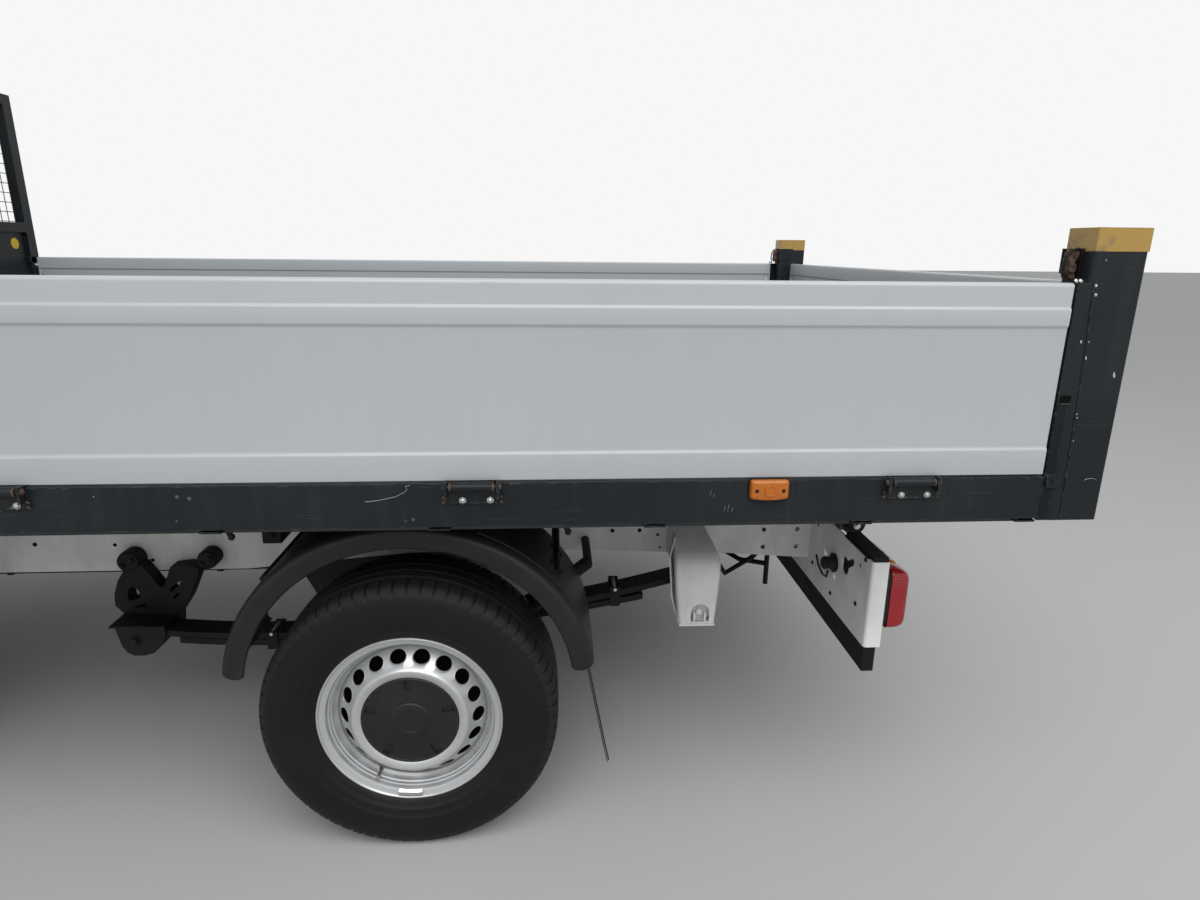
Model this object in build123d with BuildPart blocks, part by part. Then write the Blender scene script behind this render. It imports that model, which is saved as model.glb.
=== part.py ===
"""Dropside tipper light truck with a single cab.

Frame: millimetres, +X forward, +Y to the vehicle's left, +Z up, the origin on the
ground under the middle of the vehicle. Stations along the vehicle are written as
distances ahead of the rear axle and turned into X by station().
"""

import os
from math import cos, radians, sin

from build123d import *

os.makedirs("parts", exist_ok=True)

# Whole vehicle
WHEELBASE = 3665.0
FRONT_OVERHANG = 1004.0
REAR_OVERHANG = 1534.0
LENGTH = FRONT_OVERHANG + WHEELBASE + REAR_OVERHANG
REAR_AXLE_X = REAR_OVERHANG - LENGTH / 2
FRONT_AXLE_X = REAR_AXLE_X + WHEELBASE

# Clearances
RUNNING_FIT = 0.05
PANEL_GAP = 5.0
SKIN_GAP = 0.3

# Wheels
TYRE_RADIUS = 356.0
TYRE_WIDTH = 235.0
TREAD_WIDTH = 186.0
WHEEL_Y = 857.5
BEAD_RADIUS = 203.0
BEAD_HALF_WIDTH = 90.0
FLANGE_RADIUS = 221.0
RIM_GAUGE = 4.0
WELL_RADIUS = 184.0
VENT_COUNT = 18
VENT_CIRCLE = 163.0
VENT_DIAMETER = 38.0
VENT_START = 8.7
CAP_RADIUS = 114.5
CAP_NOTCHES = 5
CAP_NOTCH = (9.0, 24.0, 4.0)
HUB_RADIUS = 62.0
BRAKE_DISC_RADIUS = 148.0
BRAKE_DISC_THICKNESS = 22.0
SPINDLE_RADIUS = 32.0
SPINDLE_REACH = 18.0

# Chassis rails
RAIL_Y = 500.0
RAIL_WIDTH = 70.0
RAIL_GAUGE = 5.0
RAIL_TOP = 735.0
RAIL_REAR = -1115.0
RAIL_FRONT = 4250.0
TUBE_RADIUS = 32.0
TOWBAR_HOLE_RADIUS = 7.0
TOWBAR_HOLE_STATION = -1024.0
TOWBAR_HOLE_HEIGHT = 623.0
TOWBAR_HOLE_PITCH = (101.0, 55.0)

# Rear crossmember, underrun bar and tail lamps
PLATE_GAUGE = 4.0
PLATE_HALF_WIDTH = 920.0
PLATE_BOTTOM = 500.0
PLATE_TOP = 728.0
PLATE_FLANGE = 42.0
PLATE_CORNER = 9.0
UNDERRUN_BOTTOM = 430.0
UNDERRUN_TOP = 530.0
UNDERRUN_DEPTH = 30.0
LAMP_WIDTH = 198.0
LAMP_DEPTH = 58.0
LAMP_BOTTOM = 547.0
LAMP_TOP = 703.0
LAMP_ROUND = 16.0

# Rear suspension
AXLE_RADIUS = 42.0
SPRING_Y = 575.0
SPRING_WIDTH = 70.0
LEAF_THICKNESS = 17.0
LEAF_GAP = 2.0
SPRING_SEAT = 405.0
HANGER_Y = 700.0
HANGER_LEG = 75.0
HANGER_REAR = -800.0
HANGER_FRONT = -680.0
HANGER_BOTTOM = 450.0
SHACKLE = (-735.0, 560.0)
POD_REAR = 780.0
POD_FRONT = 870.0

# Rear wheel arches
ARCH_CENTRE = (-15.0, 457.0)
ARCH_RADIUS = 408.0
ARCH_OUTER = 990.0
ARCH_INNER = 702.0
ARCH_GAUGE = 4.0
ARCH_LIP = 50.0
ARCH_END = 505.0

# Tipping bed
TIP_PIVOT = (-1220.0, 690.0)
PIVOT_PIN = 18.0
PIVOT_BOSS = 45.0
SUBFRAME_DEPTH = 45.0
SILL_HEIGHT = 100.0
BEARER_HEIGHT = 100.0
BEARER_WIDTH = 45.0
BEARER_STATIONS = (-1375, -1010, -560, -110, 350, 810, 1270, 1730)
CHANNEL_GAUGE = 4.0
FLOOR_GAUGE = 3.0
BED_HALF_WIDTH = 1069.0
BED_FRONT = 1955.0
SILL_FACE = -1500.0
SILL_SHELF = 115.0
RAVE_BOTTOM = 895.0
RAVE_GAUGE = 5.0
RAVE_FLANGE = 45.0

# Boards and their hinges
BOARD_BOTTOM = 995.0
BOARD_HEIGHT = 400.0
BOARD_THICKNESS = 28.0
BOARD_RECESS = 7.0
BOARD_FRONT = 1950.0
BOARD_REAR = -1393.0
HINGE_PITCH = 922.0
HINGE_FIRST = 1662.0
HINGE_COUNT = 4
HINGE_WIDTH = 110.0
HINGE_BOTTOM = 947.0
HINGE_PIVOT = (13.0, 985.0)
HINGE_PIN = 5.0
HINGE_TUBE = 8.5
EAR_THICKNESS = 5.0
EAR_REACH = 20.0
EAR_TOP = 996.0
TAIL_HINGE_YS = (-720.0, -240.0, 240.0, 720.0)

# Corner posts and headboard
POST_REAR = -REAR_OVERHANG
POST_WIDTH = 113.0
POST_DEPTH = 84.0
POST_TOP = 1502.0
POST_BOTTOM = 890.0
POST_GAUGE = 5.0
LATCH_STRIP = 23.0
STRIP_INNER = 8.0
HEADBOARD_DEPTH = 40.0
HEADBOARD_TOP = 2060.0
HEADBOARD_PANEL_TOP = 1500.0
HEADBOARD_POST = 50.0
HEADBOARD_BARS = 9

# Tipping ram
RAM_STATION = 350.0
RAM_Y = 200.0
RAM_TRUNNION = 400.0
RAM_FOOT = 300.0
RAM_FOOT_GAUGE = 25.0
RAM_EYE = 845.0
RAM_EYE_RADIUS = 30.0
RAM_EYE_HALF = 30.0
RAM_NECK_RADIUS = 22.0
RAM_BARREL_TOP = 775.0
RAM_STAGES = (("ram_barrel", 75.0, 67.0), ("ram_stage_lower", 66.0, 57.0),
              ("ram_stage_upper", 56.0, 47.0), ("ram_rod", 46.0, 0.0))
TRUNNION_RADIUS = 15.0
CRADLE_GAUGE = 8.0
CRADLE_HALF_SPAN = 100.0
CRADLE_BARS = (100.0, 500.0)
CRADLE_BAR_HEIGHT = 665.0
CRADLE_BAR_RADIUS = 25.0
EYE_EAR_GAUGE = 10.0
EYE_EAR_GAP = 8.0
EYE_EAR_REACH = 35.0

# Cab
CAB_HALF_WIDTH = 996.5
CAB_REAR = 2200.0
CAB_BOTTOM = 450.0
CAB_SKIN = 45.0
WAIST = 1420.0
ROOF = 2400.0
ROOF_HALF_WIDTH = 850.0
CAB_FLOOR = 770.0
FLOOR_SKIN = 30.0
FIREWALL = 3780.0
WINDSCREEN_TOP = (3270.0, 2320.0)
WINDSCREEN_BASE = (4000.0, 1520.0)
BONNET_REAR = 4045.0
BONNET_HALF_WIDTH = 760.0
BONNET_LIP = 1060.0
BONNET_REAR_GAP = 16.0
BONNET_PIVOT = (4053.0, 1477.0)
BONNET_PIN = 4.0
DOOR_SKIN = 18.0
DOOR_DEPTH = 70.0
DOOR_GAP = 8.0
DOOR_STEP = 14.0
DOOR_PIVOT = (3416.0, 1008.0)
DOOR_HINGE_HEIGHTS = (860.0, 1300.0)
DOOR_PIN = 6.0
DOOR_TUBE = 11.0
DOOR_TUBE_HALF = 20.0
DOOR_EAR = 18.0
DOOR_REAR = 2360.0
DOOR_FRONT = 3420.0
DOOR_BOTTOM = 560.0
DOOR_TOP = 2210.0
GLASS_INSET = 12.0
GLASS_THICKNESS = 5.0
FRONT_ARCH_RADIUS = 450.0
ARCH_TO_DOOR = 30.0
LINER_GAUGE = 8.0
LINER_INNER = 725.0
BUMPER_TOP = 790.0
GRILLE_TOP = 1010.0
GRILLE_HALF_WIDTH = 500.0
GRILLE_SLOTS = 4
MIRROR_REACH = 1170.0

# Steering
BALL_JOINT = (765.0, 205.0)
STRUT_TOP = (620.0, 930.0)
STUD_RADIUS = 9.0
KNUCKLE_ROOM = 28.0
TOWER_ROOM = 70.0
STRUT_RADIUS = 25.0
CARRIER_OUTER = 785.0
DISC_BACK = 795.0
SPRING_RINGS = 5
STEERING_WHEEL_Y = -400.0
STEERING_WHEEL_RADIUS = 190.0
COLUMN_TILT = 35.0


def station(x):
    """X of a point given as its distance ahead of the rear axle."""
    return REAR_AXLE_X + x


def finish(piece, name):
    """Labels a finished piece and writes it."""
    piece.part.label = name
    export_step(piece.part, f"parts/{name}.step")


def finish_mirrored(piece, name):
    """Writes the right-hand twin of a left-hand piece."""
    with BuildPart() as twin:
        add(mirror(piece.part, about=Plane.XZ))
    finish(twin, name)


def side_plane(y):
    """Plane for side outlines whose extrusion runs from y towards -Y."""
    return Plane.XZ.offset(-y)


def closed_outline(points, radii=0.0):
    """Face inside a BuildSketch, with one corner radius or a list of them."""
    with BuildLine() as outline:
        if radii:
            FilletPolyline(*points, radius=radii, close=True)
        else:
            Polyline(*points, close=True)
    add(outline.line)
    make_face()


def side_outline(points, radii=0.0):
    """Closed side outline of (station, height) points, inside a BuildSketch."""
    closed_outline([(station(x), z) for x, z in points], radii)


def block(x0, x1, y0, y1, z0, z1, mode=Mode.ADD):
    """Box between two stations, two widths and two heights."""
    centre = (station((x0 + x1) / 2), (y0 + y1) / 2, (z0 + z1) / 2)
    with Locations(centre):
        Box(abs(x1 - x0), abs(y1 - y0), abs(z1 - z0), mode=mode)


def rod_between(start, end, radius, mode=Mode.ADD):
    """Round bar between two points given as (station, y, height)."""
    low = Vector(*start) + Vector(REAR_AXLE_X, 0, 0)
    along = Vector(*end) - Vector(*start)
    with BuildSketch(Plane(origin=low, z_dir=along)) as section:
        Circle(radius)
    extrude(section.sketch, amount=along.length, mode=mode)


# Tyres and wheels: a profile of (distance outboard of the wheel's middle, radius)
WHEELS = (("rear_left", 0.0, 1), ("rear_right", 0.0, -1),
          ("front_left", WHEELBASE, 1), ("front_right", WHEELBASE, -1))


AXLE_LINE = Axis((REAR_AXLE_X, 0, TYRE_RADIUS), (0, 1, 0))
AXLE_SECTION = Plane.YZ.offset(REAR_AXLE_X)


def wheel_points(profile):
    """Profile points of the left wheel in the axle's upright plane."""
    return [(WHEEL_Y + out, TYRE_RADIUS + radius) for out, radius in profile]


def make_tyre():
    """Left rear tyre with straight tread and round sidewalls."""
    bead = BEAD_HALF_WIDTH - SKIN_GAP
    bore = BEAD_RADIUS + SKIN_GAP
    bulge = (TYRE_WIDTH / 2, (FLANGE_RADIUS + TYRE_RADIUS) / 2)
    shoulder = (TREAD_WIDTH / 2 + 12, TYRE_RADIUS - 12)
    outer = [(bead, bore), (bead, FLANGE_RADIUS + 2), bulge, shoulder,
             (TREAD_WIDTH / 2, TYRE_RADIUS)]
    inner = [(-out, radius) for out, radius in reversed(outer)]
    a, b, c, d, e = wheel_points(outer)
    f, g, h, i, j = wheel_points(inner)
    with BuildPart() as tyre:
        with BuildSketch(AXLE_SECTION):
            with BuildLine():
                Line(a, b)
                ThreePointArc(b, c, d)
                Line(d, e)
                Line(e, f)
                Line(f, g)
                ThreePointArc(g, h, i)
                Line(i, j)
                Line(j, a)
            make_face()
        revolve(axis=AXLE_LINE)
    return tyre


def make_wheel():
    """Left rear steel wheel: rim, vented disc, hub with its cap, and brake disc."""
    lip = BEAD_HALF_WIDTH + 8
    gauge = RIM_GAUGE
    rim = [(lip, FLANGE_RADIUS), (BEAD_HALF_WIDTH + 1, FLANGE_RADIUS - 1),
           (BEAD_HALF_WIDTH, BEAD_RADIUS), (62, BEAD_RADIUS - 1.5),
           (50, WELL_RADIUS), (10, WELL_RADIUS), (-8, BEAD_RADIUS - 1.5),
           (-BEAD_HALF_WIDTH, BEAD_RADIUS), (-BEAD_HALF_WIDTH - 1, FLANGE_RADIUS - 1),
           (-lip, FLANGE_RADIUS), (-lip, FLANGE_RADIUS - gauge),
           (-BEAD_HALF_WIDTH - 5, FLANGE_RADIUS - 6), (-BEAD_HALF_WIDTH - 4, BEAD_RADIUS - gauge),
           (-10, BEAD_RADIUS - 1.5 - gauge), (8, WELL_RADIUS - gauge),
           (52, WELL_RADIUS - gauge), (64, BEAD_RADIUS - 1.5 - gauge),
           (BEAD_HALF_WIDTH + 4, BEAD_RADIUS - gauge), (BEAD_HALF_WIDTH + 5, FLANGE_RADIUS - 6),
           (lip, FLANGE_RADIUS - gauge)]
    brake_back = DISC_BACK - WHEEL_Y
    brake_front = brake_back + BRAKE_DISC_THICKNESS
    bore = SPINDLE_RADIUS + RUNNING_FIT
    disc = [(48, 182), (58, 187), (69, 184.5), (84.5, VENT_CIRCLE), (99, 142), (102, 134),
            (101, 121), (99, CAP_RADIUS + 1), (94, CAP_RADIUS), (94, CAP_RADIUS - 3),
            (97, CAP_RADIUS - 9), (97, 46), (100, 40), (100, 0), (SPINDLE_REACH + 2, 0),
            (SPINDLE_REACH + 2, bore), (brake_back, bore), (brake_back, BRAKE_DISC_RADIUS),
            (brake_front, BRAKE_DISC_RADIUS), (brake_front, HUB_RADIUS), (50, HUB_RADIUS),
            (50, 96), (80, 108), (93, 120), (96, 134), (93, 141), (79, 160), (66, 177), (48, 178)]
    with BuildPart() as wheel:
        for profile in (rim, disc):
            with BuildSketch(AXLE_SECTION):
                with BuildLine():
                    Polyline(*wheel_points(profile), close=True)
                make_face()
            revolve(axis=AXLE_LINE)
        outward = Plane(origin=(REAR_AXLE_X, WHEEL_Y, TYRE_RADIUS), x_dir=(0, 0, 1), z_dir=(0, 1, 0))
        with BuildSketch(outward.offset(60)):
            with PolarLocations(VENT_CIRCLE, VENT_COUNT, start_angle=VENT_START):
                Circle(VENT_DIAMETER / 2)
        extrude(amount=45, mode=Mode.SUBTRACT)
        with BuildSketch(outward.offset(97 - CAP_NOTCH[2])):
            with PolarLocations(CAP_RADIUS - 11 - CAP_NOTCH[1] / 2, CAP_NOTCHES):
                Rectangle(CAP_NOTCH[1], CAP_NOTCH[0])
        extrude(amount=CAP_NOTCH[2] + 1, mode=Mode.SUBTRACT)
    return wheel


for wheel_piece, piece_name in ((make_tyre(), "tyre"), (make_wheel(), "wheel")):
    for corner, wheel_station, wheel_side in WHEELS:
        on_side = wheel_piece.part if wheel_side > 0 else mirror(wheel_piece.part, about=Plane.XZ)
        with BuildPart() as placed:
            with Locations((wheel_station, 0, 0)):
                add(on_side)
        finish(placed, f"{piece_name}_{corner}")


# Chassis frame: two channels, kicked up over the axle, and round crossmembers
RAIL_BOTTOM = [(RAIL_REAR, 559), (-870, 578), (-400, 597), (60, 597), (530, 556),
               (3250, 559), (3450, 590), (RAIL_FRONT, 590)]
CROSSMEMBERS = ((-600, 665), (620, 665), (1500, 640), (2600, 640))

with BuildPart() as chassis_frame:
    rail_outline = RAIL_BOTTOM + [(RAIL_FRONT, RAIL_TOP), (RAIL_REAR, RAIL_TOP)]
    with BuildSketch(side_plane(RAIL_Y)):
        side_outline(rail_outline)
    extrude(amount=RAIL_WIDTH)
    with BuildSketch(side_plane(RAIL_Y - RAIL_GAUGE)):
        side_outline(rail_outline)
        offset(amount=-RAIL_GAUGE, kind=Kind.INTERSECTION, mode=Mode.REPLACE)
    extrude(amount=RAIL_WIDTH, mode=Mode.SUBTRACT)
    towbar_holes = Plane(origin=(station(TOWBAR_HOLE_STATION), RAIL_Y, TOWBAR_HOLE_HEIGHT),
                         x_dir=(1, 0, 0), z_dir=(0, -1, 0))
    with BuildSketch(towbar_holes):
        with GridLocations(*TOWBAR_HOLE_PITCH, 2, 2):
            Circle(TOWBAR_HOLE_RADIUS)
    extrude(amount=RAIL_GAUGE, mode=Mode.SUBTRACT)
    mirror(about=Plane.XZ)
    for cross_station, cross_height in CROSSMEMBERS:
        inner_face = RAIL_Y - RAIL_GAUGE / 2
        rod_between((cross_station, -inner_face, cross_height),
                    (cross_station, inner_face, cross_height), TUBE_RADIUS)
finish(chassis_frame, "chassis_frame")


# Rear crossmember: a pressed plate with flanged outboard ends and cut-outs
PLATE_FACE = RAIL_REAR
PLATE_BACK = PLATE_FACE - PLATE_FLANGE
with BuildPart() as rear_crossmember:
    block(PLATE_BACK, PLATE_FACE, -PLATE_HALF_WIDTH, PLATE_HALF_WIDTH, PLATE_BOTTOM, PLATE_TOP)
    front_corners = rear_crossmember.edges().filter_by(Axis.Z).group_by(Axis.X)[-1]
    fillet(front_corners, PLATE_CORNER)
    inside = PLATE_HALF_WIDTH - PLATE_GAUGE
    block(PLATE_BACK, PLATE_FACE - PLATE_GAUGE, -inside, inside, PLATE_BOTTOM, PLATE_TOP, Mode.SUBTRACT)
    with BuildSketch(Plane.YZ.offset(station(PLATE_FACE - PLATE_GAUGE))):
        for plate_side in (1, -1):
            with Locations((plate_side * 765, 652)):
                Circle(24)
            with Locations((plate_side * 790, 668)):
                SlotOverall(64, 20, rotation=plate_side * 35)
            with Locations((plate_side * 624, 628), (plate_side * 700, 590)):
                RegularPolygon(16, 3)
            with Locations((plate_side * 560, 690), (plate_side * 850, 690)):
                Circle(8)
    extrude(amount=PLATE_GAUGE, mode=Mode.SUBTRACT)
finish(rear_crossmember, "rear_crossmember")

with BuildPart() as rear_underrun:
    strip_front = PLATE_FACE - PLATE_GAUGE
    strip_half = PLATE_HALF_WIDTH - PLATE_GAUGE - 2
    block(strip_front - UNDERRUN_DEPTH, strip_front, -strip_half, strip_half, UNDERRUN_BOTTOM, UNDERRUN_TOP)
    for lamp_side in (1, -1):
        block(PLATE_BACK, strip_front, lamp_side * strip_half, lamp_side * (strip_half - 170),
              UNDERRUN_TOP - 10, PLATE_TOP + 10)
finish(rear_underrun, "rear_underrun")

with BuildPart() as tail_lamps:
    lamp_outer = PLATE_HALF_WIDTH
    block(PLATE_BACK - LAMP_DEPTH, PLATE_BACK, lamp_outer - LAMP_WIDTH, lamp_outer, LAMP_BOTTOM, LAMP_TOP)
    fillet(tail_lamps.edges().group_by(Axis.X)[0], LAMP_ROUND)
    mirror(about=Plane.XZ)
finish(tail_lamps, "tail_lamps")


# Rear suspension: hangers, front brackets, leaf springs with dampers, live axle
with BuildPart() as spring_hangers:
    with BuildSketch(side_plane(HANGER_Y)):
        side_outline([(HANGER_REAR, RAIL_TOP), (HANGER_REAR, 640), (HANGER_REAR + 14, HANGER_BOTTOM),
                      (HANGER_FRONT - 12, HANGER_BOTTOM), (HANGER_FRONT, 640), (HANGER_FRONT, RAIL_TOP)])
    extrude(amount=HANGER_Y - RAIL_Y)
    leg_inner = HANGER_Y - HANGER_LEG
    block(HANGER_REAR, HANGER_FRONT, RAIL_Y, leg_inner, HANGER_BOTTOM, 640, Mode.SUBTRACT)
    fillet(spring_hangers.edges().filter_by(Axis.Z).group_by(Axis.Y)[-1], 8)
    with BuildSketch(side_plane(HANGER_Y - PLATE_GAUGE)):
        side_outline([(HANGER_REAR + 4, RAIL_TOP - 4), (HANGER_REAR + 4, 640),
                      (HANGER_REAR + 18, HANGER_BOTTOM - 1), (HANGER_FRONT - 16, HANGER_BOTTOM - 1),
                      (HANGER_FRONT - 4, 640), (HANGER_FRONT - 4, RAIL_TOP - 4)])
    extrude(amount=HANGER_Y - RAIL_Y - PLATE_GAUGE, mode=Mode.SUBTRACT)
    mirror(about=Plane.XZ)
finish(spring_hangers, "spring_hangers")

BRACKET_OUTER = 545.0
BRACKET_LOBES = ((621, 612), (835, 612))
LOBE_RADIUS = 32.0
with BuildPart() as spring_brackets:
    with BuildSketch(side_plane(BRACKET_OUTER)):
        for lobe_x, lobe_z in BRACKET_LOBES:
            with Locations((station(lobe_x), lobe_z)):
                Circle(LOBE_RADIUS)
        side_outline([(601, 590), (640, 600), (760, 470), (800, 600), (860, 600),
                      (POD_FRONT, 440), (700, 440)])
        side_outline([(POD_REAR, 352), (POD_FRONT, 352), (POD_FRONT, 450), (POD_REAR, 450)])
    extrude(amount=BRACKET_OUTER - RAIL_Y)
    with BuildSketch(side_plane(SPRING_Y + SPRING_WIDTH / 2 + 8)):
        side_outline([(POD_REAR, 352), (POD_FRONT, 352), (POD_FRONT, 440), (POD_REAR, 440)], 12)
    extrude(amount=SPRING_WIDTH + 16)
    mirror(about=Plane.XZ)
finish(spring_brackets, "spring_brackets")


def leaf(path, thickness, y, width):
    """Curved strip along three (station, height) points."""
    low = [(station(x), z - thickness / 2) for x, z in path]
    high = [(station(x), z + thickness / 2) for x, z in path]
    with BuildSketch(side_plane(y + width / 2)) as strip:
        with BuildLine():
            ThreePointArc(*low)
            Line(low[-1], high[-1])
            ThreePointArc(*high)
            Line(high[0], low[0])
        make_face()
    extrude(strip.sketch, amount=width)


UPPER_LEAF = SPRING_SEAT + LEAF_THICKNESS * 1.5 + LEAF_GAP
LOWER_LEAF = SPRING_SEAT + LEAF_THICKNESS * 0.5
CLAMP_TOP = SPRING_SEAT + 2 * LEAF_THICKNESS + LEAF_GAP + 15
PAD_HALF = 40.0
with BuildPart() as rear_springs:
    shackle_x, shackle_z = SHACKLE
    leaf([(POD_REAR, 422), (420, 399), (0, UPPER_LEAF)], LEAF_THICKNESS, SPRING_Y, SPRING_WIDTH)
    leaf([(0, UPPER_LEAF), (-400, 482), (shackle_x, shackle_z)], LEAF_THICKNESS, SPRING_Y, SPRING_WIDTH)
    leaf([(690, 393), (400, 379), (0, LOWER_LEAF)], LEAF_THICKNESS, SPRING_Y, SPRING_WIDTH)
    leaf([(0, LOWER_LEAF), (-370, 456), (-600, 497)], LEAF_THICKNESS, SPRING_Y, SPRING_WIDTH)
    block(-PAD_HALF, PAD_HALF, SPRING_Y - 46, SPRING_Y + 46, SPRING_SEAT - 30, SPRING_SEAT, Mode.SUBTRACT)
    block(-60, 60, SPRING_Y - 46, SPRING_Y + 46, SPRING_SEAT, CLAMP_TOP)
    inner, outer = SPRING_Y - SPRING_WIDTH / 2, SPRING_Y + SPRING_WIDTH / 2
    rod_between((shackle_x, inner, shackle_z), (shackle_x, outer, shackle_z), 24)
    rod_between((shackle_x, outer, shackle_z), (shackle_x, HANGER_Y - PLATE_GAUGE, shackle_z), 10)
    for bolt_x in (-48, 48):
        for bolt_y in (SPRING_Y - 40, SPRING_Y + 40):
            rod_between((bolt_x, bolt_y, TYRE_RADIUS - AXLE_RADIUS - 18), (bolt_x, bolt_y, CLAMP_TOP), 6)
    block(-60, 60, SPRING_Y - 46, SPRING_Y + 46, TYRE_RADIUS - AXLE_RADIUS - 24, TYRE_RADIUS - AXLE_RADIUS - 14)
    rod_between((-60, 660, 335), (-300, 660, 520), 26)
    rod_between((-280, 660, 504), (-440, 660, 628), 18)
    rod_between((-440, 672, 628), (-440, RAIL_Y, 628), 12)
    rod_between((-70, 672, 342), (-70, SPRING_Y + 40, 342), 12)
    block(-90, -45, SPRING_Y + 30, 640, TYRE_RADIUS - AXLE_RADIUS - 24, 355)
    mirror(about=Plane.XZ)
finish(rear_springs, "rear_springs")

DIFF_RADIUS = 150.0
AXLE_END = 735.0
with BuildPart() as rear_axle:
    rod_between((0, -AXLE_END, TYRE_RADIUS), (0, AXLE_END, TYRE_RADIUS), AXLE_RADIUS)
    spindle_end = WHEEL_Y + SPINDLE_REACH
    rod_between((0, -spindle_end, TYRE_RADIUS), (0, spindle_end, TYRE_RADIUS), SPINDLE_RADIUS)
    with BuildSketch(Plane.XY.offset(TYRE_RADIUS)):
        with BuildLine():
            Polyline((station(-120), 0), (station(-110), 70), (station(-60), 130), (station(60), DIFF_RADIUS),
                     (station(100), 110), (station(170), 60), (station(260), 42), (station(260), 0), close=True)
        make_face()
    revolve(axis=Axis((REAR_AXLE_X, 0, TYRE_RADIUS), (1, 0, 0)))
    for pad_side in (1, -1):
        block(-PAD_HALF, PAD_HALF, pad_side * (SPRING_Y - 33), pad_side * (SPRING_Y + 33),
              TYRE_RADIUS + AXLE_RADIUS - 12, SPRING_SEAT)
        block(-PAD_HALF, PAD_HALF, pad_side * (SPRING_Y - 33), pad_side * (SPRING_Y + 33),
              TYRE_RADIUS - AXLE_RADIUS - 14, TYRE_RADIUS - AXLE_RADIUS + 12)
        rod_between((0, pad_side * (AXLE_END - 12), TYRE_RADIUS), (0, pad_side * AXLE_END, TYRE_RADIUS), 120)
finish(rear_axle, "rear_axle")


# Rear mudguards: half-round shells with an outer lip, on stays from the rails
with BuildPart() as mudguards:
    for wall, start_y, depth in ((ARCH_GAUGE, ARCH_OUTER, ARCH_OUTER - ARCH_INNER),
                                 (ARCH_LIP, ARCH_OUTER, ARCH_GAUGE)):
        with BuildSketch(side_plane(start_y)):
            with Locations((station(ARCH_CENTRE[0]), ARCH_CENTRE[1])):
                Circle(ARCH_RADIUS)
                Circle(ARCH_RADIUS - wall, mode=Mode.SUBTRACT)
            with Locations((station(ARCH_CENTRE[0]), ARCH_END)):
                Rectangle(4 * ARCH_RADIUS, 2 * ARCH_RADIUS, align=(Align.CENTER, Align.MIN), mode=Mode.INTERSECT)
        extrude(amount=depth)
    for stay_angle in (38.0, 142.0):
        stay_radius = ARCH_RADIUS - ARCH_GAUGE / 2
        stay_x = ARCH_CENTRE[0] + stay_radius * cos(radians(stay_angle))
        stay_z = ARCH_CENTRE[1] + stay_radius * sin(radians(stay_angle))
        rod_between((stay_x, RAIL_Y, stay_z), (stay_x, ARCH_INNER + 40, stay_z), 10)
    mirror(about=Plane.XZ)
finish(mudguards, "mudguards")


# Fixed tipping subframe on the rails, with the rear pivots
PIVOT_X, PIVOT_Z = TIP_PIVOT
SUBFRAME_TOP = RAIL_TOP + SUBFRAME_DEPTH
LUG_INNER = RAIL_Y + PANEL_GAP
LUG_OUTER = LUG_INNER + 55.0
with BuildPart() as tipper_subframe:
    block(PIVOT_X + 60, 1900, RAIL_Y - RAIL_WIDTH, RAIL_Y, RAIL_TOP, SUBFRAME_TOP)
    with BuildSketch(side_plane(RAIL_Y)):
        side_outline([(PIVOT_X + 60, RAIL_TOP), (PIVOT_X + 120, RAIL_TOP), (PIVOT_X + 120, SUBFRAME_TOP),
                      (PIVOT_X + 60, SUBFRAME_TOP), (PIVOT_X - 15, PIVOT_Z + 42), (PIVOT_X - 42, PIVOT_Z),
                      (PIVOT_X, PIVOT_Z - PIVOT_BOSS), (PIVOT_X + 42, PIVOT_Z)])
        with Locations((station(PIVOT_X), PIVOT_Z)):
            Circle(PIVOT_BOSS)
    extrude(amount=RAIL_WIDTH)
    rod_between((PIVOT_X, RAIL_Y, PIVOT_Z), (PIVOT_X, LUG_OUTER + 12, PIVOT_Z), PIVOT_PIN)
    mirror(about=Plane.XZ)
finish(tipper_subframe, "tipper_subframe")

# Cradle of the tipping ram: two bars between the rails and two plates that hold the trunnions
with BuildPart() as ram_cradle:
    cradle_face = RAIL_Y - RAIL_GAUGE
    for bar_x in CRADLE_BARS:
        rod_between((bar_x, -cradle_face, CRADLE_BAR_HEIGHT), (bar_x, cradle_face, CRADLE_BAR_HEIGHT),
                    CRADLE_BAR_RADIUS)
    cradle_rear, cradle_front = CRADLE_BARS[0] - 40, CRADLE_BARS[1] + 40
    for cradle_y in (RAM_Y - CRADLE_HALF_SPAN + CRADLE_GAUGE, RAM_Y + CRADLE_HALF_SPAN):
        with BuildSketch(side_plane(cradle_y)):
            side_outline([(cradle_rear, CRADLE_BAR_HEIGHT + 30), (cradle_front, CRADLE_BAR_HEIGHT + 30),
                          (cradle_front, CRADLE_BAR_HEIGHT - 35), (RAM_STATION + 60, RAM_TRUNNION - 30),
                          (RAM_STATION - 60, RAM_TRUNNION - 30), (cradle_rear, CRADLE_BAR_HEIGHT - 35)])
            with Locations((station(RAM_STATION), RAM_TRUNNION)):
                Circle(TRUNNION_RADIUS + RUNNING_FIT, mode=Mode.SUBTRACT)
        extrude(amount=CRADLE_GAUGE)
finish(ram_cradle, "ram_cradle")


# Hinges of the boards, in a plane whose x runs along the hinge and y points outward
def left_face(x):
    """Plane of the left rave at a station."""
    return Plane(origin=(station(x), BED_HALF_WIDTH, 0), x_dir=(1, 0, 0), z_dir=(0, 0, 1))


def tail_face(y):
    """Plane of the rear sill at a width."""
    return Plane(origin=(station(SILL_FACE), y, 0), x_dir=(0, 1, 0), z_dir=(0, 0, 1))


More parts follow.
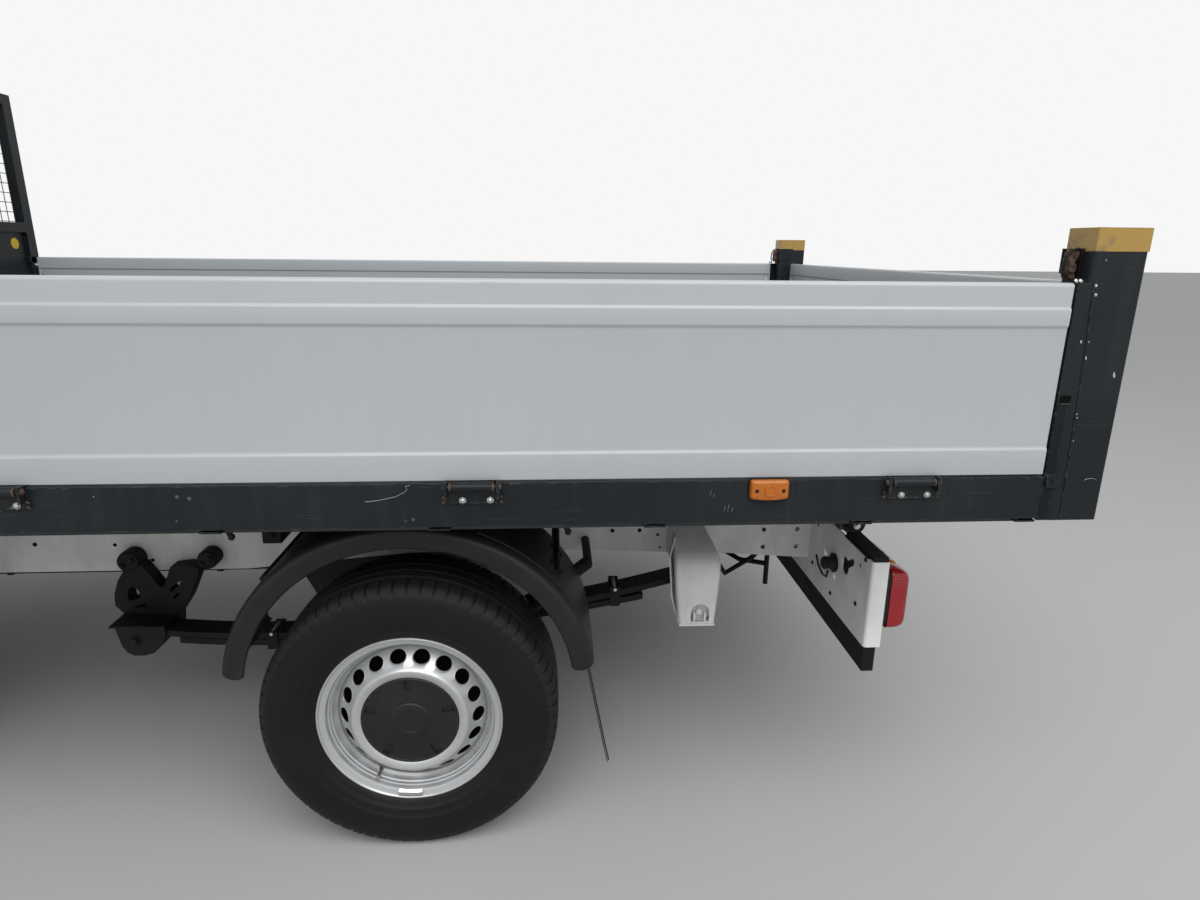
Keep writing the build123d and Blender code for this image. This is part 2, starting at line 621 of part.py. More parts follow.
def hinge_block(plane, half, v0, v1, w0, w1, centre=0.0, mode=Mode.ADD):
    """Box in a hinge plane: half its width, its depth range and its height range."""
    with BuildSketch(plane.offset(w0)) as footprint:
        with Locations((centre, (v0 + v1) / 2)):
            Rectangle(2 * half, v1 - v0)
    extrude(footprint.sketch, amount=w1 - w0, mode=mode)


def hinge_bar(plane, half, radius, mode=Mode.ADD):
    """Round bar on the hinge's pivot."""
    depth, height = HINGE_PIVOT
    start = plane.from_local_coords((-half, depth, height))
    with BuildSketch(Plane(origin=start, x_dir=(0, 0, 1), z_dir=plane.x_dir)) as section:
        Circle(radius)
    extrude(section.sketch, amount=2 * half, mode=mode)


def fixed_hinge(plane):
    """Bracket on the bed: plate, two ears and the pin."""
    half = HINGE_WIDTH / 2
    depth, height = HINGE_PIVOT
    hinge_block(plane, half, 0, EAR_THICKNESS, HINGE_BOTTOM, height - 7)
    for end in (-1, 1):
        hinge_block(plane, EAR_THICKNESS / 2, 0, EAR_REACH, height - 23, EAR_TOP,
                    centre=end * (half - EAR_THICKNESS / 2))
    hinge_bar(plane, half - 1, HINGE_PIN)


def hinge_notch(plane):
    """Room that the board's tongue needs in the rave and the floor."""
    hinge_block(plane, HINGE_WIDTH / 2 - EAR_THICKNESS, -24, 1, HINGE_PIVOT[1] - 15,
                BOARD_BOTTOM - 1, mode=Mode.SUBTRACT)


def board_hinge(plane):
    """Tongue and tube on the board."""
    half = HINGE_WIDTH / 2 - EAR_THICKNESS - PANEL_GAP
    hinge_block(plane, half, -12, HINGE_PIVOT[0], HINGE_PIVOT[1] + 4.5, BOARD_BOTTOM)
    hinge_bar(plane, half, HINGE_TUBE)
    hinge_bar(plane, half, HINGE_PIN + RUNNING_FIT, mode=Mode.SUBTRACT)


HINGE_STATIONS = [HINGE_FIRST - HINGE_PITCH * index for index in range(HINGE_COUNT)]
SIDE_HINGES = [left_face(x) for x in HINGE_STATIONS]
TAIL_HINGES = [tail_face(y) for y in TAIL_HINGE_YS]

# Bed frame: sills, bearers, raves, end sills, pivot lugs, ram bracket and hinges
SILL_BOTTOM = SUBFRAME_TOP + PANEL_GAP
SILL_TOP = SILL_BOTTOM + SILL_HEIGHT
FLOOR_UNDER = SILL_TOP + BEARER_HEIGHT
FLOOR_TOP = FLOOR_UNDER + FLOOR_GAUGE
STRIP_FRONT = POST_REAR + POST_WIDTH + LATCH_STRIP
INNER_WIDTH = BED_HALF_WIDTH - RAVE_GAUGE
with BuildPart() as bed_frame:
    block(PIVOT_X - 80, BED_FRONT, RAIL_Y - RAIL_WIDTH, RAIL_Y, SILL_BOTTOM, SILL_TOP)
    block(PIVOT_X - 80, BED_FRONT, RAIL_Y - RAIL_WIDTH, RAIL_Y - CHANNEL_GAUGE,
          SILL_BOTTOM + CHANNEL_GAUGE, SILL_TOP - CHANNEL_GAUGE, Mode.SUBTRACT)
    block(STRIP_FRONT, BED_FRONT, INNER_WIDTH, BED_HALF_WIDTH, RAVE_BOTTOM, FLOOR_TOP)
    block(STRIP_FRONT, BED_FRONT, BED_HALF_WIDTH - RAVE_FLANGE, BED_HALF_WIDTH, RAVE_BOTTOM,
          RAVE_BOTTOM + RAVE_GAUGE)
    with BuildSketch(side_plane(LUG_OUTER)):
        side_outline([(PIVOT_X - 40, SILL_BOTTOM), (PIVOT_X + 40, SILL_BOTTOM), (PIVOT_X + 32, PIVOT_Z),
                      (PIVOT_X - 32, PIVOT_Z)])
        with Locations((station(PIVOT_X), PIVOT_Z)):
            Circle(PIVOT_BOSS - 10)
            Circle(PIVOT_PIN + RUNNING_FIT, mode=Mode.SUBTRACT)
    extrude(amount=LUG_OUTER - LUG_INNER)
    mirror(about=Plane.XZ)
    block(PIVOT_X - 40, PIVOT_X + 40, -LUG_OUTER, LUG_OUTER, SILL_BOTTOM, SILL_TOP)
    for bearer_station in BEARER_STATIONS:
        half = BEARER_WIDTH / 2
        block(bearer_station - half, bearer_station + half, -INNER_WIDTH, INNER_WIDTH, SILL_TOP, FLOOR_UNDER)
        for web_side in (1, -1):
            block(bearer_station - half, bearer_station + half - CHANNEL_GAUGE, web_side * (RAIL_Y + 20),
                  web_side * INNER_WIDTH, SILL_TOP + CHANNEL_GAUGE, FLOOR_UNDER - CHANNEL_GAUGE, Mode.SUBTRACT)
    post_inner = BED_HALF_WIDTH - POST_DEPTH
    block(SILL_FACE, SILL_FACE + RAVE_GAUGE, -post_inner, post_inner, RAVE_BOTTOM, FLOOR_TOP)
    block(SILL_FACE, SILL_FACE + SILL_SHELF, -post_inner, post_inner, RAVE_BOTTOM, RAVE_BOTTOM + RAVE_GAUGE)
    block(BED_FRONT - RAVE_GAUGE, BED_FRONT, -INNER_WIDTH, INNER_WIDTH, SILL_TOP, FLOOR_TOP)
    for sill_side in (1, -1):
        block(SILL_FACE, PIVOT_X, sill_side * (RAIL_Y - RAIL_WIDTH), sill_side * RAIL_Y,
              SILL_TOP - 10, SILL_TOP)
    ear_inner = RAM_EYE_HALF + EYE_EAR_GAP
    for ear_side in (1, -1):
        block(RAM_STATION - EYE_EAR_REACH - 5, RAM_STATION + EYE_EAR_REACH + 5, RAM_Y + ear_side * ear_inner,
              RAM_Y + ear_side * (ear_inner + EYE_EAR_GAUGE), RAM_EYE - EYE_EAR_REACH, SILL_TOP)
    for hinge in SIDE_HINGES:
        hinge_notch(hinge)
        hinge_notch(Plane(origin=(hinge.origin.X, -BED_HALF_WIDTH, 0), x_dir=(-1, 0, 0), z_dir=(0, 0, 1)))
        fixed_hinge(hinge)
        fixed_hinge(Plane(origin=(hinge.origin.X, -BED_HALF_WIDTH, 0), x_dir=(-1, 0, 0), z_dir=(0, 0, 1)))
    for hinge in TAIL_HINGES:
        hinge_notch(hinge)
        fixed_hinge(hinge)
finish(bed_frame, "bed_frame")

with BuildPart() as bed_floor:
    block(SILL_FACE + RAVE_GAUGE, BED_FRONT - RAVE_GAUGE, -post_inner, post_inner, FLOOR_UNDER, FLOOR_TOP)
    block(POST_REAR + POST_WIDTH, STRIP_FRONT, STRIP_INNER - BED_HALF_WIDTH, BED_HALF_WIDTH - STRIP_INNER,
          FLOOR_UNDER, FLOOR_TOP)
    block(STRIP_FRONT, BED_FRONT - RAVE_GAUGE, -INNER_WIDTH, INNER_WIDTH, FLOOR_UNDER, FLOOR_TOP)
    for hinge in SIDE_HINGES:
        hinge_notch(hinge)
        hinge_notch(Plane(origin=(hinge.origin.X, -BED_HALF_WIDTH, 0), x_dir=(-1, 0, 0), z_dir=(0, 0, 1)))
    for hinge in TAIL_HINGES:
        hinge_notch(hinge)
finish(bed_floor, "bed_floor")


# Boards: one profile of (depth behind the outer face, height above the bottom)
BOARD_PROFILE = [(0, 0), (0, 52), (BOARD_RECESS, 60), (BOARD_RECESS, 308), (0, 316), (0, 348),
                 (4, 352), (4, 396), (8, BOARD_HEIGHT), (BOARD_THICKNESS - 3, BOARD_HEIGHT),
                 (BOARD_THICKNESS, 396), (BOARD_THICKNESS, 352), (BOARD_THICKNESS - 5, 347),
                 (BOARD_THICKNESS - 5, 6), (BOARD_THICKNESS, 0)]

with BuildPart() as dropside_left:
    with BuildSketch(Plane.YZ.offset(station(BOARD_REAR))):
        with BuildLine():
            Polyline(*[(BED_HALF_WIDTH - depth, BOARD_BOTTOM + height) for depth, height in BOARD_PROFILE],
                     close=True)
        make_face()
    extrude(amount=BOARD_FRONT - BOARD_REAR)
    for hinge in SIDE_HINGES:
        board_hinge(hinge)
finish(dropside_left, "dropside_left")
finish_mirrored(dropside_left, "dropside_right")

TAIL_HALF_WIDTH = BED_HALF_WIDTH - POST_DEPTH - PANEL_GAP
with BuildPart() as tailboard:
    with BuildSketch(side_plane(TAIL_HALF_WIDTH)):
        side_outline([(SILL_FACE + depth, BOARD_BOTTOM + height) for depth, height in BOARD_PROFILE])
    extrude(amount=2 * TAIL_HALF_WIDTH)
    for hinge in TAIL_HINGES:
        board_hinge(hinge)
finish(tailboard, "tailboard")


# Corner posts: boxed, closed on top, with the flush latch strip in front
with BuildPart() as rear_posts:
    post_front = POST_REAR + POST_WIDTH
    block(POST_REAR, post_front, BED_HALF_WIDTH - POST_DEPTH, BED_HALF_WIDTH, POST_BOTTOM, POST_TOP)
    fillet(rear_posts.edges().filter_by(Axis.Z).group_by(Axis.Y)[-1], 8)
    block(POST_REAR + POST_GAUGE, post_front - POST_GAUGE, BED_HALF_WIDTH - POST_DEPTH + POST_GAUGE,
          BED_HALF_WIDTH - POST_GAUGE, POST_BOTTOM, POST_TOP - POST_GAUGE, Mode.SUBTRACT)
    block(post_front - 14, STRIP_FRONT, BED_HALF_WIDTH - STRIP_INNER, BED_HALF_WIDTH - 1, POST_BOTTOM,
          BOARD_BOTTOM + BOARD_HEIGHT)
    block(post_front - 60, post_front + 8, BED_HALF_WIDTH - POST_DEPTH - 3, BED_HALF_WIDTH - POST_DEPTH,
          POST_TOP - 90, POST_TOP - 40)
    mirror(about=Plane.XZ)
finish(rear_posts, "rear_posts")

# Headboard: two uprights, cross rails, a lower sheet and upright bars above it
with BuildPart() as headboard:
    back, front = BED_FRONT, BED_FRONT + HEADBOARD_DEPTH
    outer = INNER_WIDTH
    for post_side in (1, -1):
        block(back, front, post_side * (outer - HEADBOARD_POST), post_side * outer, SILL_TOP, HEADBOARD_TOP)
    for rail_bottom in (SILL_TOP, HEADBOARD_PANEL_TOP, HEADBOARD_TOP - HEADBOARD_DEPTH):
        block(back, front, -outer, outer, rail_bottom, rail_bottom + HEADBOARD_DEPTH)
    block(back + 15, back + 18, -outer, outer, SILL_TOP, HEADBOARD_PANEL_TOP)
    bar_pitch = 2 * (outer - HEADBOARD_POST) / (HEADBOARD_BARS + 1)
    for index in range(HEADBOARD_BARS):
        bar_y = -outer + HEADBOARD_POST + bar_pitch * (index + 1)
        rod_between((back + HEADBOARD_DEPTH / 2, bar_y, HEADBOARD_PANEL_TOP + 10),
                    (back + HEADBOARD_DEPTH / 2, bar_y, HEADBOARD_TOP - 10), 9)
finish(headboard, "headboard")


# Tipping ram: nested tubes, the barrel on trunnions, the rod's eye under the bed
STAGE_BOTTOM = RAM_FOOT + RAM_FOOT_GAUGE
STAGE_STEP = 4.0
for stage_index, (stage_name, stage_radius, stage_bore) in enumerate(RAM_STAGES):
    with BuildPart() as stage:
        if stage_index == 0:
            rod_between((RAM_STATION, RAM_Y, RAM_FOOT), (RAM_STATION, RAM_Y, RAM_BARREL_TOP), stage_radius)
            trunnion = CRADLE_HALF_SPAN + 2
            rod_between((RAM_STATION, RAM_Y - trunnion, RAM_TRUNNION), (RAM_STATION, RAM_Y + trunnion, RAM_TRUNNION),
                        TRUNNION_RADIUS)
        else:
            rod_between((RAM_STATION, RAM_Y, STAGE_BOTTOM + STAGE_STEP * stage_index),
                        (RAM_STATION, RAM_Y, RAM_BARREL_TOP + STAGE_STEP * stage_index), stage_radius)
        if stage_bore:
            with BuildSketch(Plane.XY.offset(STAGE_BOTTOM + STAGE_STEP * (stage_index + 1) - SKIN_GAP)):
                with Locations((station(RAM_STATION), RAM_Y)):
                    Circle(stage_bore)
            extrude(amount=RAM_EYE, mode=Mode.SUBTRACT)
        else:
            rod_between((RAM_STATION, RAM_Y, RAM_BARREL_TOP), (RAM_STATION, RAM_Y, RAM_EYE), RAM_NECK_RADIUS)
            rod_between((RAM_STATION, RAM_Y - RAM_EYE_HALF, RAM_EYE), (RAM_STATION, RAM_Y + RAM_EYE_HALF, RAM_EYE),
                        RAM_EYE_RADIUS)
    finish(stage, stage_name)


# Cab: three outlines crossed, then hollowed by the same outlines set inward
CAB_SIDE = [((CAB_REAR, CAB_BOTTOM), 0), ((CAB_REAR, 2370), 110), ((3080, ROOF), 500), (WINDSCREEN_TOP, 90),
            (WINDSCREEN_BASE, 60), ((4430, 1270), 260), ((4590, 1010), 120), ((4669, 620), 200),
            ((4669, 480), 40), ((4620, 330), 40), ((4130, 330), 0), ((4130, CAB_BOTTOM), 0)]
CAB_FRONT = [((CAB_HALF_WIDTH, 300), 0), ((CAB_HALF_WIDTH, WAIST), 600), ((ROOF_HALF_WIDTH, ROOF + 20), 130)]
NOSE_X = WHEELBASE + FRONT_OVERHANG


def cab_body(inset):
    """Solid of the cab's outer form, every face set inward by inset."""
    with BuildPart() as body:
        with BuildSketch(side_plane(CAB_HALF_WIDTH + 50)):
            side_outline([point for point, _ in CAB_SIDE], [radius for _, radius in CAB_SIDE])
            if inset:
                offset(amount=-inset, kind=Kind.INTERSECTION, mode=Mode.REPLACE)
        extrude(amount=2 * CAB_HALF_WIDTH + 100)
        with BuildSketch(Plane.YZ.offset(station(CAB_REAR - 50))):
            with BuildLine():
                right = [((-y, z), radius) for (y, z), radius in reversed(CAB_FRONT)]
                FilletPolyline(*[point for point, _ in CAB_FRONT + right],
                               radius=[radius for _, radius in CAB_FRONT + right], close=True)
            make_face()
            if inset:
                offset(amount=-inset, kind=Kind.INTERSECTION, mode=Mode.REPLACE)
        extrude(amount=NOSE_X - CAB_REAR + 100, mode=Mode.INTERSECT)
        with BuildSketch(Plane.XY.offset(CAB_BOTTOM - 200)):
            with BuildLine():
                cheek = (station(NOSE_X - 75), 700)
                other = (cheek[0], -cheek[1])
                Polyline(other, (station(4130), -CAB_HALF_WIDTH - 1), (station(CAB_REAR - 1), -CAB_HALF_WIDTH - 1),
                         (station(CAB_REAR - 1), CAB_HALF_WIDTH + 1), (station(4130), CAB_HALF_WIDTH + 1), cheek)
                ThreePointArc(cheek, (station(NOSE_X), 0), other)
            make_face()
            fillet([v for v in vertices() if abs(v.X - station(4130)) < 1], 700)
            fillet([v for v in vertices() if abs(v.X - cheek[0]) < 1], 120)
            if inset:
                offset(amount=-inset, kind=Kind.INTERSECTION, mode=Mode.REPLACE)
        extrude(amount=ROOF, mode=Mode.INTERSECT)
    return body


def round_over_wheel(radius, y_outer, depth, mode=Mode.SUBTRACT):
    """Round cut or round bar about the front axle, from y_outer towards -Y."""
    with BuildSketch(side_plane(y_outer)) as disc:
        with Locations((FRONT_AXLE_X, TYRE_RADIUS)):
            Circle(radius)
    extrude(disc.sketch, amount=depth, mode=mode)


DOOR_OUTLINE = [((DOOR_REAR, DOOR_BOTTOM), 60), ((DOOR_FRONT, DOOR_BOTTOM), 0), ((DOOR_FRONT, 1860), 60),
                ((3110, DOOR_TOP), 70), ((DOOR_REAR, DOOR_TOP), 60)]
WINDOW_OUTLINE = [((2440, WAIST), 40), ((3345, WAIST), 30), ((3345, 1830), 40), ((3075, 2130), 50),
                  ((2440, 2130), 60)]
QUARTER_OUTLINE = [((3480, 1500), 20), ((3800, 1500), 20), ((3480, 1850), 25)]


def outline_sketch(outline, inset=0.0):
    """Side outline with its own corner radii, set inward by inset."""
    side_outline([point for point, _ in outline], [radius for _, radius in outline])
    if inset:
        offset(amount=-inset, kind=Kind.INTERSECTION, mode=Mode.REPLACE)


SIDE_DEPTH = 400.0
WINDSCREEN_SHAPE = [(900, 1545), (800, 2255)]
REAR_WINDOW = (1180.0, 460.0, 1680.0)
LAMP_OUTLINE = [((4290, 880), 25), ((4700, 850), 25), ((4700, 1040), 25), ((4320, 1052), 30)]
LAMP_INNER = 520.0
BONNET_OUTLINE = [((BONNET_REAR, 1800), 0), ((BONNET_REAR, 1250), 0), ((4400, BONNET_LIP), 0),
                  ((4750, BONNET_LIP), 0), ((4750, 1800), 0)]


def screen_sketch():
    """Windscreen's outline seen from the front."""
    (low_y, low_z), (high_y, high_z) = WINDSCREEN_SHAPE
    closed_outline([(-low_y, low_z), (low_y, low_z), (high_y, high_z), (-high_y, high_z)], 60)


def rear_window_sketch():
    """Rear window's outline seen from behind."""
    width, height, middle = REAR_WINDOW
    with Locations((0, middle)):
        RectangleRounded(width, height, 50)


def side_prism(outline, y_outer, depth, mode, inset=0.0, clear_arch=0.0):
    """Prism across the cab on a side outline, clear of the front wheel's arch if asked."""
    with BuildSketch(side_plane(y_outer)) as face:
        outline_sketch(outline, inset)
        if clear_arch:
            with Locations((FRONT_AXLE_X, TYRE_RADIUS)):
                Circle(clear_arch, mode=Mode.SUBTRACT)
    extrude(face.sketch, amount=depth, mode=mode)


def screen_prism(mode):
    """Prism along the cab on the windscreen's outline."""
    with BuildSketch(Plane.YZ.offset(station(WINDSCREEN_TOP[0] - 100))) as face:
        screen_sketch()
    extrude(face.sketch, amount=900, mode=mode)


def rear_window_prism(mode):
    """Prism through the cab's rear wall."""
    with BuildSketch(Plane.YZ.offset(station(CAB_REAR - 10))) as face:
        rear_window_sketch()
    extrude(face.sketch, amount=100, mode=mode)


def door_ears(side):
    """Door hinges' fixed halves on the wing: two ears and a pin at each height."""
    pivot_x, pivot_y = DOOR_PIVOT
    for middle in DOOR_HINGE_HEIGHTS:
        ear_start = DOOR_TUBE_HALF + 2
        for low, high in ((middle - ear_start - DOOR_EAR, middle - ear_start),
                          (middle + ear_start, middle + ear_start + DOOR_EAR)):
            rod_between((pivot_x, side * pivot_y, low), (pivot_x, side * pivot_y, high), DOOR_TUBE)
            block(pivot_x, pivot_x + 55, side * (CAB_HALF_WIDTH - 5), side * (pivot_y + 4), low, high)
        reach = ear_start + 1
        rod_between((pivot_x, side * pivot_y, middle - reach), (pivot_x, side * pivot_y, middle + reach), DOOR_PIN)


def door_tubes(side):
    """Door hinges' moving halves on the door."""
    pivot_x, pivot_y = DOOR_PIVOT
    for middle in DOOR_HINGE_HEIGHTS:
        low, high = middle - DOOR_TUBE_HALF, middle + DOOR_TUBE_HALF
        rod_between((pivot_x, side * pivot_y, low), (pivot_x, side * pivot_y, high), DOOR_TUBE)
        block(pivot_x - 60, pivot_x, side * (CAB_HALF_WIDTH - 5), side * (pivot_y + 4), low, high)
        rod_between((pivot_x, side * pivot_y, low), (pivot_x, side * pivot_y, high), DOOR_PIN + RUNNING_FIT,
                    Mode.SUBTRACT)


SIDE_STARTS = (CAB_HALF_WIDTH + 1, SIDE_DEPTH - CAB_HALF_WIDTH)
outer_body = cab_body(0)
inner_body = cab_body(CAB_SKIN)
door_skin_body = cab_body(DOOR_SKIN)
door_inner_body = cab_body(DOOR_DEPTH)
glass_outer_body = cab_body(GLASS_INSET)
glass_inner_body = cab_body(GLASS_INSET + GLASS_THICKNESS)

with BuildPart() as skin:
    add(outer_body.part)
    add(inner_body.part, mode=Mode.SUBTRACT)

with BuildPart() as cab_shell:
    add(skin.part)
    inside = CAB_HALF_WIDTH - CAB_SKIN
    block(CAB_REAR - 1, 4080, -inside, inside, 200, CAB_FLOOR, Mode.SUBTRACT)
    block(4080, NOSE_X + 1, -CAB_HALF_WIDTH - 1, CAB_HALF_WIDTH + 1, 200, BUMPER_TOP, Mode.SUBTRACT)
    block(CAB_REAR + 1, FIREWALL + 25, -inside - 5, inside + 5, CAB_FLOOR, CAB_FLOOR + FLOOR_SKIN)
    with BuildSketch(side_plane(inside + 5)):
        side_outline([(FIREWALL, CAB_FLOOR), (FIREWALL + 25, CAB_FLOOR), (FIREWALL + 25, 1385), (4030, 1440),
                      (4030, 1465), (FIREWALL, 1410)])
    extrude(amount=2 * inside + 10)
    for y_start in SIDE_STARTS:
        side_prism(DOOR_OUTLINE, y_start, SIDE_DEPTH + 1, Mode.SUBTRACT,
                   clear_arch=FRONT_ARCH_RADIUS + ARCH_TO_DOOR)
        side_prism(QUARTER_OUTLINE, y_start, SIDE_DEPTH + 1, Mode.SUBTRACT)
        round_over_wheel(FRONT_ARCH_RADIUS, y_start, SIDE_DEPTH)
    for y_start in (SIDE_STARTS[0], -LAMP_INNER):
        side_prism(LAMP_OUTLINE, y_start, SIDE_STARTS[0] - LAMP_INNER, Mode.SUBTRACT)
    screen_prism(Mode.SUBTRACT)
    rear_window_prism(Mode.SUBTRACT)
    half = BONNET_HALF_WIDTH + PANEL_GAP
    side_prism(BONNET_OUTLINE, half, 2 * half, Mode.SUBTRACT, inset=-PANEL_GAP)
    block(4300, NOSE_X + 1, -GRILLE_HALF_WIDTH, GRILLE_HALF_WIDTH, BUMPER_TOP, GRILLE_TOP, Mode.SUBTRACT)
    block(BONNET_REAR - BONNET_REAR_GAP, BONNET_REAR, -half, half, 1250, 1800, Mode.SUBTRACT)
    for pin_side in (1, -1):
        rod_between((BONNET_PIVOT[0], pin_side * (half + 15), BONNET_PIVOT[1]),
                    (BONNET_PIVOT[0], pin_side * (half - 30), BONNET_PIVOT[1]), BONNET_PIN)
        door_ears(pin_side)
    for liner_side in (1, -1):
        y_outer = inside + 20 if liner_side > 0 else -LINER_INNER
        with BuildSketch(side_plane(y_outer)):
            with Locations((FRONT_AXLE_X, TYRE_RADIUS)):
                Circle(FRONT_ARCH_RADIUS + LINER_GAUGE)
                Circle(FRONT_ARCH_RADIUS, mode=Mode.SUBTRACT)
            with Locations((FRONT_AXLE_X, CAB_BOTTOM + 130)):
                Rectangle(1200, 600, align=(Align.CENTER, Align.MIN), mode=Mode.INTERSECT)
        extrude(amount=inside + 20 - LINER_INNER)
        block(WHEELBASE - TOWER_ROOM, WHEELBASE + TOWER_ROOM, liner_side * 430, liner_side * LINER_INNER,
              CAB_FLOOR - 1, CAB_FLOOR + FLOOR_SKIN + 60, Mode.SUBTRACT)
        for mount_x in (2350, 3050):
            block(mount_x, mount_x + 90, liner_side * (RAIL_Y - RAIL_WIDTH), liner_side * RAIL_Y, RAIL_TOP, CAB_FLOOR)
finish(cab_shell, "cab_shell")

with BuildPart() as pane:
    add(glass_outer_body.part)
    add(glass_inner_body.part, mode=Mode.SUBTRACT)

with BuildPart() as cab_glass:
    with BuildPart(mode=Mode.PRIVATE) as openings:
        screen_prism(Mode.ADD)
        rear_window_prism(Mode.ADD)
        for y_start in SIDE_STARTS:
            side_prism(QUARTER_OUTLINE, y_start, SIDE_DEPTH + 1, Mode.ADD)
    add(pane.part)
    add(openings.part, mode=Mode.INTERSECT)
finish(cab_glass, "cab_glass")

with BuildPart() as door_left:
    for door_back, door_inset in ((door_skin_body, DOOR_GAP), (door_inner_body, DOOR_GAP + DOOR_STEP)):
        with BuildPart(mode=Mode.PRIVATE) as door_layer:
            add(outer_body.part)
            add(door_back.part, mode=Mode.SUBTRACT)
            side_prism(DOOR_OUTLINE, SIDE_STARTS[0], SIDE_DEPTH + 1, Mode.INTERSECT, inset=door_inset,
                       clear_arch=FRONT_ARCH_RADIUS + ARCH_TO_DOOR + door_inset)
        add(door_layer.part)
    side_prism(WINDOW_OUTLINE, SIDE_STARTS[0], SIDE_DEPTH + 1, Mode.SUBTRACT)
    handle_y = CAB_HALF_WIDTH + 14
    rod_between((2440, handle_y, 1130), (2590, handle_y, 1130), 10)
    for post_x in (2452, 2578):
        rod_between((post_x, CAB_HALF_WIDTH - 30, 1130), (post_x, handle_y, 1130), 9)
    door_tubes(1)
finish(door_left, "door_left")
finish_mirrored(door_left, "door_right")

with BuildPart() as door_glass_left:
    add(pane.part)
    side_prism(WINDOW_OUTLINE, SIDE_STARTS[0], SIDE_DEPTH + 1, Mode.INTERSECT)
finish(door_glass_left, "door_glass_left")
finish_mirrored(door_glass_left, "door_glass_right")

MIRROR_HEAD = (3310.0, 3400.0, 1040.0, 1500.0, 1870.0)
with BuildPart() as mirror_left:
    head_back, head_front, head_inner, head_low, head_high = MIRROR_HEAD
    block(head_back, head_front, head_inner, MIRROR_REACH, head_low, head_high)
    fillet(mirror_left.edges().group_by(Axis.X)[-1], 35)
    for arm_z in (head_low + 40, head_high - 120):
        rod_between((3382, 850, arm_z), (3382, head_inner + 20, arm_z), 14)
    add(outer_body.part, mode=Mode.SUBTRACT)
finish(mirror_left, "mirror_left")
finish_mirrored(mirror_left, "mirror_right")

with BuildPart() as bonnet:
    add(skin.part)
    side_prism(BONNET_OUTLINE, BONNET_HALF_WIDTH, 2 * BONNET_HALF_WIDTH, Mode.INTERSECT)
    for pin_side in (1, -1):
        rod_between((BONNET_PIVOT[0], pin_side * (BONNET_HALF_WIDTH - 30), BONNET_PIVOT[1]),
                    (BONNET_PIVOT[0], pin_side * BONNET_HALF_WIDTH, BONNET_PIVOT[1]), BONNET_PIN + RUNNING_FIT,
                    Mode.SUBTRACT)
finish(bonnet, "bonnet")

with BuildPart() as headlamps:
    with BuildPart(mode=Mode.PRIVATE) as lamp_room:
        side_prism(LAMP_OUTLINE, SIDE_STARTS[0], SIDE_STARTS[0] - LAMP_INNER, Mode.ADD)
        mirror(about=Plane.XZ)
    add(skin.part)
    add(lamp_room.part, mode=Mode.INTERSECT)
finish(headlamps, "headlamps")

with BuildPart() as front_bumper:
    add(skin.part)
    with BuildPart(mode=Mode.PRIVATE) as bumper_room:
        block(4080, NOSE_X + 1, -CAB_HALF_WIDTH - 1, CAB_HALF_WIDTH + 1, 200, BUMPER_TOP)
        block(4300, NOSE_X + 1, -GRILLE_HALF_WIDTH, GRILLE_HALF_WIDTH, BUMPER_TOP, GRILLE_TOP)
    add(bumper_room.part, mode=Mode.INTERSECT)
    for y_start in SIDE_STARTS:
        round_over_wheel(FRONT_ARCH_RADIUS, y_start, SIDE_DEPTH)
    block(4080, 4560, -CAB_HALF_WIDTH + 60, CAB_HALF_WIDTH - 60, 300, 500, Mode.SUBTRACT)
    slot_pitch = (GRILLE_TOP - BUMPER_TOP) / GRILLE_SLOTS
    for slot_index in range(GRILLE_SLOTS):
        slot_low = BUMPER_TOP + slot_pitch * slot_index + 8
        block(4300, NOSE_X + 1, -GRILLE_HALF_WIDTH + 25, GRILLE_HALF_WIDTH - 25, slot_low,
              slot_low + slot_pitch - 18, Mode.SUBTRACT)
    block(4400, NOSE_X + 1, -380, 380, 430, 560, Mode.SUBTRACT)
    for bracket_side in (1, -1):
        block(RAIL_FRONT, 4600, bracket_side * (RAIL_Y - RAIL_WIDTH), bracket_side * RAIL_Y, 620, 700)
finish(front_bumper, "front_bumper")


# Cab's inside: dashboard with its column, steering wheel and seats
COLUMN_ALONG = Vector(-cos(radians(COLUMN_TILT)), 0, sin(radians(COLUMN_TILT)))
WHEEL_HUB = Vector(3215, STEERING_WHEEL_Y, 1230)
with BuildPart() as dashboard:
    with BuildSketch(side_plane(880)):
        side_outline([(3440, 1010), (3420, 1180), (3480, 1290), (3640, 1350), (FIREWALL, 1340), (FIREWALL, 975),
                      (3600, 975)])
    extrude(amount=1760)
    fillet(dashboard.edges().filter_by(Axis.Y).group_by(Axis.X)[0], 30)
    column_start = WHEEL_HUB - COLUMN_ALONG * 300
    column_end = WHEEL_HUB - COLUMN_ALONG * 26
    shaft_end = WHEEL_HUB + COLUMN_ALONG * 10
    rod_between(column_start, column_end, 28)
    rod_between(column_start, shaft_end, 12)
finish(dashboard, "dashboard")

with BuildPart() as steering_wheel:
    hub_plane = Plane(origin=(station(WHEEL_HUB.X), WHEEL_HUB.Y, WHEEL_HUB.Z), x_dir=(0, 1, 0),
                      z_dir=COLUMN_ALONG)
    with Locations(hub_plane):
        Torus(STEERING_WHEEL_RADIUS, 14)
    with BuildSketch(hub_plane.offset(-20)):
        Circle(60)
    extrude(amount=34)
    for spoke_angle in (0, 180, 270):
        with BuildSketch(hub_plane.offset(-8)):
            with Locations(Location((0, 0, 0), (0, 0, spoke_angle))):
                Rectangle(STEERING_WHEEL_RADIUS, 34, align=(Align.MIN, Align.CENTER))
        extrude(amount=12)
    with BuildSketch(hub_plane.offset(-21)):
        Circle(12 + RUNNING_FIT)
    extrude(amount=33, mode=Mode.SUBTRACT)
finish(steering_wheel, "steering_wheel")

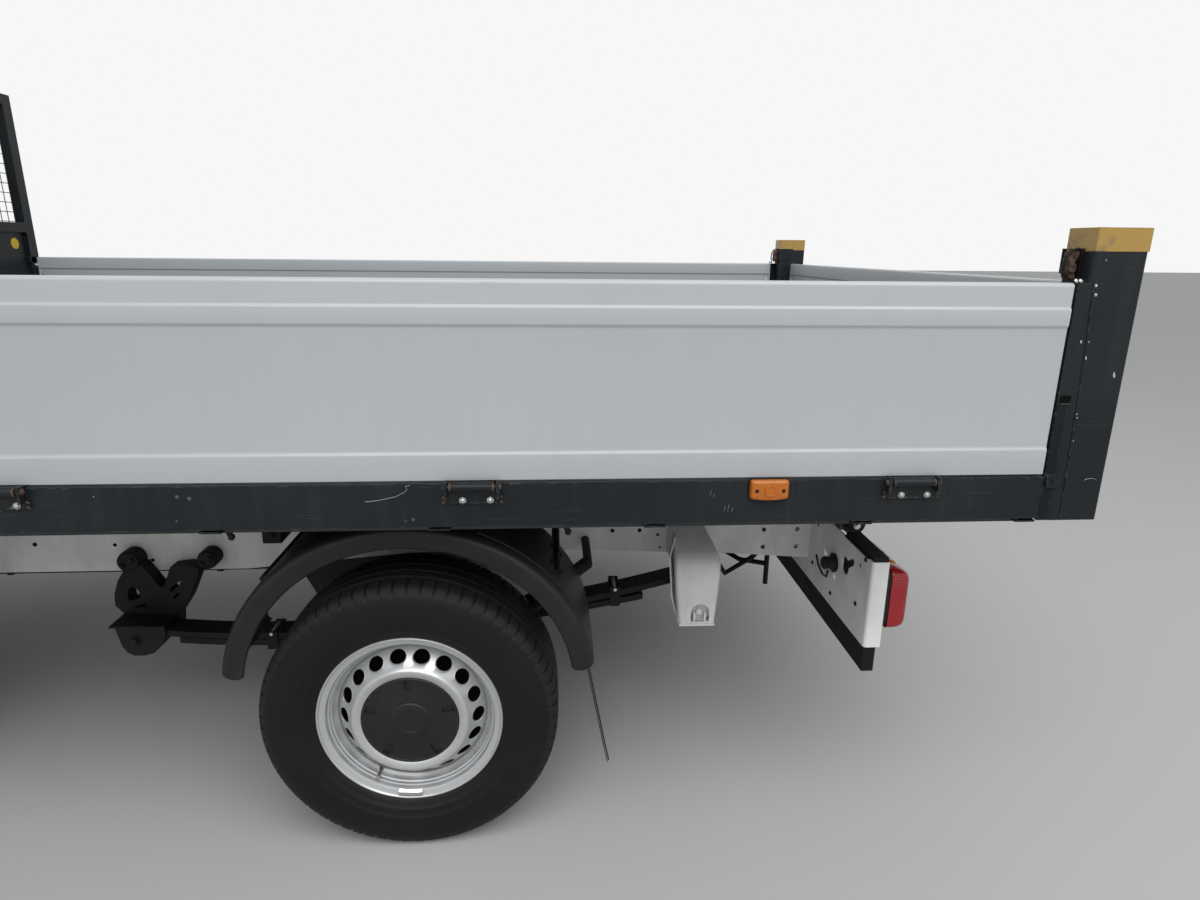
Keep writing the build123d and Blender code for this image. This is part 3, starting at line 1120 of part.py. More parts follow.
SEATS = ((440.0, 760.0), (-400.0, 460.0))
with BuildPart() as seats:
    for seat_y, seat_width in SEATS:
        y_start = seat_y + seat_width / 2
        with BuildSketch(side_plane(y_start - 30)):
            side_outline([(2560, CAB_FLOOR + FLOOR_SKIN), (2980, CAB_FLOOR + FLOOR_SKIN), (2960, 1010), (2560, 1010)])
        extrude(amount=seat_width - 60)
        with BuildSketch(side_plane(y_start)):
            side_outline([(2490, 1005), (3010, 1005), (3040, 1120), (2620, 1100), (2500, 1590), (2380, 1590)],
                         [40, 30, 40, 30, 40, 40])
        extrude(amount=seat_width)
finish(seats, "seats")


# Front suspension: beam, lower arms, strut towers; knuckles with strut and spindle
def kingpin_point(height, side=1):
    """Point on a knuckle's inclined steering axis."""
    share = (height - BALL_JOINT[1]) / (STRUT_TOP[1] - BALL_JOINT[1])
    return (WHEELBASE, side * (BALL_JOINT[0] + share * (STRUT_TOP[0] - BALL_JOINT[0])), height)


with BuildPart() as front_suspension:
    block(WHEELBASE - 65, WHEELBASE + 65, 0, RAIL_Y - 10, 245, 305)
    block(WHEELBASE - 50, WHEELBASE + 50, RAIL_Y - 65, RAIL_Y - 10, 280, 590)
    for arm_x in (WHEELBASE - 110, WHEELBASE + 60):
        rod_between((arm_x, 420, 272), (WHEELBASE, BALL_JOINT[0] - 10, BALL_JOINT[1] - 6), 15)
    block(WHEELBASE - 130, WHEELBASE + 80, 400, 440, 255, 295)
    rod_between(kingpin_point(BALL_JOINT[1] - 18), kingpin_point(BALL_JOINT[1] + 8), 21)
    block(WHEELBASE - 60, WHEELBASE + 60, 440, 500, RAIL_TOP, 930)
    block(WHEELBASE - 60, WHEELBASE + 60, 440, 600, STRUT_TOP[1] - 14, STRUT_TOP[1] + 2)
    rod_between(kingpin_point(STRUT_TOP[1] - 12), kingpin_point(STRUT_TOP[1] + 4), 60)
    stud_room = STUD_RADIUS + RUNNING_FIT
    for low, high in ((BALL_JOINT[1] - 12, BALL_JOINT[1] + 15), (STRUT_TOP[1] - 20, STRUT_TOP[1] + 10)):
        rod_between(kingpin_point(low), kingpin_point(high), stud_room, Mode.SUBTRACT)
    mirror(about=Plane.XZ)
finish(front_suspension, "front_suspension")

with BuildPart() as knuckle_left:
    knuckle_low = BALL_JOINT[1] + KNUCKLE_ROOM
    rod_between(kingpin_point(BALL_JOINT[1] - 11), kingpin_point(knuckle_low + 20), STUD_RADIUS)
    block(WHEELBASE - 45, WHEELBASE + 45, 742, CARRIER_OUTER, knuckle_low, 480)
    block(WHEELBASE - 32, WHEELBASE + 32, 690, 760, 400, 480)
    rod_between(kingpin_point(400), kingpin_point(640), STRUT_RADIUS)
    rod_between(kingpin_point(630), kingpin_point(STRUT_TOP[1] + 2), STUD_RADIUS)
    for ring_index in range(SPRING_RINGS):
        ring_height = 655 + 46 * ring_index
        rod_between(kingpin_point(ring_height), kingpin_point(ring_height + 15), 52)
    rod_between(kingpin_point(628), kingpin_point(640), 56)
    rod_between(kingpin_point(884), kingpin_point(900), 50)
    rod_between(kingpin_point(640), kingpin_point(890), 37)
    rod_between((WHEELBASE, CARRIER_OUTER - 20, TYRE_RADIUS), (WHEELBASE, WHEEL_Y + SPINDLE_REACH, TYRE_RADIUS),
                SPINDLE_RADIUS)
finish(knuckle_left, "knuckle_left")
finish_mirrored(knuckle_left, "knuckle_right")


# Driveline under the cab: engine block with gearbox, propshaft, exhaust and fuel tank
GEARBOX_REAR = 3100.0
GEARBOX_SHAFT = 530.0
AXLE_NOSE = 260.0
with BuildPart() as engine:
    block(3850, 4380, -230, 230, 450, 1080)
    with BuildSketch(side_plane(150)):
        side_outline([(GEARBOX_REAR, 460), (3850, 430), (3850, 720), (3500, 690), (GEARBOX_REAR, 610)])
    extrude(amount=300)
    web = RAIL_Y - RAIL_GAUGE
    for mount_x, mount_z in ((4150, 660), (3300, 600)):
        rod_between((mount_x, -web, mount_z), (mount_x, web, mount_z), 24)
finish(engine, "engine")

with BuildPart() as propshaft:
    rod_between((GEARBOX_REAR - 45, 0, GEARBOX_SHAFT), (GEARBOX_REAR, 0, GEARBOX_SHAFT), 46)
    rod_between((AXLE_NOSE, 0, TYRE_RADIUS), (AXLE_NOSE + 45, 0, TYRE_RADIUS), 46)
    rod_between((AXLE_NOSE + 25, 0, TYRE_RADIUS), (GEARBOX_REAR - 25, 0, GEARBOX_SHAFT), 35)
finish(propshaft, "propshaft")

EXHAUST_PATH = [(3850, -200, 520), (3700, -200, 520), (3000, -300, 470), (1250, -300, 470), (1050, -560, 500),
                (1050, -880, 500)]
PIPE_RADIUS = 28.0
with BuildPart() as exhaust:
    for pipe_start, pipe_end in zip(EXHAUST_PATH, EXHAUST_PATH[1:]):
        rod_between(pipe_start, pipe_end, PIPE_RADIUS)
    for bend in EXHAUST_PATH[1:-1]:
        with Locations((station(bend[0]), bend[1], bend[2])):
            Sphere(PIPE_RADIUS)
    rod_between((1650, -300, 470), (2350, -300, 470), 90)
    rod_between((1500, -300, 490), (1500, -300, 608), 6)
finish(exhaust, "exhaust")

with BuildPart() as fuel_tank:
    block(1350, 2120, 530, 900, 400, 690)
    fillet(fuel_tank.edges().filter_by(Axis.X), 45)
    for strap_x in (1480, 1950):
        block(strap_x, strap_x + 50, RAIL_Y, 560, 600, 650)
finish(fuel_tank, "fuel_tank")
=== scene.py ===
"""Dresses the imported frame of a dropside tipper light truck.

Everything is in metres in the row frame: +X forward, +Y to the vehicle's left, +Z up.
Stations are distances ahead of the rear axle, as workshop drawings give them.
"""

from __future__ import annotations

import logging
import math
from dataclasses import dataclass, field
from enum import Enum
from typing import Sequence

import bmesh
import bpy
from mathutils import Matrix, Vector
from mathutils.bvhtree import BVHTree

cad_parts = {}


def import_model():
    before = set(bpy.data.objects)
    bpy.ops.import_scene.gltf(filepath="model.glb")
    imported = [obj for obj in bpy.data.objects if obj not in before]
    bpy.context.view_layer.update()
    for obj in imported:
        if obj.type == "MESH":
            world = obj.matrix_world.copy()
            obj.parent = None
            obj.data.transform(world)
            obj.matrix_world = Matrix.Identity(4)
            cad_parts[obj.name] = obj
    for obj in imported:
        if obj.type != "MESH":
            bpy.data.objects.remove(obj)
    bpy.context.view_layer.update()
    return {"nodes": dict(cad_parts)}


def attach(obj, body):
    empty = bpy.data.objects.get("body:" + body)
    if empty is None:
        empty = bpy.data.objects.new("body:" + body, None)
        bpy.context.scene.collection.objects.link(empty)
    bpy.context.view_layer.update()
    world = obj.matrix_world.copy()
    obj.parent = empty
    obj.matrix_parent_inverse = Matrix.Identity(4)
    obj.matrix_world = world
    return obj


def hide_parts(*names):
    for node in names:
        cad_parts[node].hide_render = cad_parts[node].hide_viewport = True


log = logging.getLogger("truck")

REAR_AXLE = -1.5675
WHEELBASE = 3.665
TYRE_RADIUS = 0.356
WHEEL_Y = 0.8575
HALF_WIDTH = 1.069
# Each side's name and the sign of its Y.
SIDES = (("left", 1), ("right", -1))
# Y of the tailboard's hinges.
TAIL_HINGES = (-0.72, -0.24, 0.24, 0.72)

Point = tuple[float, float, float]
Flat = tuple[float, float]
Colour = tuple[float, float, float]


def at(station: float) -> float:
    """X of a station."""
    return REAR_AXLE + station


# Shader maths


class Value:
    """A socket that takes part in expressions; each operator adds its Math node."""

    def __init__(self, graph: Graph, socket: bpy.types.NodeSocket) -> None:
        """Wraps a socket.

        Args:
            graph: The graph that the socket belongs to.
            socket: The output socket.
        """
        self.graph = graph
        self.socket = socket

    def _math(self, operation: str, first: Operand, second: Operand | None = None) -> Value:
        """Adds one Math node.

        Args:
            operation: Blender's name of the operation.
            first: The first operand.
            second: The second operand, if the operation takes one.

        Returns:
            The node's result.
        """
        operands = {0: first} if second is None else {0: first, 1: second}
        return self.graph.node("ShaderNodeMath", {"operation": operation}, operands)

    def __add__(self, other: Operand) -> Value:
        """self + other."""
        return self._math("ADD", self, other)

    def __radd__(self, other: Operand) -> Value:
        """other + self."""
        return self._math("ADD", other, self)

    def __sub__(self, other: Operand) -> Value:
        """self - other."""
        return self._math("SUBTRACT", self, other)

    def __rsub__(self, other: Operand) -> Value:
        """other - self."""
        return self._math("SUBTRACT", other, self)

    def __mul__(self, other: Operand) -> Value:
        """self * other."""
        return self._math("MULTIPLY", self, other)

    def __rmul__(self, other: Operand) -> Value:
        """other * self."""
        return self._math("MULTIPLY", other, self)

    def __truediv__(self, other: Operand) -> Value:
        """self / other."""
        return self._math("DIVIDE", self, other)

    def __rtruediv__(self, other: Operand) -> Value:
        """other / self."""
        return self._math("DIVIDE", other, self)

    def __pow__(self, other: Operand) -> Value:
        """self ** other."""
        return self._math("POWER", self, other)

    def __rpow__(self, other: Operand) -> Value:
        """other ** self."""
        return self._math("POWER", other, self)

    def sine(self) -> Value:
        """The sine of the value."""
        return self._math("SINE", self)

    def most(self, other: Operand) -> Value:
        """The larger of two values."""
        return self._math("MAXIMUM", self, other)

    def fade(self, low: float, high: float) -> Value:
        """A smooth ramp from 0 at low to 1 at high, or falling where low is the larger.

        Args:
            low: Where the ramp is 0.
            high: Where the ramp is 1.

        Returns:
            The ramp's value.
        """
        ends = (low, high, 0.0, 1.0) if low < high else (high, low, 1.0, 0.0)
        names = ("From Min", "From Max", "To Min", "To Max")
        sockets = {"Value": self, **dict(zip(names, ends))}
        return self.graph.node("ShaderNodeMapRange", {"interpolation_type": "SMOOTHSTEP"}, sockets)


Operand = Value | float


class Graph:
    """The node tree of one material."""

    def __init__(self, name: str) -> None:
        """Starts a material with its shader.

        Args:
            name: The material's name.
        """
        self.material = bpy.data.materials.new(name)
        self.material.use_nodes = True
        self.tree = self.material.node_tree
        self.shader = self.tree.nodes["Principled BSDF"]
        self._place: Value | None = None

    def node(
            self, kind: str, settings: dict | None = None, sockets: dict | None = None,
            output: int | str = 0) -> Value:
        """Adds any node.

        Args:
            kind: The node's type.
            settings: Properties, set first; "stops" holds a colour ramp's (place, colour) pairs.
            sockets: Values or links by input name or index.
            output: The output that the result stands for.

        Returns:
            The chosen output.
        """
        made = self.tree.nodes.new(kind)
        for key, setting in (settings or {}).items():
            if key == "stops":
                ramp = made.color_ramp
                while len(ramp.elements) < len(setting):
                    ramp.elements.new(0.5)
                for element, (place, colour) in zip(ramp.elements, setting):
                    element.position = place
                    element.color = (*colour, 1.0) if isinstance(colour, tuple) else (
                        colour, colour, colour, 1.0)
            else:
                setattr(made, key, setting)
        for key, operand in (sockets or {}).items():
            self._feed(made.inputs[key], operand)
        return Value(self, made.outputs[output])

    def _feed(self, socket: bpy.types.NodeSocket, operand: object) -> None:
        """Links a value to an input, or sets the input's own number, vector or colour."""
        if isinstance(operand, Value):
            self.tree.links.new(operand.socket, socket)
        elif isinstance(operand, tuple) and socket.type == "RGBA":
            socket.default_value = (*operand, 1.0)
        else:
            socket.default_value = operand

    @property
    def place(self) -> Value:
        """The point in the object's own metres."""
        if self._place is None:
            self._place = self.node("ShaderNodeTexCoord", output="Object")
        return self._place

    def axis(self, letter: str) -> Value:
        """One coordinate of the point, named X, Y or Z."""
        return self.node("ShaderNodeSeparateXYZ", sockets={0: self.place}, output=letter)

    def stretched(self, scale: Point) -> Value:
        """The point scaled along each axis, for stains and brush marks that run one way."""
        return self.node("ShaderNodeVectorMath", {"operation": "MULTIPLY"}, {0: self.place, 1: scale})

    def noise(
            self, scale: float, detail: float = 3.0, rough: float = 0.55,
            vector: Value | None = None) -> Value:
        """Cloudy noise.

        Args:
            scale: Features per metre.
            detail: Octaves.
            rough: How strong the fine octaves are.
            vector: Where it is read; the point itself if left out.

        Returns:
            Its value from 0 to 1.
        """
        sockets = {"Vector": vector or self.place, "Scale": scale, "Detail": detail, "Roughness": rough}
        return self.node("ShaderNodeTexNoise", sockets=sockets)

    def cells(self, scale: float, feature: str = "F1", vector: Value | None = None) -> Value:
        """Distance to scattered points, or to the borders between them.

        Args:
            scale: Cells per metre.
            feature: Blender's name of the distance.
            vector: Where it is read; the point itself if left out.

        Returns:
            The distance.
        """
        sockets = {"Vector": vector or self.place, "Scale": scale}
        return self.node("ShaderNodeTexVoronoi", {"feature": feature}, sockets, "Distance")

    def edges(self, radius: float) -> Value:
        """1 on sharp edges and 0 on flat faces, where paint wears first.

        Args:
            radius: The worn edge's width in metres.

        Returns:
            The mask.
        """
        soft = self.node("ShaderNodeBevel", {"samples": 4}, {"Radius": radius}, "Normal")
        hard = self.node("ShaderNodeNewGeometry", output="Normal")
        near = self.node("ShaderNodeVectorMath", {"operation": "DOT_PRODUCT"}, {0: soft, 1: hard}, "Value")
        return near.fade(0.985, 0.86)

    def mix(self, factor: Operand, first: Value | Colour, second: Value | Colour) -> Value:
        """A colour between two.

        Args:
            factor: 0 for the first, 1 for the second.
            first: A colour or a colour's socket.
            second: A colour or a colour's socket.

        Returns:
            The mixed colour.
        """
        return self.node("ShaderNodeMix", {"data_type": "RGBA"}, {0: factor, 6: first, 7: second}, 2)

    def bump(
            self, height: Value, distance: float, strength: float = 1.0,
            under: Value | None = None) -> Value:
        """A surface's small relief.

        Args:
            height: The relief from 0 to 1.
            distance: Its depth in metres.
            strength: How much of it shows.
            under: A coarser relief that it lies on.

        Returns:
            The bent normal.
        """
        sockets: dict = {"Height": height, "Distance": distance, "Strength": strength}
        if under is not None:
            sockets["Normal"] = under
        return self.node("ShaderNodeBump", sockets=sockets)

    def done(self, **sockets: object) -> bpy.types.Material:
        """Feeds the shader.

        Args:
            **sockets: The shader's inputs, with _ for a space.

        Returns:
            The finished material.
        """
        for key, operand in sockets.items():
            self._feed(self.shader.inputs[key.replace("_", " ")], operand)
        return self.material


# Finishes


class Finish:
    """A surface finish that is made once and shared."""

    def material(self) -> bpy.types.Material:
        """The finish's material, made at its first use."""
        name = f"{type(self).__name__}_{abs(hash_name(repr(self))) % 100000:05d}"
        found = bpy.data.materials.get(name)
        return found or self.build(Graph(name))

    def build(self, graph: Graph) -> bpy.types.Material:
        """Makes the material in a fresh graph."""
        raise NotImplementedError


def hash_name(text: str) -> int:
    """A number for a text that is the same in every run."""
    total = 7
    for letter in text:
        total = (total * 131 + ord(letter)) % 1000003
    return total


@dataclass(frozen=True)
class SheetPaint(Finish):
    """Sprayed sheet metal: faint waviness, dust that gathers low, streaks and worn edges."""

    colour: Colour = (0.42, 0.45, 0.47)
    dust_colour: Colour = (0.36, 0.35, 0.33)
    dust: float = 0.25
    gloss: float = 0.35
    wear: float = 0.5
    bare: Colour = (0.52, 0.54, 0.55)
    coat: float = 0.3
    streak: float = 0.5
    dust_low: float = 0.0
    dust_high: float = 1.4

    def build(self, graph: Graph) -> bpy.types.Material:
        """Makes the material in a fresh graph."""
        cloud = graph.noise(1.7, 4.0)
        grit = graph.noise(160.0, 2.0, 0.7)
        streaks = graph.noise(1.0, 3.0, 0.6, graph.stretched((26.0, 26.0, 1.6))).fade(0.5, 0.78)
        low = graph.axis("Z").fade(self.dust_high, self.dust_low)
        dust = (cloud.fade(0.35, 0.75) * 0.6 + streaks * self.streak + low * 0.6) * self.dust
        worn = graph.edges(0.0025) * graph.noise(38.0, 3.0).fade(0.42, 0.6) * self.wear
        paint = graph.mix(cloud, self.colour, tuple(part * 0.93 for part in self.colour))
        dusty = graph.mix(dust * (0.7 + grit * 0.5), paint, self.dust_colour)
        colour = graph.mix(worn, dusty, self.bare)
        rough = self.gloss + dust * 0.55 + grit * 0.05
        relief = graph.bump(graph.noise(2.3, 1.0), 0.0012, 0.35)
        peel = graph.bump(graph.noise(420.0, 1.0), 0.00012, 0.5, relief)
        return graph.done(
            Base_Color=colour, Roughness=rough, Coat_Weight=self.coat, Coat_Roughness=0.18, Normal=peel)


@dataclass(frozen=True)
class PowderCoat(Finish):
    """Dark powder coat with orange peel, chips to pale primer, scratches and dust."""

    colour: Colour = (0.0088, 0.0120, 0.0142)
    primer: Colour = (0.30, 0.31, 0.31)
    dust_colour: Colour = (0.085, 0.085, 0.083)
    dust: float = 0.10
    chips: float = 0.3
    gloss: float = 0.42
    shine: float = 0.22

    def build(self, graph: Graph) -> bpy.types.Material:
        """Makes the material in a fresh graph."""
        cloud = graph.noise(2.2, 5.0)
        chip_at = graph.cells(34.0).fade(0.16, 0.10) * graph.noise(5.0, 2.0).fade(0.56, 0.66)
        edge_chips = graph.edges(0.003) * graph.noise(60.0, 3.0, 0.7).fade(0.5, 0.62)
        scratch = graph.noise(1.0, 2.0, 0.5, graph.stretched((9.0, 9.0, 420.0))).fade(0.70, 0.76)
        bare = (chip_at.most(edge_chips) + scratch * 0.25) * self.chips
        rain = graph.noise(1.0, 3.0, 0.6, graph.stretched((34.0, 34.0, 2.0))).fade(0.48, 0.8)
        dust = (cloud.fade(0.4, 0.75) * 0.8 + rain * 0.7) * self.dust
        coat = graph.mix(dust, self.colour, self.dust_colour)
        colour = graph.mix(bare, coat, self.primer)
        rough = self.gloss + dust * 0.4 + bare * 0.2
        peel = graph.bump(graph.noise(330.0, 1.0), 0.00025, 0.5)
        chipped = graph.bump(1.0 - bare, 0.0003, 0.6, peel)
        return graph.done(Base_Color=colour, Roughness=rough, Specular_IOR_Level=self.shine, Normal=chipped)


@dataclass(frozen=True)
class RoadGrime(Finish):
    """A chassis finish under road film: patches of mud and a little rust."""

    colour: Colour = (0.74, 0.75, 0.73)
    mud: Colour = (0.22, 0.20, 0.175)
    rust: Colour = (0.17, 0.085, 0.045)
    grime: float = 0.27
    rusting: float = 0.15
    gloss: float = 0.5
    metal: float = 0.0
    shine: float = 0.4

    def build(self, graph: Graph) -> bpy.types.Material:
        """Makes the material in a fresh graph."""
        cloud = graph.noise(6.0, 5.0, 0.6)
        fine = graph.noise(75.0, 4.0, 0.65)
        splash = graph.noise(1.0, 4.0, 0.6, graph.stretched((14.0, 14.0, 5.0)))
        film = ((cloud + splash) * 0.5).fade(0.38, 0.66) * self.grime
        rust = (
            graph.edges(0.004) + graph.cells(24.0).fade(0.14, 0.06)) * fine.fade(0.5, 0.66) * self.rusting
        painted = graph.mix(film, self.colour, self.mud)
        colour = graph.mix(rust, painted, self.rust)
        rough = self.gloss + film * 0.35 + fine * 0.08
        relief = graph.bump(fine, 0.0005, 0.5)
        return graph.done(
            Base_Color=colour, Roughness=rough, Metallic=self.metal, Specular_IOR_Level=self.shine,
            Normal=relief)


@dataclass(frozen=True)
class Rubber(Finish):
    """Tyre rubber: near black, greyer and duller towards the tread."""

    colour: Colour = (0.0055, 0.0055, 0.0058)
    dust_colour: Colour = (0.035, 0.034, 0.032)
    dust: float = 0.30
    tread_radius: float = 0.34

    def build(self, graph: Graph) -> bpy.types.Material:
        """Makes the material in a fresh graph."""
        radius = ((graph.axis("X") ** 2.0) + (graph.axis("Z") ** 2.0)) ** 0.5
        tread = radius.fade(self.tread_radius - 0.012, self.tread_radius)
        cloud = graph.noise(9.0, 4.0)
        fine = graph.noise(130.0, 3.0, 0.7)
        dust = (tread * 0.85 + cloud.fade(0.45, 0.75) * 0.35) * self.dust * (0.6 + fine * 0.7)
        colour = graph.mix(dust, self.colour, self.dust_colour)
        rings = (radius * 1900.0).sine() * (1.0 - tread)
        relief = graph.bump(rings, 0.00006, 0.4)
        grain = graph.bump(fine, 0.0003, 0.4, relief)
        return graph.done(
            Base_Color=colour, Roughness=0.52 + dust * 0.5, Specular_IOR_Level=0.22, Normal=grain)


@dataclass(frozen=True)
class WheelSilver(Finish):
    """Silver wheel paint with metal flake, dust and speckle, and painted shade: deeper surfaces darker and
    the insides seen through the vents near black.
    """

    colour: Colour = (0.52, 0.53, 0.54)
    grime: Colour = (0.10, 0.085, 0.075)
    # Painted shade: the near-black colour of the rim's inner surfaces behind the disc.
    inside: Colour = (0.012, 0.011, 0.010)
    dust: float = 0.4

    def build(self, graph: Graph) -> bpy.types.Material:
        """Makes the material in a fresh graph."""
        cloud = graph.noise(11.0, 5.0, 0.6)
        fine = graph.noise(190.0, 3.0, 0.7)
        # Painted shade: surfaces further inward are darkened, mixed in with the dust, for the shade in the
        # wheel's dish.
        depth = graph.axis("Y").fade(0.075, 0.02)
        speckle = graph.cells(95.0).fade(0.2, 0.08) * graph.noise(14.0).fade(0.5, 0.62)
        dust_and_shade = (
            cloud.fade(0.46, 0.74) * 0.35 + depth * 0.75 + speckle * 0.5) * self.dust * (0.6 + fine * 0.7)
        out = graph.axis("Y")
        radius = ((graph.axis("X") ** 2.0) + (graph.axis("Z") ** 2.0)) ** 0.5
        # Painted shade: surfaces behind the disc's cone and inside the rim are painted near black.
        behind = (
            out + (radius - 0.1405) * 1.19 - 0.0970).fade(-0.006, -0.012) * radius.fade(0.1395, 0.1420)
        shade = behind.most(out.fade(0.040, 0.030))
        colour = graph.mix(shade, graph.mix(dust_and_shade, self.colour, self.grime), self.inside)
        relief = graph.bump(fine, 0.0001, 0.4)
        return graph.done(
            Base_Color=colour, Metallic=(0.55 - dust_and_shade * 0.4) * (1.0 - shade),
            Roughness=0.34 + dust_and_shade * 0.4 + shade * 0.4, Coat_Weight=0.3 * (1.0 - shade), Coat_Roughness=0.15,
            Normal=relief)


@dataclass(frozen=True)
class Moulded(Finish):
    """Moulded plastic: leather-like grain, greyed on top by weather and dust."""

    colour: Colour = (0.010, 0.010, 0.011)
    dust_colour: Colour = (0.07, 0.069, 0.066)
    dust: float = 0.18
    grain: float = 900.0
    depth: float = 0.00018
    gloss: float = 0.5
    shine: float = 0.28

    def build(self, graph: Graph) -> bpy.types.Material:
        """Makes the material in a fresh graph."""
        cloud = graph.noise(5.0, 5.0, 0.6)
        fine = graph.noise(120.0, 3.0, 0.7)
        up = graph.node(
            "ShaderNodeSeparateXYZ", sockets={0: graph.node("ShaderNodeNewGeometry", output="Normal")},
            output="Z").fade(-0.1, 0.9)
        dust = (cloud.fade(0.4, 0.72) * 0.6 + up * 0.5) * self.dust * (0.6 + fine * 0.7)
        colour = graph.mix(dust, self.colour, self.dust_colour)
        relief = graph.bump(graph.cells(self.grain), self.depth, 0.5)
        return graph.done(
            Base_Color=colour, Roughness=self.gloss + dust * 0.45, Specular_IOR_Level=self.shine,
            Normal=relief)


@dataclass(frozen=True)
class Lens(Finish):
    """Coloured lamp plastic: glossy, with the optics' pattern under its skin."""

    colour: Colour = (0.42, 0.003, 0.010)
    cells: float = 260.0
    through: float = 0.35
    glow: float = 0.05

    def build(self, graph: Graph) -> bpy.types.Material:
        """Makes the material in a fresh graph."""
        optics = graph.cells(self.cells)
        cloud = graph.noise(8.0, 3.0)
        deep = tuple(part * 0.55 for part in self.colour)
        colour = graph.mix(optics.fade(0.2, 0.75) * 0.4, self.colour, deep)
        dusty = graph.mix(cloud.fade(0.5, 0.8) * 0.12, colour, (0.3, 0.28, 0.26))
        relief = graph.bump(optics, 0.00015, 0.4)
        return graph.done(
            Base_Color=dusty, Roughness=0.14 + cloud * 0.12, Transmission_Weight=self.through, IOR=1.49,
            Coat_Weight=0.25, Coat_Roughness=0.05, Emission_Color=colour, Emission_Strength=self.glow,
            Normal=relief)


@dataclass(frozen=True)
class BareMetal(Finish):
    """Bare or plated metal with fine turning marks and stains."""

    colour: Colour = (0.55, 0.55, 0.54)
    stain: Colour = (0.14, 0.11, 0.085)
    stains: float = 0.3
    gloss: float = 0.3

    def build(self, graph: Graph) -> bpy.types.Material:
        """Makes the material in a fresh graph."""
        cloud = graph.noise(30.0, 4.0, 0.6)
        fine = graph.noise(300.0, 2.0, 0.7)
        stain = cloud.fade(0.5, 0.68) * self.stains
        colour = graph.mix(stain, self.colour, self.stain)
        relief = graph.bump(fine, 0.00008, 0.5)
        return graph.done(
            Base_Color=colour, Metallic=1.0 - stain * 0.8, Roughness=self.gloss + stain * 0.5,
            Normal=relief)


@dataclass(frozen=True)
class Rust(Finish):
    """Rusted steel: orange over brown, pitted."""

    light: Colour = (0.12, 0.068, 0.040)
    dark: Colour = (0.028, 0.020, 0.016)

    def build(self, graph: Graph) -> bpy.types.Material:
        """Makes the material in a fresh graph."""
        cloud = graph.noise(60.0, 5.0, 0.7)
        colour = graph.mix(cloud.fade(0.4, 0.62), self.dark, self.light)
        relief = graph.bump(cloud, 0.0006, 0.7)
        return graph.done(Base_Color=colour, Roughness=0.75 + cloud * 0.2, Normal=relief)


@dataclass(frozen=True)
class WarningFoil(Finish):
    """Ochre reflective foil, bare of print, scuffed along its edges."""

    colour: Colour = (0.37, 0.228, 0.050)
    scuff: Colour = (0.15, 0.115, 0.065)

    def build(self, graph: Graph) -> bpy.types.Material:
        """Makes the material in a fresh graph."""
        cloud = graph.noise(24.0, 5.0, 0.65)
        worn = (graph.edges(0.005) * 0.9 + cloud.fade(0.52, 0.66) * 0.6) * graph.noise(80.0).fade(0.35, 0.6)
        colour = graph.mix(worn, self.colour, self.scuff)
        beads = graph.bump(graph.cells(1400.0), 0.00008, 0.5)
        return graph.done(Base_Color=colour, Roughness=0.42 + worn * 0.3, Coat_Weight=0.2, Normal=beads)


@dataclass(frozen=True)
class WindowGlass(Finish):
    """Slightly green vehicle glass with a film of dust."""

    colour: Colour = (0.78, 0.86, 0.83)

    def build(self, graph: Graph) -> bpy.types.Material:
        """Makes the material in a fresh graph."""
        film = graph.noise(3.0, 5.0, 0.65).fade(0.45, 0.8) * 0.10
        colour = graph.mix(film, self.colour, (0.5, 0.49, 0.46))
        return graph.done(
            Base_Color=colour, Roughness=0.03 + film * 0.6, Transmission_Weight=0.92, IOR=1.45)


@dataclass(frozen=True)
class WovenCloth(Finish):
    """Seat cloth: a plain weave of two threads with soft sheen."""

    warp: Colour = (0.045, 0.05, 0.062)
    weft: Colour = (0.085, 0.09, 0.10)
    threads: float = 900.0

    def build(self, graph: Graph) -> bpy.types.Material:
        """Makes the material in a fresh graph."""
        across = (graph.axis("Y") * (self.threads * 2.0)).sine()
        along = ((graph.axis("X") + graph.axis("Z")) * (self.threads * 2.0)).sine()
        over = (across * along).fade(-0.6, 0.6)
        cloud = graph.noise(12.0, 3.0)
        colour = graph.mix(over, self.warp, self.weft)
        worn = graph.mix(cloud.fade(0.5, 0.8) * 0.3, colour, (0.14, 0.135, 0.13))
        relief = graph.bump(over, 0.0004, 0.6)
        return graph.done(
            Base_Color=worn, Roughness=0.85, Sheen_Weight=0.35, Sheen_Roughness=0.5, Normal=relief)


@dataclass(frozen=True)
class LoadFloor(Finish):
    """Painted steel floor scraped along its length by loads."""

    colour: Colour = (0.10, 0.107, 0.112)
    scrape: Colour = (0.33, 0.32, 0.30)
    rust: Colour = (0.16, 0.075, 0.04)

    def build(self, graph: Graph) -> bpy.types.Material:
        """Makes the material in a fresh graph."""
        lanes = graph.noise(1.0, 4.0, 0.65, graph.stretched((1.6, 90.0, 1.0)))
        cloud = graph.noise(3.5, 5.0, 0.6)
        scraped = lanes.fade(0.54, 0.66) * cloud.fade(0.38, 0.62)
        rust = graph.cells(30.0).fade(0.12, 0.05) * cloud.fade(0.5, 0.66)
        colour = graph.mix(rust, graph.mix(scraped * 0.8, self.colour, self.scrape), self.rust)
        relief = graph.bump(lanes, 0.0005, 0.4)
        return graph.done(
            Base_Color=colour, Roughness=0.5 + cloud * 0.3, Metallic=scraped * 0.3, Normal=relief)


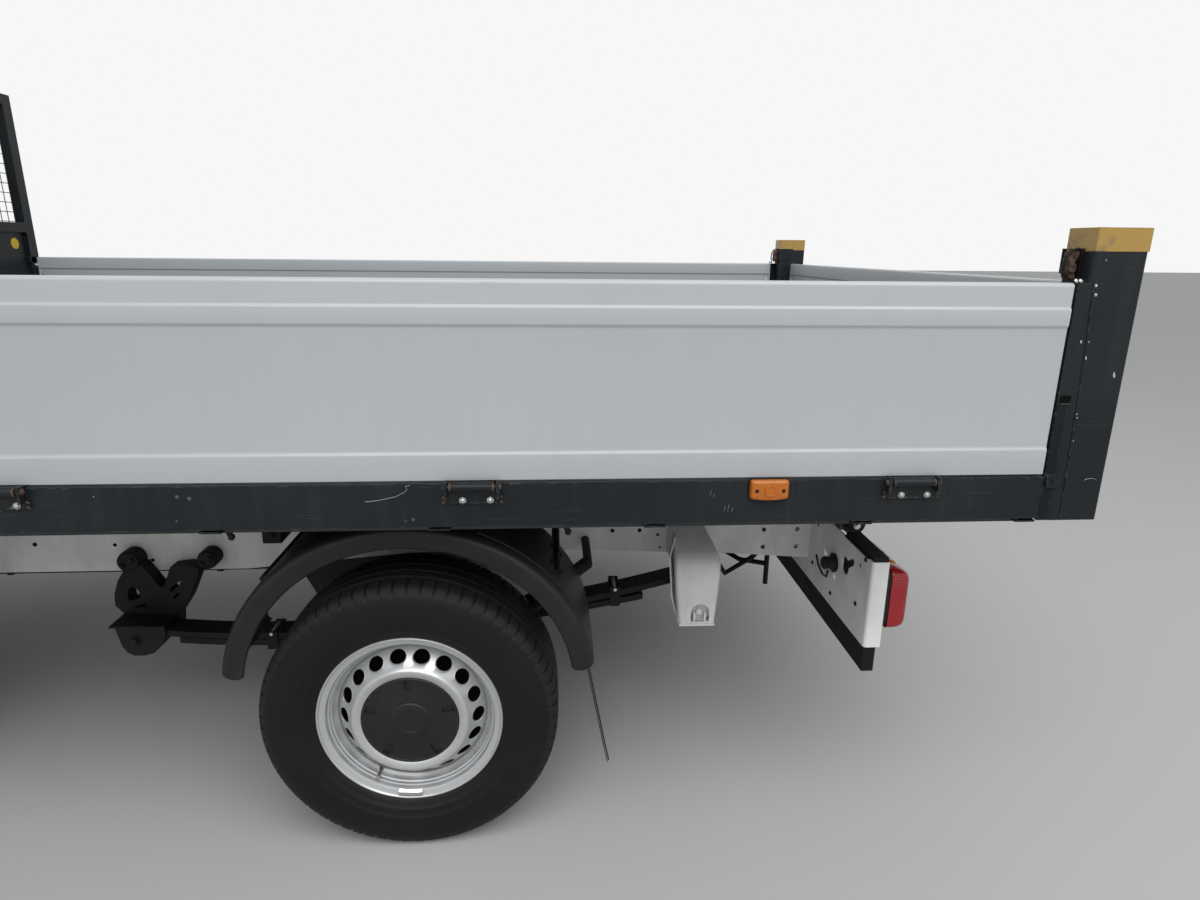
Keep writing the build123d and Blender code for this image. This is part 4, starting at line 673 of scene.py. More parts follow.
class Surface(Enum):
    """The vehicle's finishes by what they cover."""

    BOARD = SheetPaint()
    DARK = PowderCoat()
    CHASSIS = RoadGrime()
    BLACK_STEEL = RoadGrime(
        colour=(0.005, 0.005, 0.0055), mud=(0.022, 0.020, 0.018), grime=0.5, gloss=0.45, shine=0.2)
    CAST_IRON = RoadGrime(
        colour=(0.055, 0.052, 0.05), mud=(0.10, 0.085, 0.07), grime=0.7, rusting=0.5, metal=0.3)
    TYRE = Rubber()
    SILVER = WheelSilver()
    BLACK_PLASTIC = Moulded()
    CAP = Moulded(colour=(0.011, 0.011, 0.0115), dust=0.2, gloss=0.4, shine=0.3)
    GUARD = Moulded(colour=(0.0085, 0.0090, 0.0100), dust=0.16, gloss=0.42, grain=600.0, shine=0.3)
    EDGE = PowderCoat(colour=(0.045, 0.050, 0.053), dust=0.2, chips=0.3)
    PRIMER = PowderCoat(colour=(0.42, 0.43, 0.43), dust=0.2, chips=0.0, gloss=0.6)
    # Painted shade: a darker copy of the dark powder coat for the shaded strip beside the rear posts.
    CHANNEL = PowderCoat(colour=(0.007, 0.008, 0.009), dust=0.1, chips=0.2, gloss=0.5, shine=0.15)
    SHADOW = PowderCoat(colour=(0.003, 0.003, 0.003), dust=0.0, chips=0.0, gloss=0.8, shine=0.08)
    YELLOW = PowderCoat(colour=(0.62, 0.42, 0.02), dust=0.25, chips=0.3)
    SEAL = Moulded(colour=(0.009, 0.009, 0.010), dust=0.2, gloss=0.6, grain=1500.0, depth=0.0001)
    LAMP_BODY = Moulded(colour=(0.03, 0.03, 0.032), dust=0.05, gloss=0.3)
    MIRROR = BareMetal(colour=(0.86, 0.87, 0.88), stains=0.03, gloss=0.02)
    MAT = Moulded(colour=(0.018, 0.018, 0.018), dust=0.6, gloss=0.75, grain=500.0, depth=0.0005)
    LINING = Moulded(colour=(0.42, 0.42, 0.41), dust=0.1, gloss=0.8, grain=1200.0)
    BELT = WovenCloth(warp=(0.012, 0.012, 0.013), weft=(0.025, 0.025, 0.026), threads=1400.0)
    PIPING = Moulded(colour=(0.012, 0.012, 0.014), dust=0.1, gloss=0.6)
    BUMPER = Moulded(colour=(0.045, 0.046, 0.048), dust=0.2)
    TRIM = Moulded(colour=(0.06, 0.062, 0.068), dust=0.12, grain=650.0)
    CAB = SheetPaint(colour=(0.78, 0.79, 0.79), dust=0.08, gloss=0.22, wear=0.0, coat=0.8, streak=0.3)
    GLASS = WindowGlass()
    RED_LENS = Lens()
    AMBER_LENS = Lens(colour=(0.70, 0.19, 0.002), cells=300.0, glow=0.04)
    CLEAR_LENS = Lens(colour=(0.92, 0.93, 0.94), cells=20.0, through=0.95, glow=0.0)
    ZINC = BareMetal()
    CHROME = BareMetal(colour=(0.72, 0.72, 0.72), stains=0.1, gloss=0.1)
    EXHAUST = BareMetal(colour=(0.34, 0.31, 0.28), stains=0.8, gloss=0.5)
    RUST = Rust()
    FOIL = WarningFoil()
    CLOTH = WovenCloth()
    FLOOR = LoadFloor()

    @property
    def material(self) -> bpy.types.Material:
        """The finish's material."""
        return self.value.material()


# Mesh making


class Shape:
    """A mesh under construction, in the row frame, that can hold several finishes."""

    def __init__(self, name: str) -> None:
        """Starts an empty mesh.

        Args:
            name: The piece's name.
        """
        self.name = name
        self.mesh = bmesh.new()
        self.finishes: list[Surface] = []

    def _slot(self, surface: Surface) -> int:
        """The index of a finish in this piece."""
        if surface not in self.finishes:
            self.finishes.append(surface)
        return self.finishes.index(surface)

    def add(
            self, points: Sequence[Sequence[float]], faces: Sequence[Sequence[int]],
            surface: Surface) -> None:
        """Adds points and faces.

        Args:
            points: Corners in metres.
            faces: Corner numbers of each face.
            surface: Their finish.
        """
        corners = [self.mesh.verts.new(point) for point in points]
        slot = self._slot(surface)
        for face in faces:
            made = self.mesh.faces.new([corners[index] for index in face])
            made.material_index = slot

    def prism(
            self, outline: Sequence[Flat], plane: Matrix, low: float, high: float,
            surface: Surface) -> None:
        """Extrudes a closed outline.

        Args:
            outline: Its corners in the plane.
            plane: Where the plane lies; its third axis is the way of extrusion.
            low: Where the prism starts along that axis.
            high: Where it ends.
            surface: Its finish.
        """
        count = len(outline)
        points = [plane @ Vector((u, v, depth)) for depth in (low, high) for u, v in outline]
        sides = [(i, (i + 1) % count, count + (i + 1) % count, count + i) for i in range(count)]
        ends = [tuple(range(count - 1, -1, -1)), tuple(range(count, 2 * count))]
        self.add(points, sides + ends, surface)

    def box(self, x: Flat, y: Flat, z: Flat, surface: Surface) -> None:
        """Adds a box between two corners, given as ranges in the row frame."""
        outline = [(x[0], y[0]), (x[1], y[0]), (x[1], y[1]), (x[0], y[1])]
        self.prism(outline, Matrix.Identity(4), z[0], z[1], surface)

    def lathe(
            self, profile: Sequence[Flat], plane: Matrix, surface: Surface, segments: int = 48,
            closed: bool = False) -> None:
        """Turns a profile about the plane's third axis.

        Args:
            profile: (distance along the axis, radius) points.
            plane: Where the axis lies.
            surface: Its finish.
            segments: Facets round the axis.
            closed: Whether the last point joins the first.
        """
        rings: list[list[bmesh.types.BMVert]] = []
        for along, radius in profile:
            if radius < 1e-6:
                rings.append([self.mesh.verts.new(plane @ Vector((0, 0, along)))])
                continue
            turns = [2 * math.pi * step / segments for step in range(segments)]
            rings.append([
                self.mesh.verts.new(plane @ Vector((radius * math.cos(t), radius * math.sin(t), along)))
                for t in turns])
        slot = self._slot(surface)
        pairs = list(zip(rings, rings[1:])) + ([(rings[-1], rings[0])] if closed else [])
        for lower, upper in pairs:
            for step in range(segments):
                after = (step + 1) % segments
                corners = [
                    lower[step % len(lower)], lower[after % len(lower)], upper[after % len(upper)],
                    upper[step % len(upper)]]
                distinct = list(dict.fromkeys(corners))
                if len(distinct) > 2:
                    self.mesh.faces.new(distinct).material_index = slot

    def tube(
            self, path: Sequence[Point], radius: float, surface: Surface, segments: int = 12,
            flat: float = 1.0) -> None:
        """Sweeps a round or flattened section along a path, with closed ends.

        Args:
            path: Points of its middle line.
            radius: The section's half width.
            surface: Its finish.
            segments: Facets round it.
            flat: The section's height as a share of its width.
        """
        line = [Vector(point) for point in path]
        side = Vector((0, 1, 0))
        rings = []
        for index, middle in enumerate(line):
            along = (line[min(index + 1, len(line) - 1)] - line[max(index - 1, 0)]).normalized()
            if abs(along.dot(side)) > 0.9:
                side = Vector((0, 0, 1))
            across = (side - along * along.dot(side)).normalized()
            upward = along.cross(across)
            side = across
            ring = []
            for step in range(segments):
                turn = 2 * math.pi * step / segments
                offset = across * math.cos(turn) * radius + upward * math.sin(turn) * radius * flat
                ring.append(self.mesh.verts.new(middle + offset))
            rings.append(ring)
        slot = self._slot(surface)
        for lower, upper in zip(rings, rings[1:]):
            for step in range(segments):
                after = (step + 1) % segments
                self.mesh.faces.new((
                    lower[step], lower[after], upper[after], upper[step])).material_index = slot
        for ring in (rings[0][::-1], rings[-1]):
            self.mesh.faces.new(ring).material_index = slot

    def skin(
            self, rings: Sequence[Sequence[Sequence[float]]], surface: Surface, around: bool = True,
            joined: bool = False, capped: bool = False) -> None:
        """Joins rings of equal length by quads.

        Args:
            rings: Points of each ring.
            surface: The skin's finish.
            around: Whether each ring is closed.
            joined: Whether the last ring joins the first.
            capped: Whether the first and last rings are filled.
        """
        slot = self._slot(surface)
        made = [[self.mesh.verts.new(point) for point in ring] for ring in rings]
        pairs = list(zip(made, made[1:])) + ([(made[-1], made[0])] if joined else [])
        for lower, upper in pairs:
            count = len(lower)
            for step in range(count if around else count - 1):
                after = (step + 1) % count
                corners = (lower[step], lower[after], upper[after], upper[step])
                self.mesh.faces.new(corners).material_index = slot
        if capped:
            for ring in (made[0][::-1], made[-1]):
                self.mesh.faces.new(ring).material_index = slot

    def punched(
            self, outline: Sequence[Flat], holes: Sequence[Sequence[Flat]], plane: Matrix, low: float,
            high: float, surface: Surface) -> None:
        """Extrudes an outline with holes.

        Args:
            outline: Its corners in the plane.
            holes: Corners of each hole.
            plane: Where the plane lies; its third axis is the way of extrusion.
            low: Where the plate starts along that axis.
            high: Where it ends.
            surface: Its finish.
        """
        slot = self._slot(surface)
        levels = []
        for depth in (low, high):
            loops = [
                [self.mesh.verts.new(plane @ Vector((u, v, depth))) for u, v in ring]
                for ring in (outline, *holes)]
            edges = [
                self.mesh.edges.new((loop[step - 1], loop[step])) for loop in loops
                for step in range(len(loop))]
            filled = bmesh.ops.triangle_fill(self.mesh, edges=edges, use_beauty=True)
            for face in filled["geom"]:
                if isinstance(face, bmesh.types.BMFace):
                    face.material_index = slot
            levels.append(loops)
        for lower, upper in zip(*levels):
            for step in range(len(lower)):
                corners = (lower[step - 1], lower[step], upper[step], upper[step - 1])
                self.mesh.faces.new(corners).material_index = slot

    def plate(self, corners: Sequence[Sequence[float]], gauge: float, surface: Surface) -> None:
        """Adds a flat plate from its corners in space.

        Args:
            corners: Its outline.
            gauge: Its thickness, half on each side.
            surface: Its finish.
        """
        points = [Vector(corner) for corner in corners]
        normal = Vector((0, 0, 0))
        for before, after in zip(points, points[1:] + points[:1]):
            normal += before.cross(after)
        offset = normal.normalized() * gauge / 2
        self.skin(
            [[point - offset for point in points], [point + offset for point in points]], surface,
            capped=True)

    def bolt(
            self, middle: Point, outward: Point, size: float, surface: Surface = Surface.ZINC,
            round_head: bool = False) -> None:
        """Adds a screw head with its washer.

        Args:
            middle: Where its washer lies on the surface.
            outward: The way that the head stands.
            size: The head's radius.
            surface: Its finish.
            round_head: A domed head in place of a hexagon.
        """
        plane = facing(middle, outward)
        self.lathe(
            [(0, 0), (0, size * 1.35), (size * 0.2, size * 1.3), (size * 0.22, 0)], plane, surface, 20)
        if round_head:
            dome = [
                (size * 0.2, size), (size * 0.55, size * 0.85), (size * 0.8, size * 0.45), (size * 0.86, 0)]
            self.lathe(dome, plane, surface, 20)
        else:
            head = [(size * 0.2, size), (size * 0.75, size), (size * 0.9, size * 0.86), (size * 0.9, 0)]
            self.lathe(head, plane, surface, 6)

    def to_mesh(self, crease: float) -> bpy.types.Mesh:
        """Closes the mesh off and shades it.

        Args:
            crease: Edges sharper than this many degrees stay sharp.

        Returns:
            The mesh with its finishes.
        """
        bmesh.ops.remove_doubles(self.mesh, verts=self.mesh.verts, dist=1e-6)
        bmesh.ops.recalc_face_normals(self.mesh, faces=self.mesh.faces)
        data = bpy.data.meshes.new(self.name)
        self.mesh.to_mesh(data)
        self.mesh.free()
        for surface in self.finishes:
            data.materials.append(surface.material)
        smooth(data, crease)
        return data

    def finish(
            self, body: str, bevel: float = 0.0, crease: float = 40.0,
            segments: int = 2) -> bpy.types.Object:
        """Makes the object, smooths it and lets it ride.

        Args:
            body: The body that carries it.
            bevel: The width of its rounded edges, 0 for none.
            crease: Edges sharper than this many degrees stay sharp.
            segments: Facets across each rounded edge.

        Returns:
            The finished object.
        """
        data = self.to_mesh(crease)
        piece = bpy.data.objects.new(self.name, data)
        bpy.context.scene.collection.objects.link(piece)
        round_edges(piece, bevel, segments)
        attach(piece, body)
        log.info("%s: %d faces on %s", self.name, len(data.polygons), body)
        return piece


def smooth(data: bpy.types.Mesh, crease: float) -> None:
    """Shades a mesh smooth, apart from edges sharper than crease degrees."""
    data.polygons.foreach_set("use_smooth", [True] * len(data.polygons))
    data.set_sharp_from_angle(angle=math.radians(crease))


def round_edges(piece: bpy.types.Object, width: float, segments: int = 2, angle: float = 32.0) -> None:
    """Rounds an object's sharp edges with modifiers.

    Args:
        piece: The object.
        width: How wide the rounding is; 0 adds nothing.
        segments: Facets across it.
        angle: Edges sharper than this many degrees are rounded.
    """
    if width <= 0:
        return
    bevel = piece.modifiers.new("rounded", "BEVEL")
    bevel.width = width
    bevel.segments = segments
    bevel.limit_method = "ANGLE"
    bevel.angle_limit = math.radians(angle)
    bevel.harden_normals = True


def facing(middle: Sequence[float], outward: Sequence[float]) -> Matrix:
    """A plane at a point whose third axis points outward.

    Args:
        middle: Its origin.
        outward: The way it faces.

    Returns:
        The plane's matrix.
    """
    turn = Vector(outward).normalized().to_track_quat("Z", "Y").to_matrix().to_4x4()
    return Matrix.Translation(Vector(middle)) @ turn


def side_view(y: float) -> Matrix:
    """A plane whose first axis is X, second is Z, and third points to +Y, at a width."""
    return Matrix(((1, 0, 0, 0), (0, 0, 1, y), (0, 1, 0, 0), (0, 0, 0, 1)))


def end_view(x: float) -> Matrix:
    """A plane whose first axis is Y, second is Z, and third points to +X, at a place."""
    return Matrix(((0, 0, 1, x), (1, 0, 0, 0), (0, 1, 0, 0), (0, 0, 0, 1)))


def arc(centre: Flat, radius: float, start: float, end: float, steps: int) -> list[Flat]:
    """Points of an arc from one angle in degrees to another."""
    turns = [math.radians(start + (end - start) * step / steps) for step in range(steps + 1)]
    return [(centre[0] + radius * math.cos(turn), centre[1] + radius * math.sin(turn)) for turn in turns]


# Camera and stage


@dataclass
class PhotoCamera:
    """The photograph's camera, in the row frame."""

    place: Point = (REAR_AXLE - 0.3443, 2.4989, 1.4502)
    yaw: float = -0.0683
    pitch: float = 0.2676
    roll: float = 0.010
    lens: float = 21.912

    def build(self) -> None:
        """Makes the camera and sets it as the scene's."""
        forward = Vector((
            math.sin(self.yaw) * math.cos(self.pitch), -math.cos(self.yaw) * math.cos(self.pitch),
            -math.sin(self.pitch)))
        level = forward.cross(Vector((0, 0, 1))).normalized()
        upright = level.cross(forward)
        right = level * math.cos(self.roll) + upright * math.sin(self.roll)
        up = upright * math.cos(self.roll) - level * math.sin(self.roll)
        data = bpy.data.cameras.new("photo_camera")
        data.lens = self.lens
        data.sensor_width = 36.0
        data.clip_end = 200.0
        camera = bpy.data.objects.new("photo_camera", data)
        bpy.context.scene.collection.objects.link(camera)
        turn = Matrix((right, up, -forward)).transposed().to_4x4()
        camera.matrix_world = Matrix.Translation(Vector(self.place)) @ turn
        bpy.context.scene.camera = camera


@dataclass
class Studio:
    """A pale floor under an overcast sky, with one large soft lamp above."""

    floor_colour: Colour = (0.46, 0.46, 0.45)
    sky: Colour = (0.93, 0.95, 0.97)
    sky_strength: float = 0.62
    lamp_power: float = 560.0

    def build(self) -> None:
        """Makes the floor, the world and the lamp, and sets the view."""
        graph = Graph("studio_floor")
        cloud = graph.noise(0.6, 4.0)
        colour = graph.mix(cloud, self.floor_colour, tuple(part * 0.95 for part in self.floor_colour))
        material = graph.done(Base_Color=colour, Roughness=0.8)
        data = bpy.data.meshes.new("floor")
        reach = 60.0
        data.from_pydata(
            [(-reach, -reach, 0), (reach, -reach, 0), (reach, reach, 0), (-reach, reach, 0)], [],
            [(0, 1, 2, 3)])
        data.materials.append(material)
        floor = bpy.data.objects.new("floor", data)
        bpy.context.scene.collection.objects.link(floor)
        self._world()
        self._lamp()
        bpy.context.scene.view_settings.view_transform = "Standard"

    def _world(self) -> None:
        """An even sky that shows white behind the object."""
        world = bpy.data.worlds.new("sky")
        bpy.context.scene.world = world
        world.use_nodes = True
        tree = world.node_tree
        background = tree.nodes["Background"]
        background.inputs["Color"].default_value = (*self.sky, 1.0)
        background.inputs["Strength"].default_value = self.sky_strength
        seen = tree.nodes.new("ShaderNodeBackground")
        seen.inputs["Color"].default_value = (0.93, 0.93, 0.93, 1.0)
        path = tree.nodes.new("ShaderNodeLightPath")
        seen_by = path.outputs["Is Camera Ray"]
        for ray in ("Is Glossy Ray", "Is Transmission Ray"):
            either = tree.nodes.new("ShaderNodeMath")
            either.operation = "MAXIMUM"
            tree.links.new(seen_by, either.inputs[0])
            tree.links.new(path.outputs[ray], either.inputs[1])
            seen_by = either.outputs[0]
        mixer = tree.nodes.new("ShaderNodeMixShader")
        tree.links.new(seen_by, mixer.inputs[0])
        tree.links.new(background.outputs[0], mixer.inputs[1])
        tree.links.new(seen.outputs[0], mixer.inputs[2])
        tree.links.new(mixer.outputs[0], tree.nodes["World Output"].inputs["Surface"])

    def _lamp(self) -> None:
        """The brightest part of the sky, above and to the camera's side."""
        data = bpy.data.lights.new("sky_lamp", "AREA")
        data.shape = "RECTANGLE"
        data.size = 9.0
        data.size_y = 6.0
        data.energy = self.lamp_power
        lamp = bpy.data.objects.new("sky_lamp", data)
        bpy.context.scene.collection.objects.link(lamp)
        aim = Vector((-1.0, 0.5, 0.6))
        place = Vector((-2.5, 5.5, 7.0))
        lamp.matrix_world = facing(place, place - aim)


# Wheels


# A plane whose first axis points up, second to the rear and third outward, for a wheel about its own middle.
WHEEL_FACE = Matrix(((0, -1, 0, 0), (0, 0, 1, 0), (1, 0, 0, 0), (0, 0, 0, 1)))


def set_copy(data: bpy.types.Mesh, name: str, place: Matrix, body: str, *replaced: str) -> bpy.types.Object:
    """Sets one more object of a mesh.

    Args:
        data: The mesh.
        name: The object's name.
        place: Where it stands.
        body: The body that carries it.
        *replaced: The CAD nodes that it stands for.

    Returns:
        The object.
    """
    piece = bpy.data.objects.new(name, data)
    bpy.context.scene.collection.objects.link(piece)
    piece.matrix_world = place
    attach(piece, body)
    if replaced:
        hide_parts(*replaced)
    log.info("%s: %d faces on %s", name, len(data.polygons), body)
    return piece


@dataclass
class Wheels:
    """Four tyres on vented steel wheels, each made once about its own Y axis, outer face to +Y."""

    pitches: int = 70
    lug_depth: float = 0.005
    zigzag: float = 0.0011
    vents: int = 18
    vent_turn: float = 11.3
    vent_circle: float = 0.160
    vent_reach: Flat = (0.0200, 0.0130)
    cone_inner: Flat = (0.1405, 0.0970)
    cone_outer: Flat = (0.1800, 0.0500)
    notches: int = 5
    notch_depth: float = 0.0085
    notch_turn: Flat = (4.9, 4.3)

    def build(self) -> None:
        """Makes one tyre and one wheel and sets copies at the four corners."""
        tyre = self._tyre().to_mesh(40.0)
        wheel = self._wheel().to_mesh(28.0)
        for end, station in (("rear", 0.0), ("front", WHEELBASE)):
            for side, sign in SIDES:
                turn = Matrix.Rotation(0.0 if sign > 0 else math.pi, 4, "Z")
                place = Matrix.Translation((at(station), sign * WHEEL_Y, TYRE_RADIUS)) @ turn
                body = f"wheel_{end}_{side}"
                set_copy(tyre, f"tyre_dressed_{end}_{side}", place, body, f"tyre_{end}_{side}")
                set_copy(wheel, f"wheel_dressed_{end}_{side}", place, body, f"wheel_{end}_{side}")

    def _ring(self, profile: Sequence[Flat], turn: float) -> list[Vector]:
        """Points of an (outward, radius) profile at an angle from the top."""
        return [
            WHEEL_FACE @ Vector((radius * math.cos(turn), radius * math.sin(turn), out))
            for out, radius in profile]

    def _tyre(self) -> Shape:
        """Tyre with ribbed sidewalls, four grooves and notched shoulders."""
        side = [
            (0.089, 0.2037), (0.090, 0.206), (0.094, 0.2175), (0.0985, 0.2228), (0.1012, 0.2252),
            (0.1045, 0.232), (0.1086, 0.2425), (0.1101, 0.2438), (0.1106, 0.2468), (0.1128, 0.2545),
            (0.1148, 0.2635), (0.1157, 0.2645), (0.1162, 0.2690), (0.1160, 0.2702), (0.1173, 0.280),
            (0.1175, 0.290), (0.1171, 0.299), (0.1161, 0.3035), (0.1158, 0.3072), (0.1145, 0.318),
            (0.1118, 0.3285)]
        shoulder = [
            (0.1105, 0.332), (0.1065, 0.341), (0.099, 0.3492), (0.093, 0.3526), (0.080, 0.3545),
            (0.0565, 0.3553)]
        crown = [
            (0.0550, 0.3483), (0.0490, 0.3483), (0.0475, 0.3556), (0.0225, 0.3559), (0.0210, 0.3485),
            (0.0150, 0.3485), (0.0135, 0.3560)]
        depths = [0.0] * len(side) + [0.0012, 0.0030] + [self.lug_depth] * 4 + [0.0] * len(crown)
        sway = [0.0] * (len(side) + len(shoulder)) + [1.0] * len(crown)
        half = list(zip(side + shoulder + crown, depths, sway))
        whole = half + [((-out, radius), depth, shift) for (out, radius), depth, shift in reversed(half)]
        shape = Shape("tyre_mesh")
        rings = []
        for pitch in range(self.pitches):
            for index, share in enumerate((0.0, 0.30, 0.335, 0.46, 0.495, 0.75)):
                turn = 2 * math.pi * (pitch + share) / self.pitches
                lowered = index in (2, 3)
                lean = self.zigzag if index in (1, 2, 3) else -self.zigzag
                profile = [
                    (out + lean * shift, radius - (depth if lowered else 0.0))
                    for (out, radius), depth, shift in whole]
                rings.append(self._ring(profile, turn))
        shape.skin(rings, Surface.TYRE, joined=True)
        return shape

    def _wheel(self) -> Shape:
        """Rim, vented disc, cap, valve, balance weight and the brake disc behind."""
        shape = Shape("wheel_mesh")
        rim = [
            (0.0972, 0.2212), (0.0990, 0.2196), (0.0990, 0.2172), (0.0972, 0.2156), (0.0948, 0.2146),
            (0.0936, 0.2120), (0.0926, 0.2050), (0.0905, 0.2014), (0.0860, 0.1992), (0.0795, 0.1986),
            (0.0780, 0.1954), (0.0715, 0.1946), (0.0695, 0.1916), (0.0640, 0.1900), (0.0590, 0.1852),
            (0.0552, 0.1812), (0.0500, 0.1800), (0.008, 0.1800), (-0.010, 0.1975), (-0.088, 0.199),
            (-0.094, 0.202), (-0.0955, 0.215), (-0.0985, 0.2172), (-0.0985, 0.2205), (-0.0915, 0.2195),
            (-0.090, 0.2030), (-0.008, 0.2015), (0.010, 0.1840), (0.050, 0.1840), (0.062, 0.2015),
            (0.090, 0.2030), (0.0915, 0.2195)]
        shape.lathe(rim, WHEEL_FACE, Surface.SILVER, 180, closed=True)
        skirt = [
            (0.0380, 0.1800), (0.0400, 0.1812), (0.0440, 0.1818), (0.0478, 0.1812), self.cone_outer[::-1]]
        crest = [
            self.cone_inner[::-1], (0.1000, 0.1385), (0.1018, 0.1364), (0.1025, 0.1335), (0.1021, 0.1300),
            (0.1006, 0.1250), (0.0990, 0.1192), (0.0972, 0.1168), (0.0935, 0.1158), (0.0800, 0.1120),
            (0.0660, 0.0700)]
        for profile in (skirt, crest):
            shape.skin(
                [self._circle(out, radius, 8 * self.vents) for out, radius in profile], Surface.SILVER)
        for index in range(self.vents):
            self._vent(shape, math.radians(self.vent_turn + 360.0 / self.vents * index))
        self._cap(shape)
        brake = [
            (-0.0400, 0.0620), (-0.0400, 0.1470), (-0.0415, 0.1480), (-0.0490, 0.1480), (-0.0495, 0.1400),
            (-0.0535, 0.1400), (-0.0540, 0.1480), (-0.0610, 0.1480), (-0.0625, 0.1470), (-0.0625, 0.0400)]
        shape.lathe(brake, WHEEL_FACE, Surface.CAST_IRON, 96)
        shape.lathe(
            [(-0.0625, 0.0620), (0.0480, 0.0620), (0.0640, 0.0600), (0.0660, 0.0)], WHEEL_FACE,
            Surface.CAST_IRON, 48)
        shape.lathe(
            [(0.0360, 0.0622), (0.0360, 0.1785), (0.0340, 0.1785), (0.0340, 0.0622)], WHEEL_FACE,
            Surface.SHADOW, 64)
        self._valve(shape)
        return shape

    def _circle(self, out: float, radius: float, count: int) -> list[Vector]:
        """Points of a circle that starts midway between two vents."""
        start = math.radians(self.vent_turn - 180.0 / self.vents)
        turns = [start + 2 * math.pi * step / count for step in range(count)]
        return [
            WHEEL_FACE @ Vector((radius * math.cos(turn), radius * math.sin(turn), out)) for turn in turns]

    def _cone_height(self, radius: float) -> float:
        """How far out the disc's cone lies at a radius."""
        (low_radius, low), (high_radius, high) = self.cone_inner, self.cone_outer
        return low + (high - low) * (radius - low_radius) / (high_radius - low_radius)

    def _vent(self, shape: Shape, middle: float) -> None:
        """One sector of the disc with its stamped hole."""
        half = math.pi / self.vents
        inner, outer = self.cone_inner[0], self.cone_outer[0]
        along = [-half + 2 * half * step / 8 for step in range(8)]
        up = [inner + (outer - inner) * step / 6 for step in range(6)]
        border = (
            [(turn, inner) for turn in along] + [(half, radius) for radius in up]
            + [(-turn, outer) for turn in along] + [(-half, inner + outer - radius) for radius in up])
        rings = [[(turn, radius, self._cone_height(radius)) for turn, radius in border]]
        for grow, drop in (
                (1.085, -0.0004), (1.055, 0.0005), (1.015, 0.0), (0.995, 0.0018), (0.975, 0.0052)):
            ring = []
            for turn, radius in border:
                direction = math.atan2(radius - self.vent_circle, turn * self.vent_circle)
                far = self.vent_circle + self.vent_reach[1] * grow * math.sin(direction)
                ring.append((
                    self.vent_reach[0] * grow * math.cos(direction) / far, far,
                    self._cone_height(far) - drop))
            rings.append(ring)
        placed = [
            [WHEEL_FACE @ Vector((radius * math.cos(middle + turn), radius * math.sin(middle + turn), out))
             for turn, radius, out in ring]
            for ring in rings]
        shape.skin(placed, Surface.SILVER)

    def _cap(self, shape: Shape) -> None:
        """Black centre cap with wedge notches round a low boss."""
        profile = [
            (0.1150, 0.0930, False), (0.1152, 0.0972, False), (0.1138, 0.0988, False),
            (0.1105, 0.0990, False), (0.1098, 0.0984, True), (0.0830, 0.0968, True),
            (0.0820, 0.0970, False), (0.0480, 0.0974, False), (0.0462, 0.0992, False),
            (0.0440, 0.1000, False), (0.0310, 0.1002, False), (0.0295, 0.0992, False),
            (0.0280, 0.0990, False), (0.0080, 0.0993, False), (0.0004, 0.0993, False)]
        pitch = 360.0 / self.notches
        edge, foot = self.notch_turn
        offsets = [-edge, -foot, foot, edge] + [
            edge + (pitch - 2 * edge) * step / 8 for step in range(1, 8)]
        rings = []
        for radius, out, notched in profile:
            ring = []
            for notch in range(self.notches):
                for index, offset in enumerate(offsets):
                    turn = math.radians(pitch * notch + offset)
                    depth = self.notch_depth if notched and index in (1, 2) else 0.0
                    ring.append(
                        WHEEL_FACE
                        @ Vector((radius * math.cos(turn), radius * math.sin(turn), out - depth)))
            rings.append(ring)
        shape.skin(rings, Surface.CAP, capped=True)
        wide = math.tan(math.radians(foot))
        for notch in range(self.notches):
            floor = [
                (0.0838, -0.0838 * wide), (0.1090, -0.1090 * wide), (0.1090, 0.1090 * wide),
                (0.0838, 0.0838 * wide)]
            turned = WHEEL_FACE @ Matrix.Rotation(math.radians(pitch * notch), 4, "Z")
            shape.prism(floor, turned, 0.0880, 0.0904, Surface.SHADOW)

    def _valve(self, shape: Shape) -> None:
        """Tyre valve in the rim and a balance weight clipped to its edge."""
        turn = math.radians(208.5)
        foot = WHEEL_FACE @ Vector((0.183 * math.cos(turn), 0.183 * math.sin(turn), 0.056))
        tip = WHEEL_FACE @ Vector((0.186 * math.cos(turn), 0.186 * math.sin(turn), 0.094))
        shape.lathe(
            [(0, 0.0075), (0.010, 0.0062), (0.014, 0.0042), (0.024, 0.0040), (0.025, 0.0052),
             (0.036, 0.0050), (0.0375, 0.0)],
            facing(foot, tip - foot), Surface.ZINC, 16)
        rings = []
        for step in range(17):
            turn = math.radians(175.0 + step)
            rings.append(self._ring(
                [(0.0895, 0.2012), (0.0985, 0.2100), (0.0998, 0.2120), (0.0992, 0.2035), (0.0930, 0.1985)],
                turn))
        shape.skin(rings, Surface.ZINC, capped=True)


# Rear mudguards


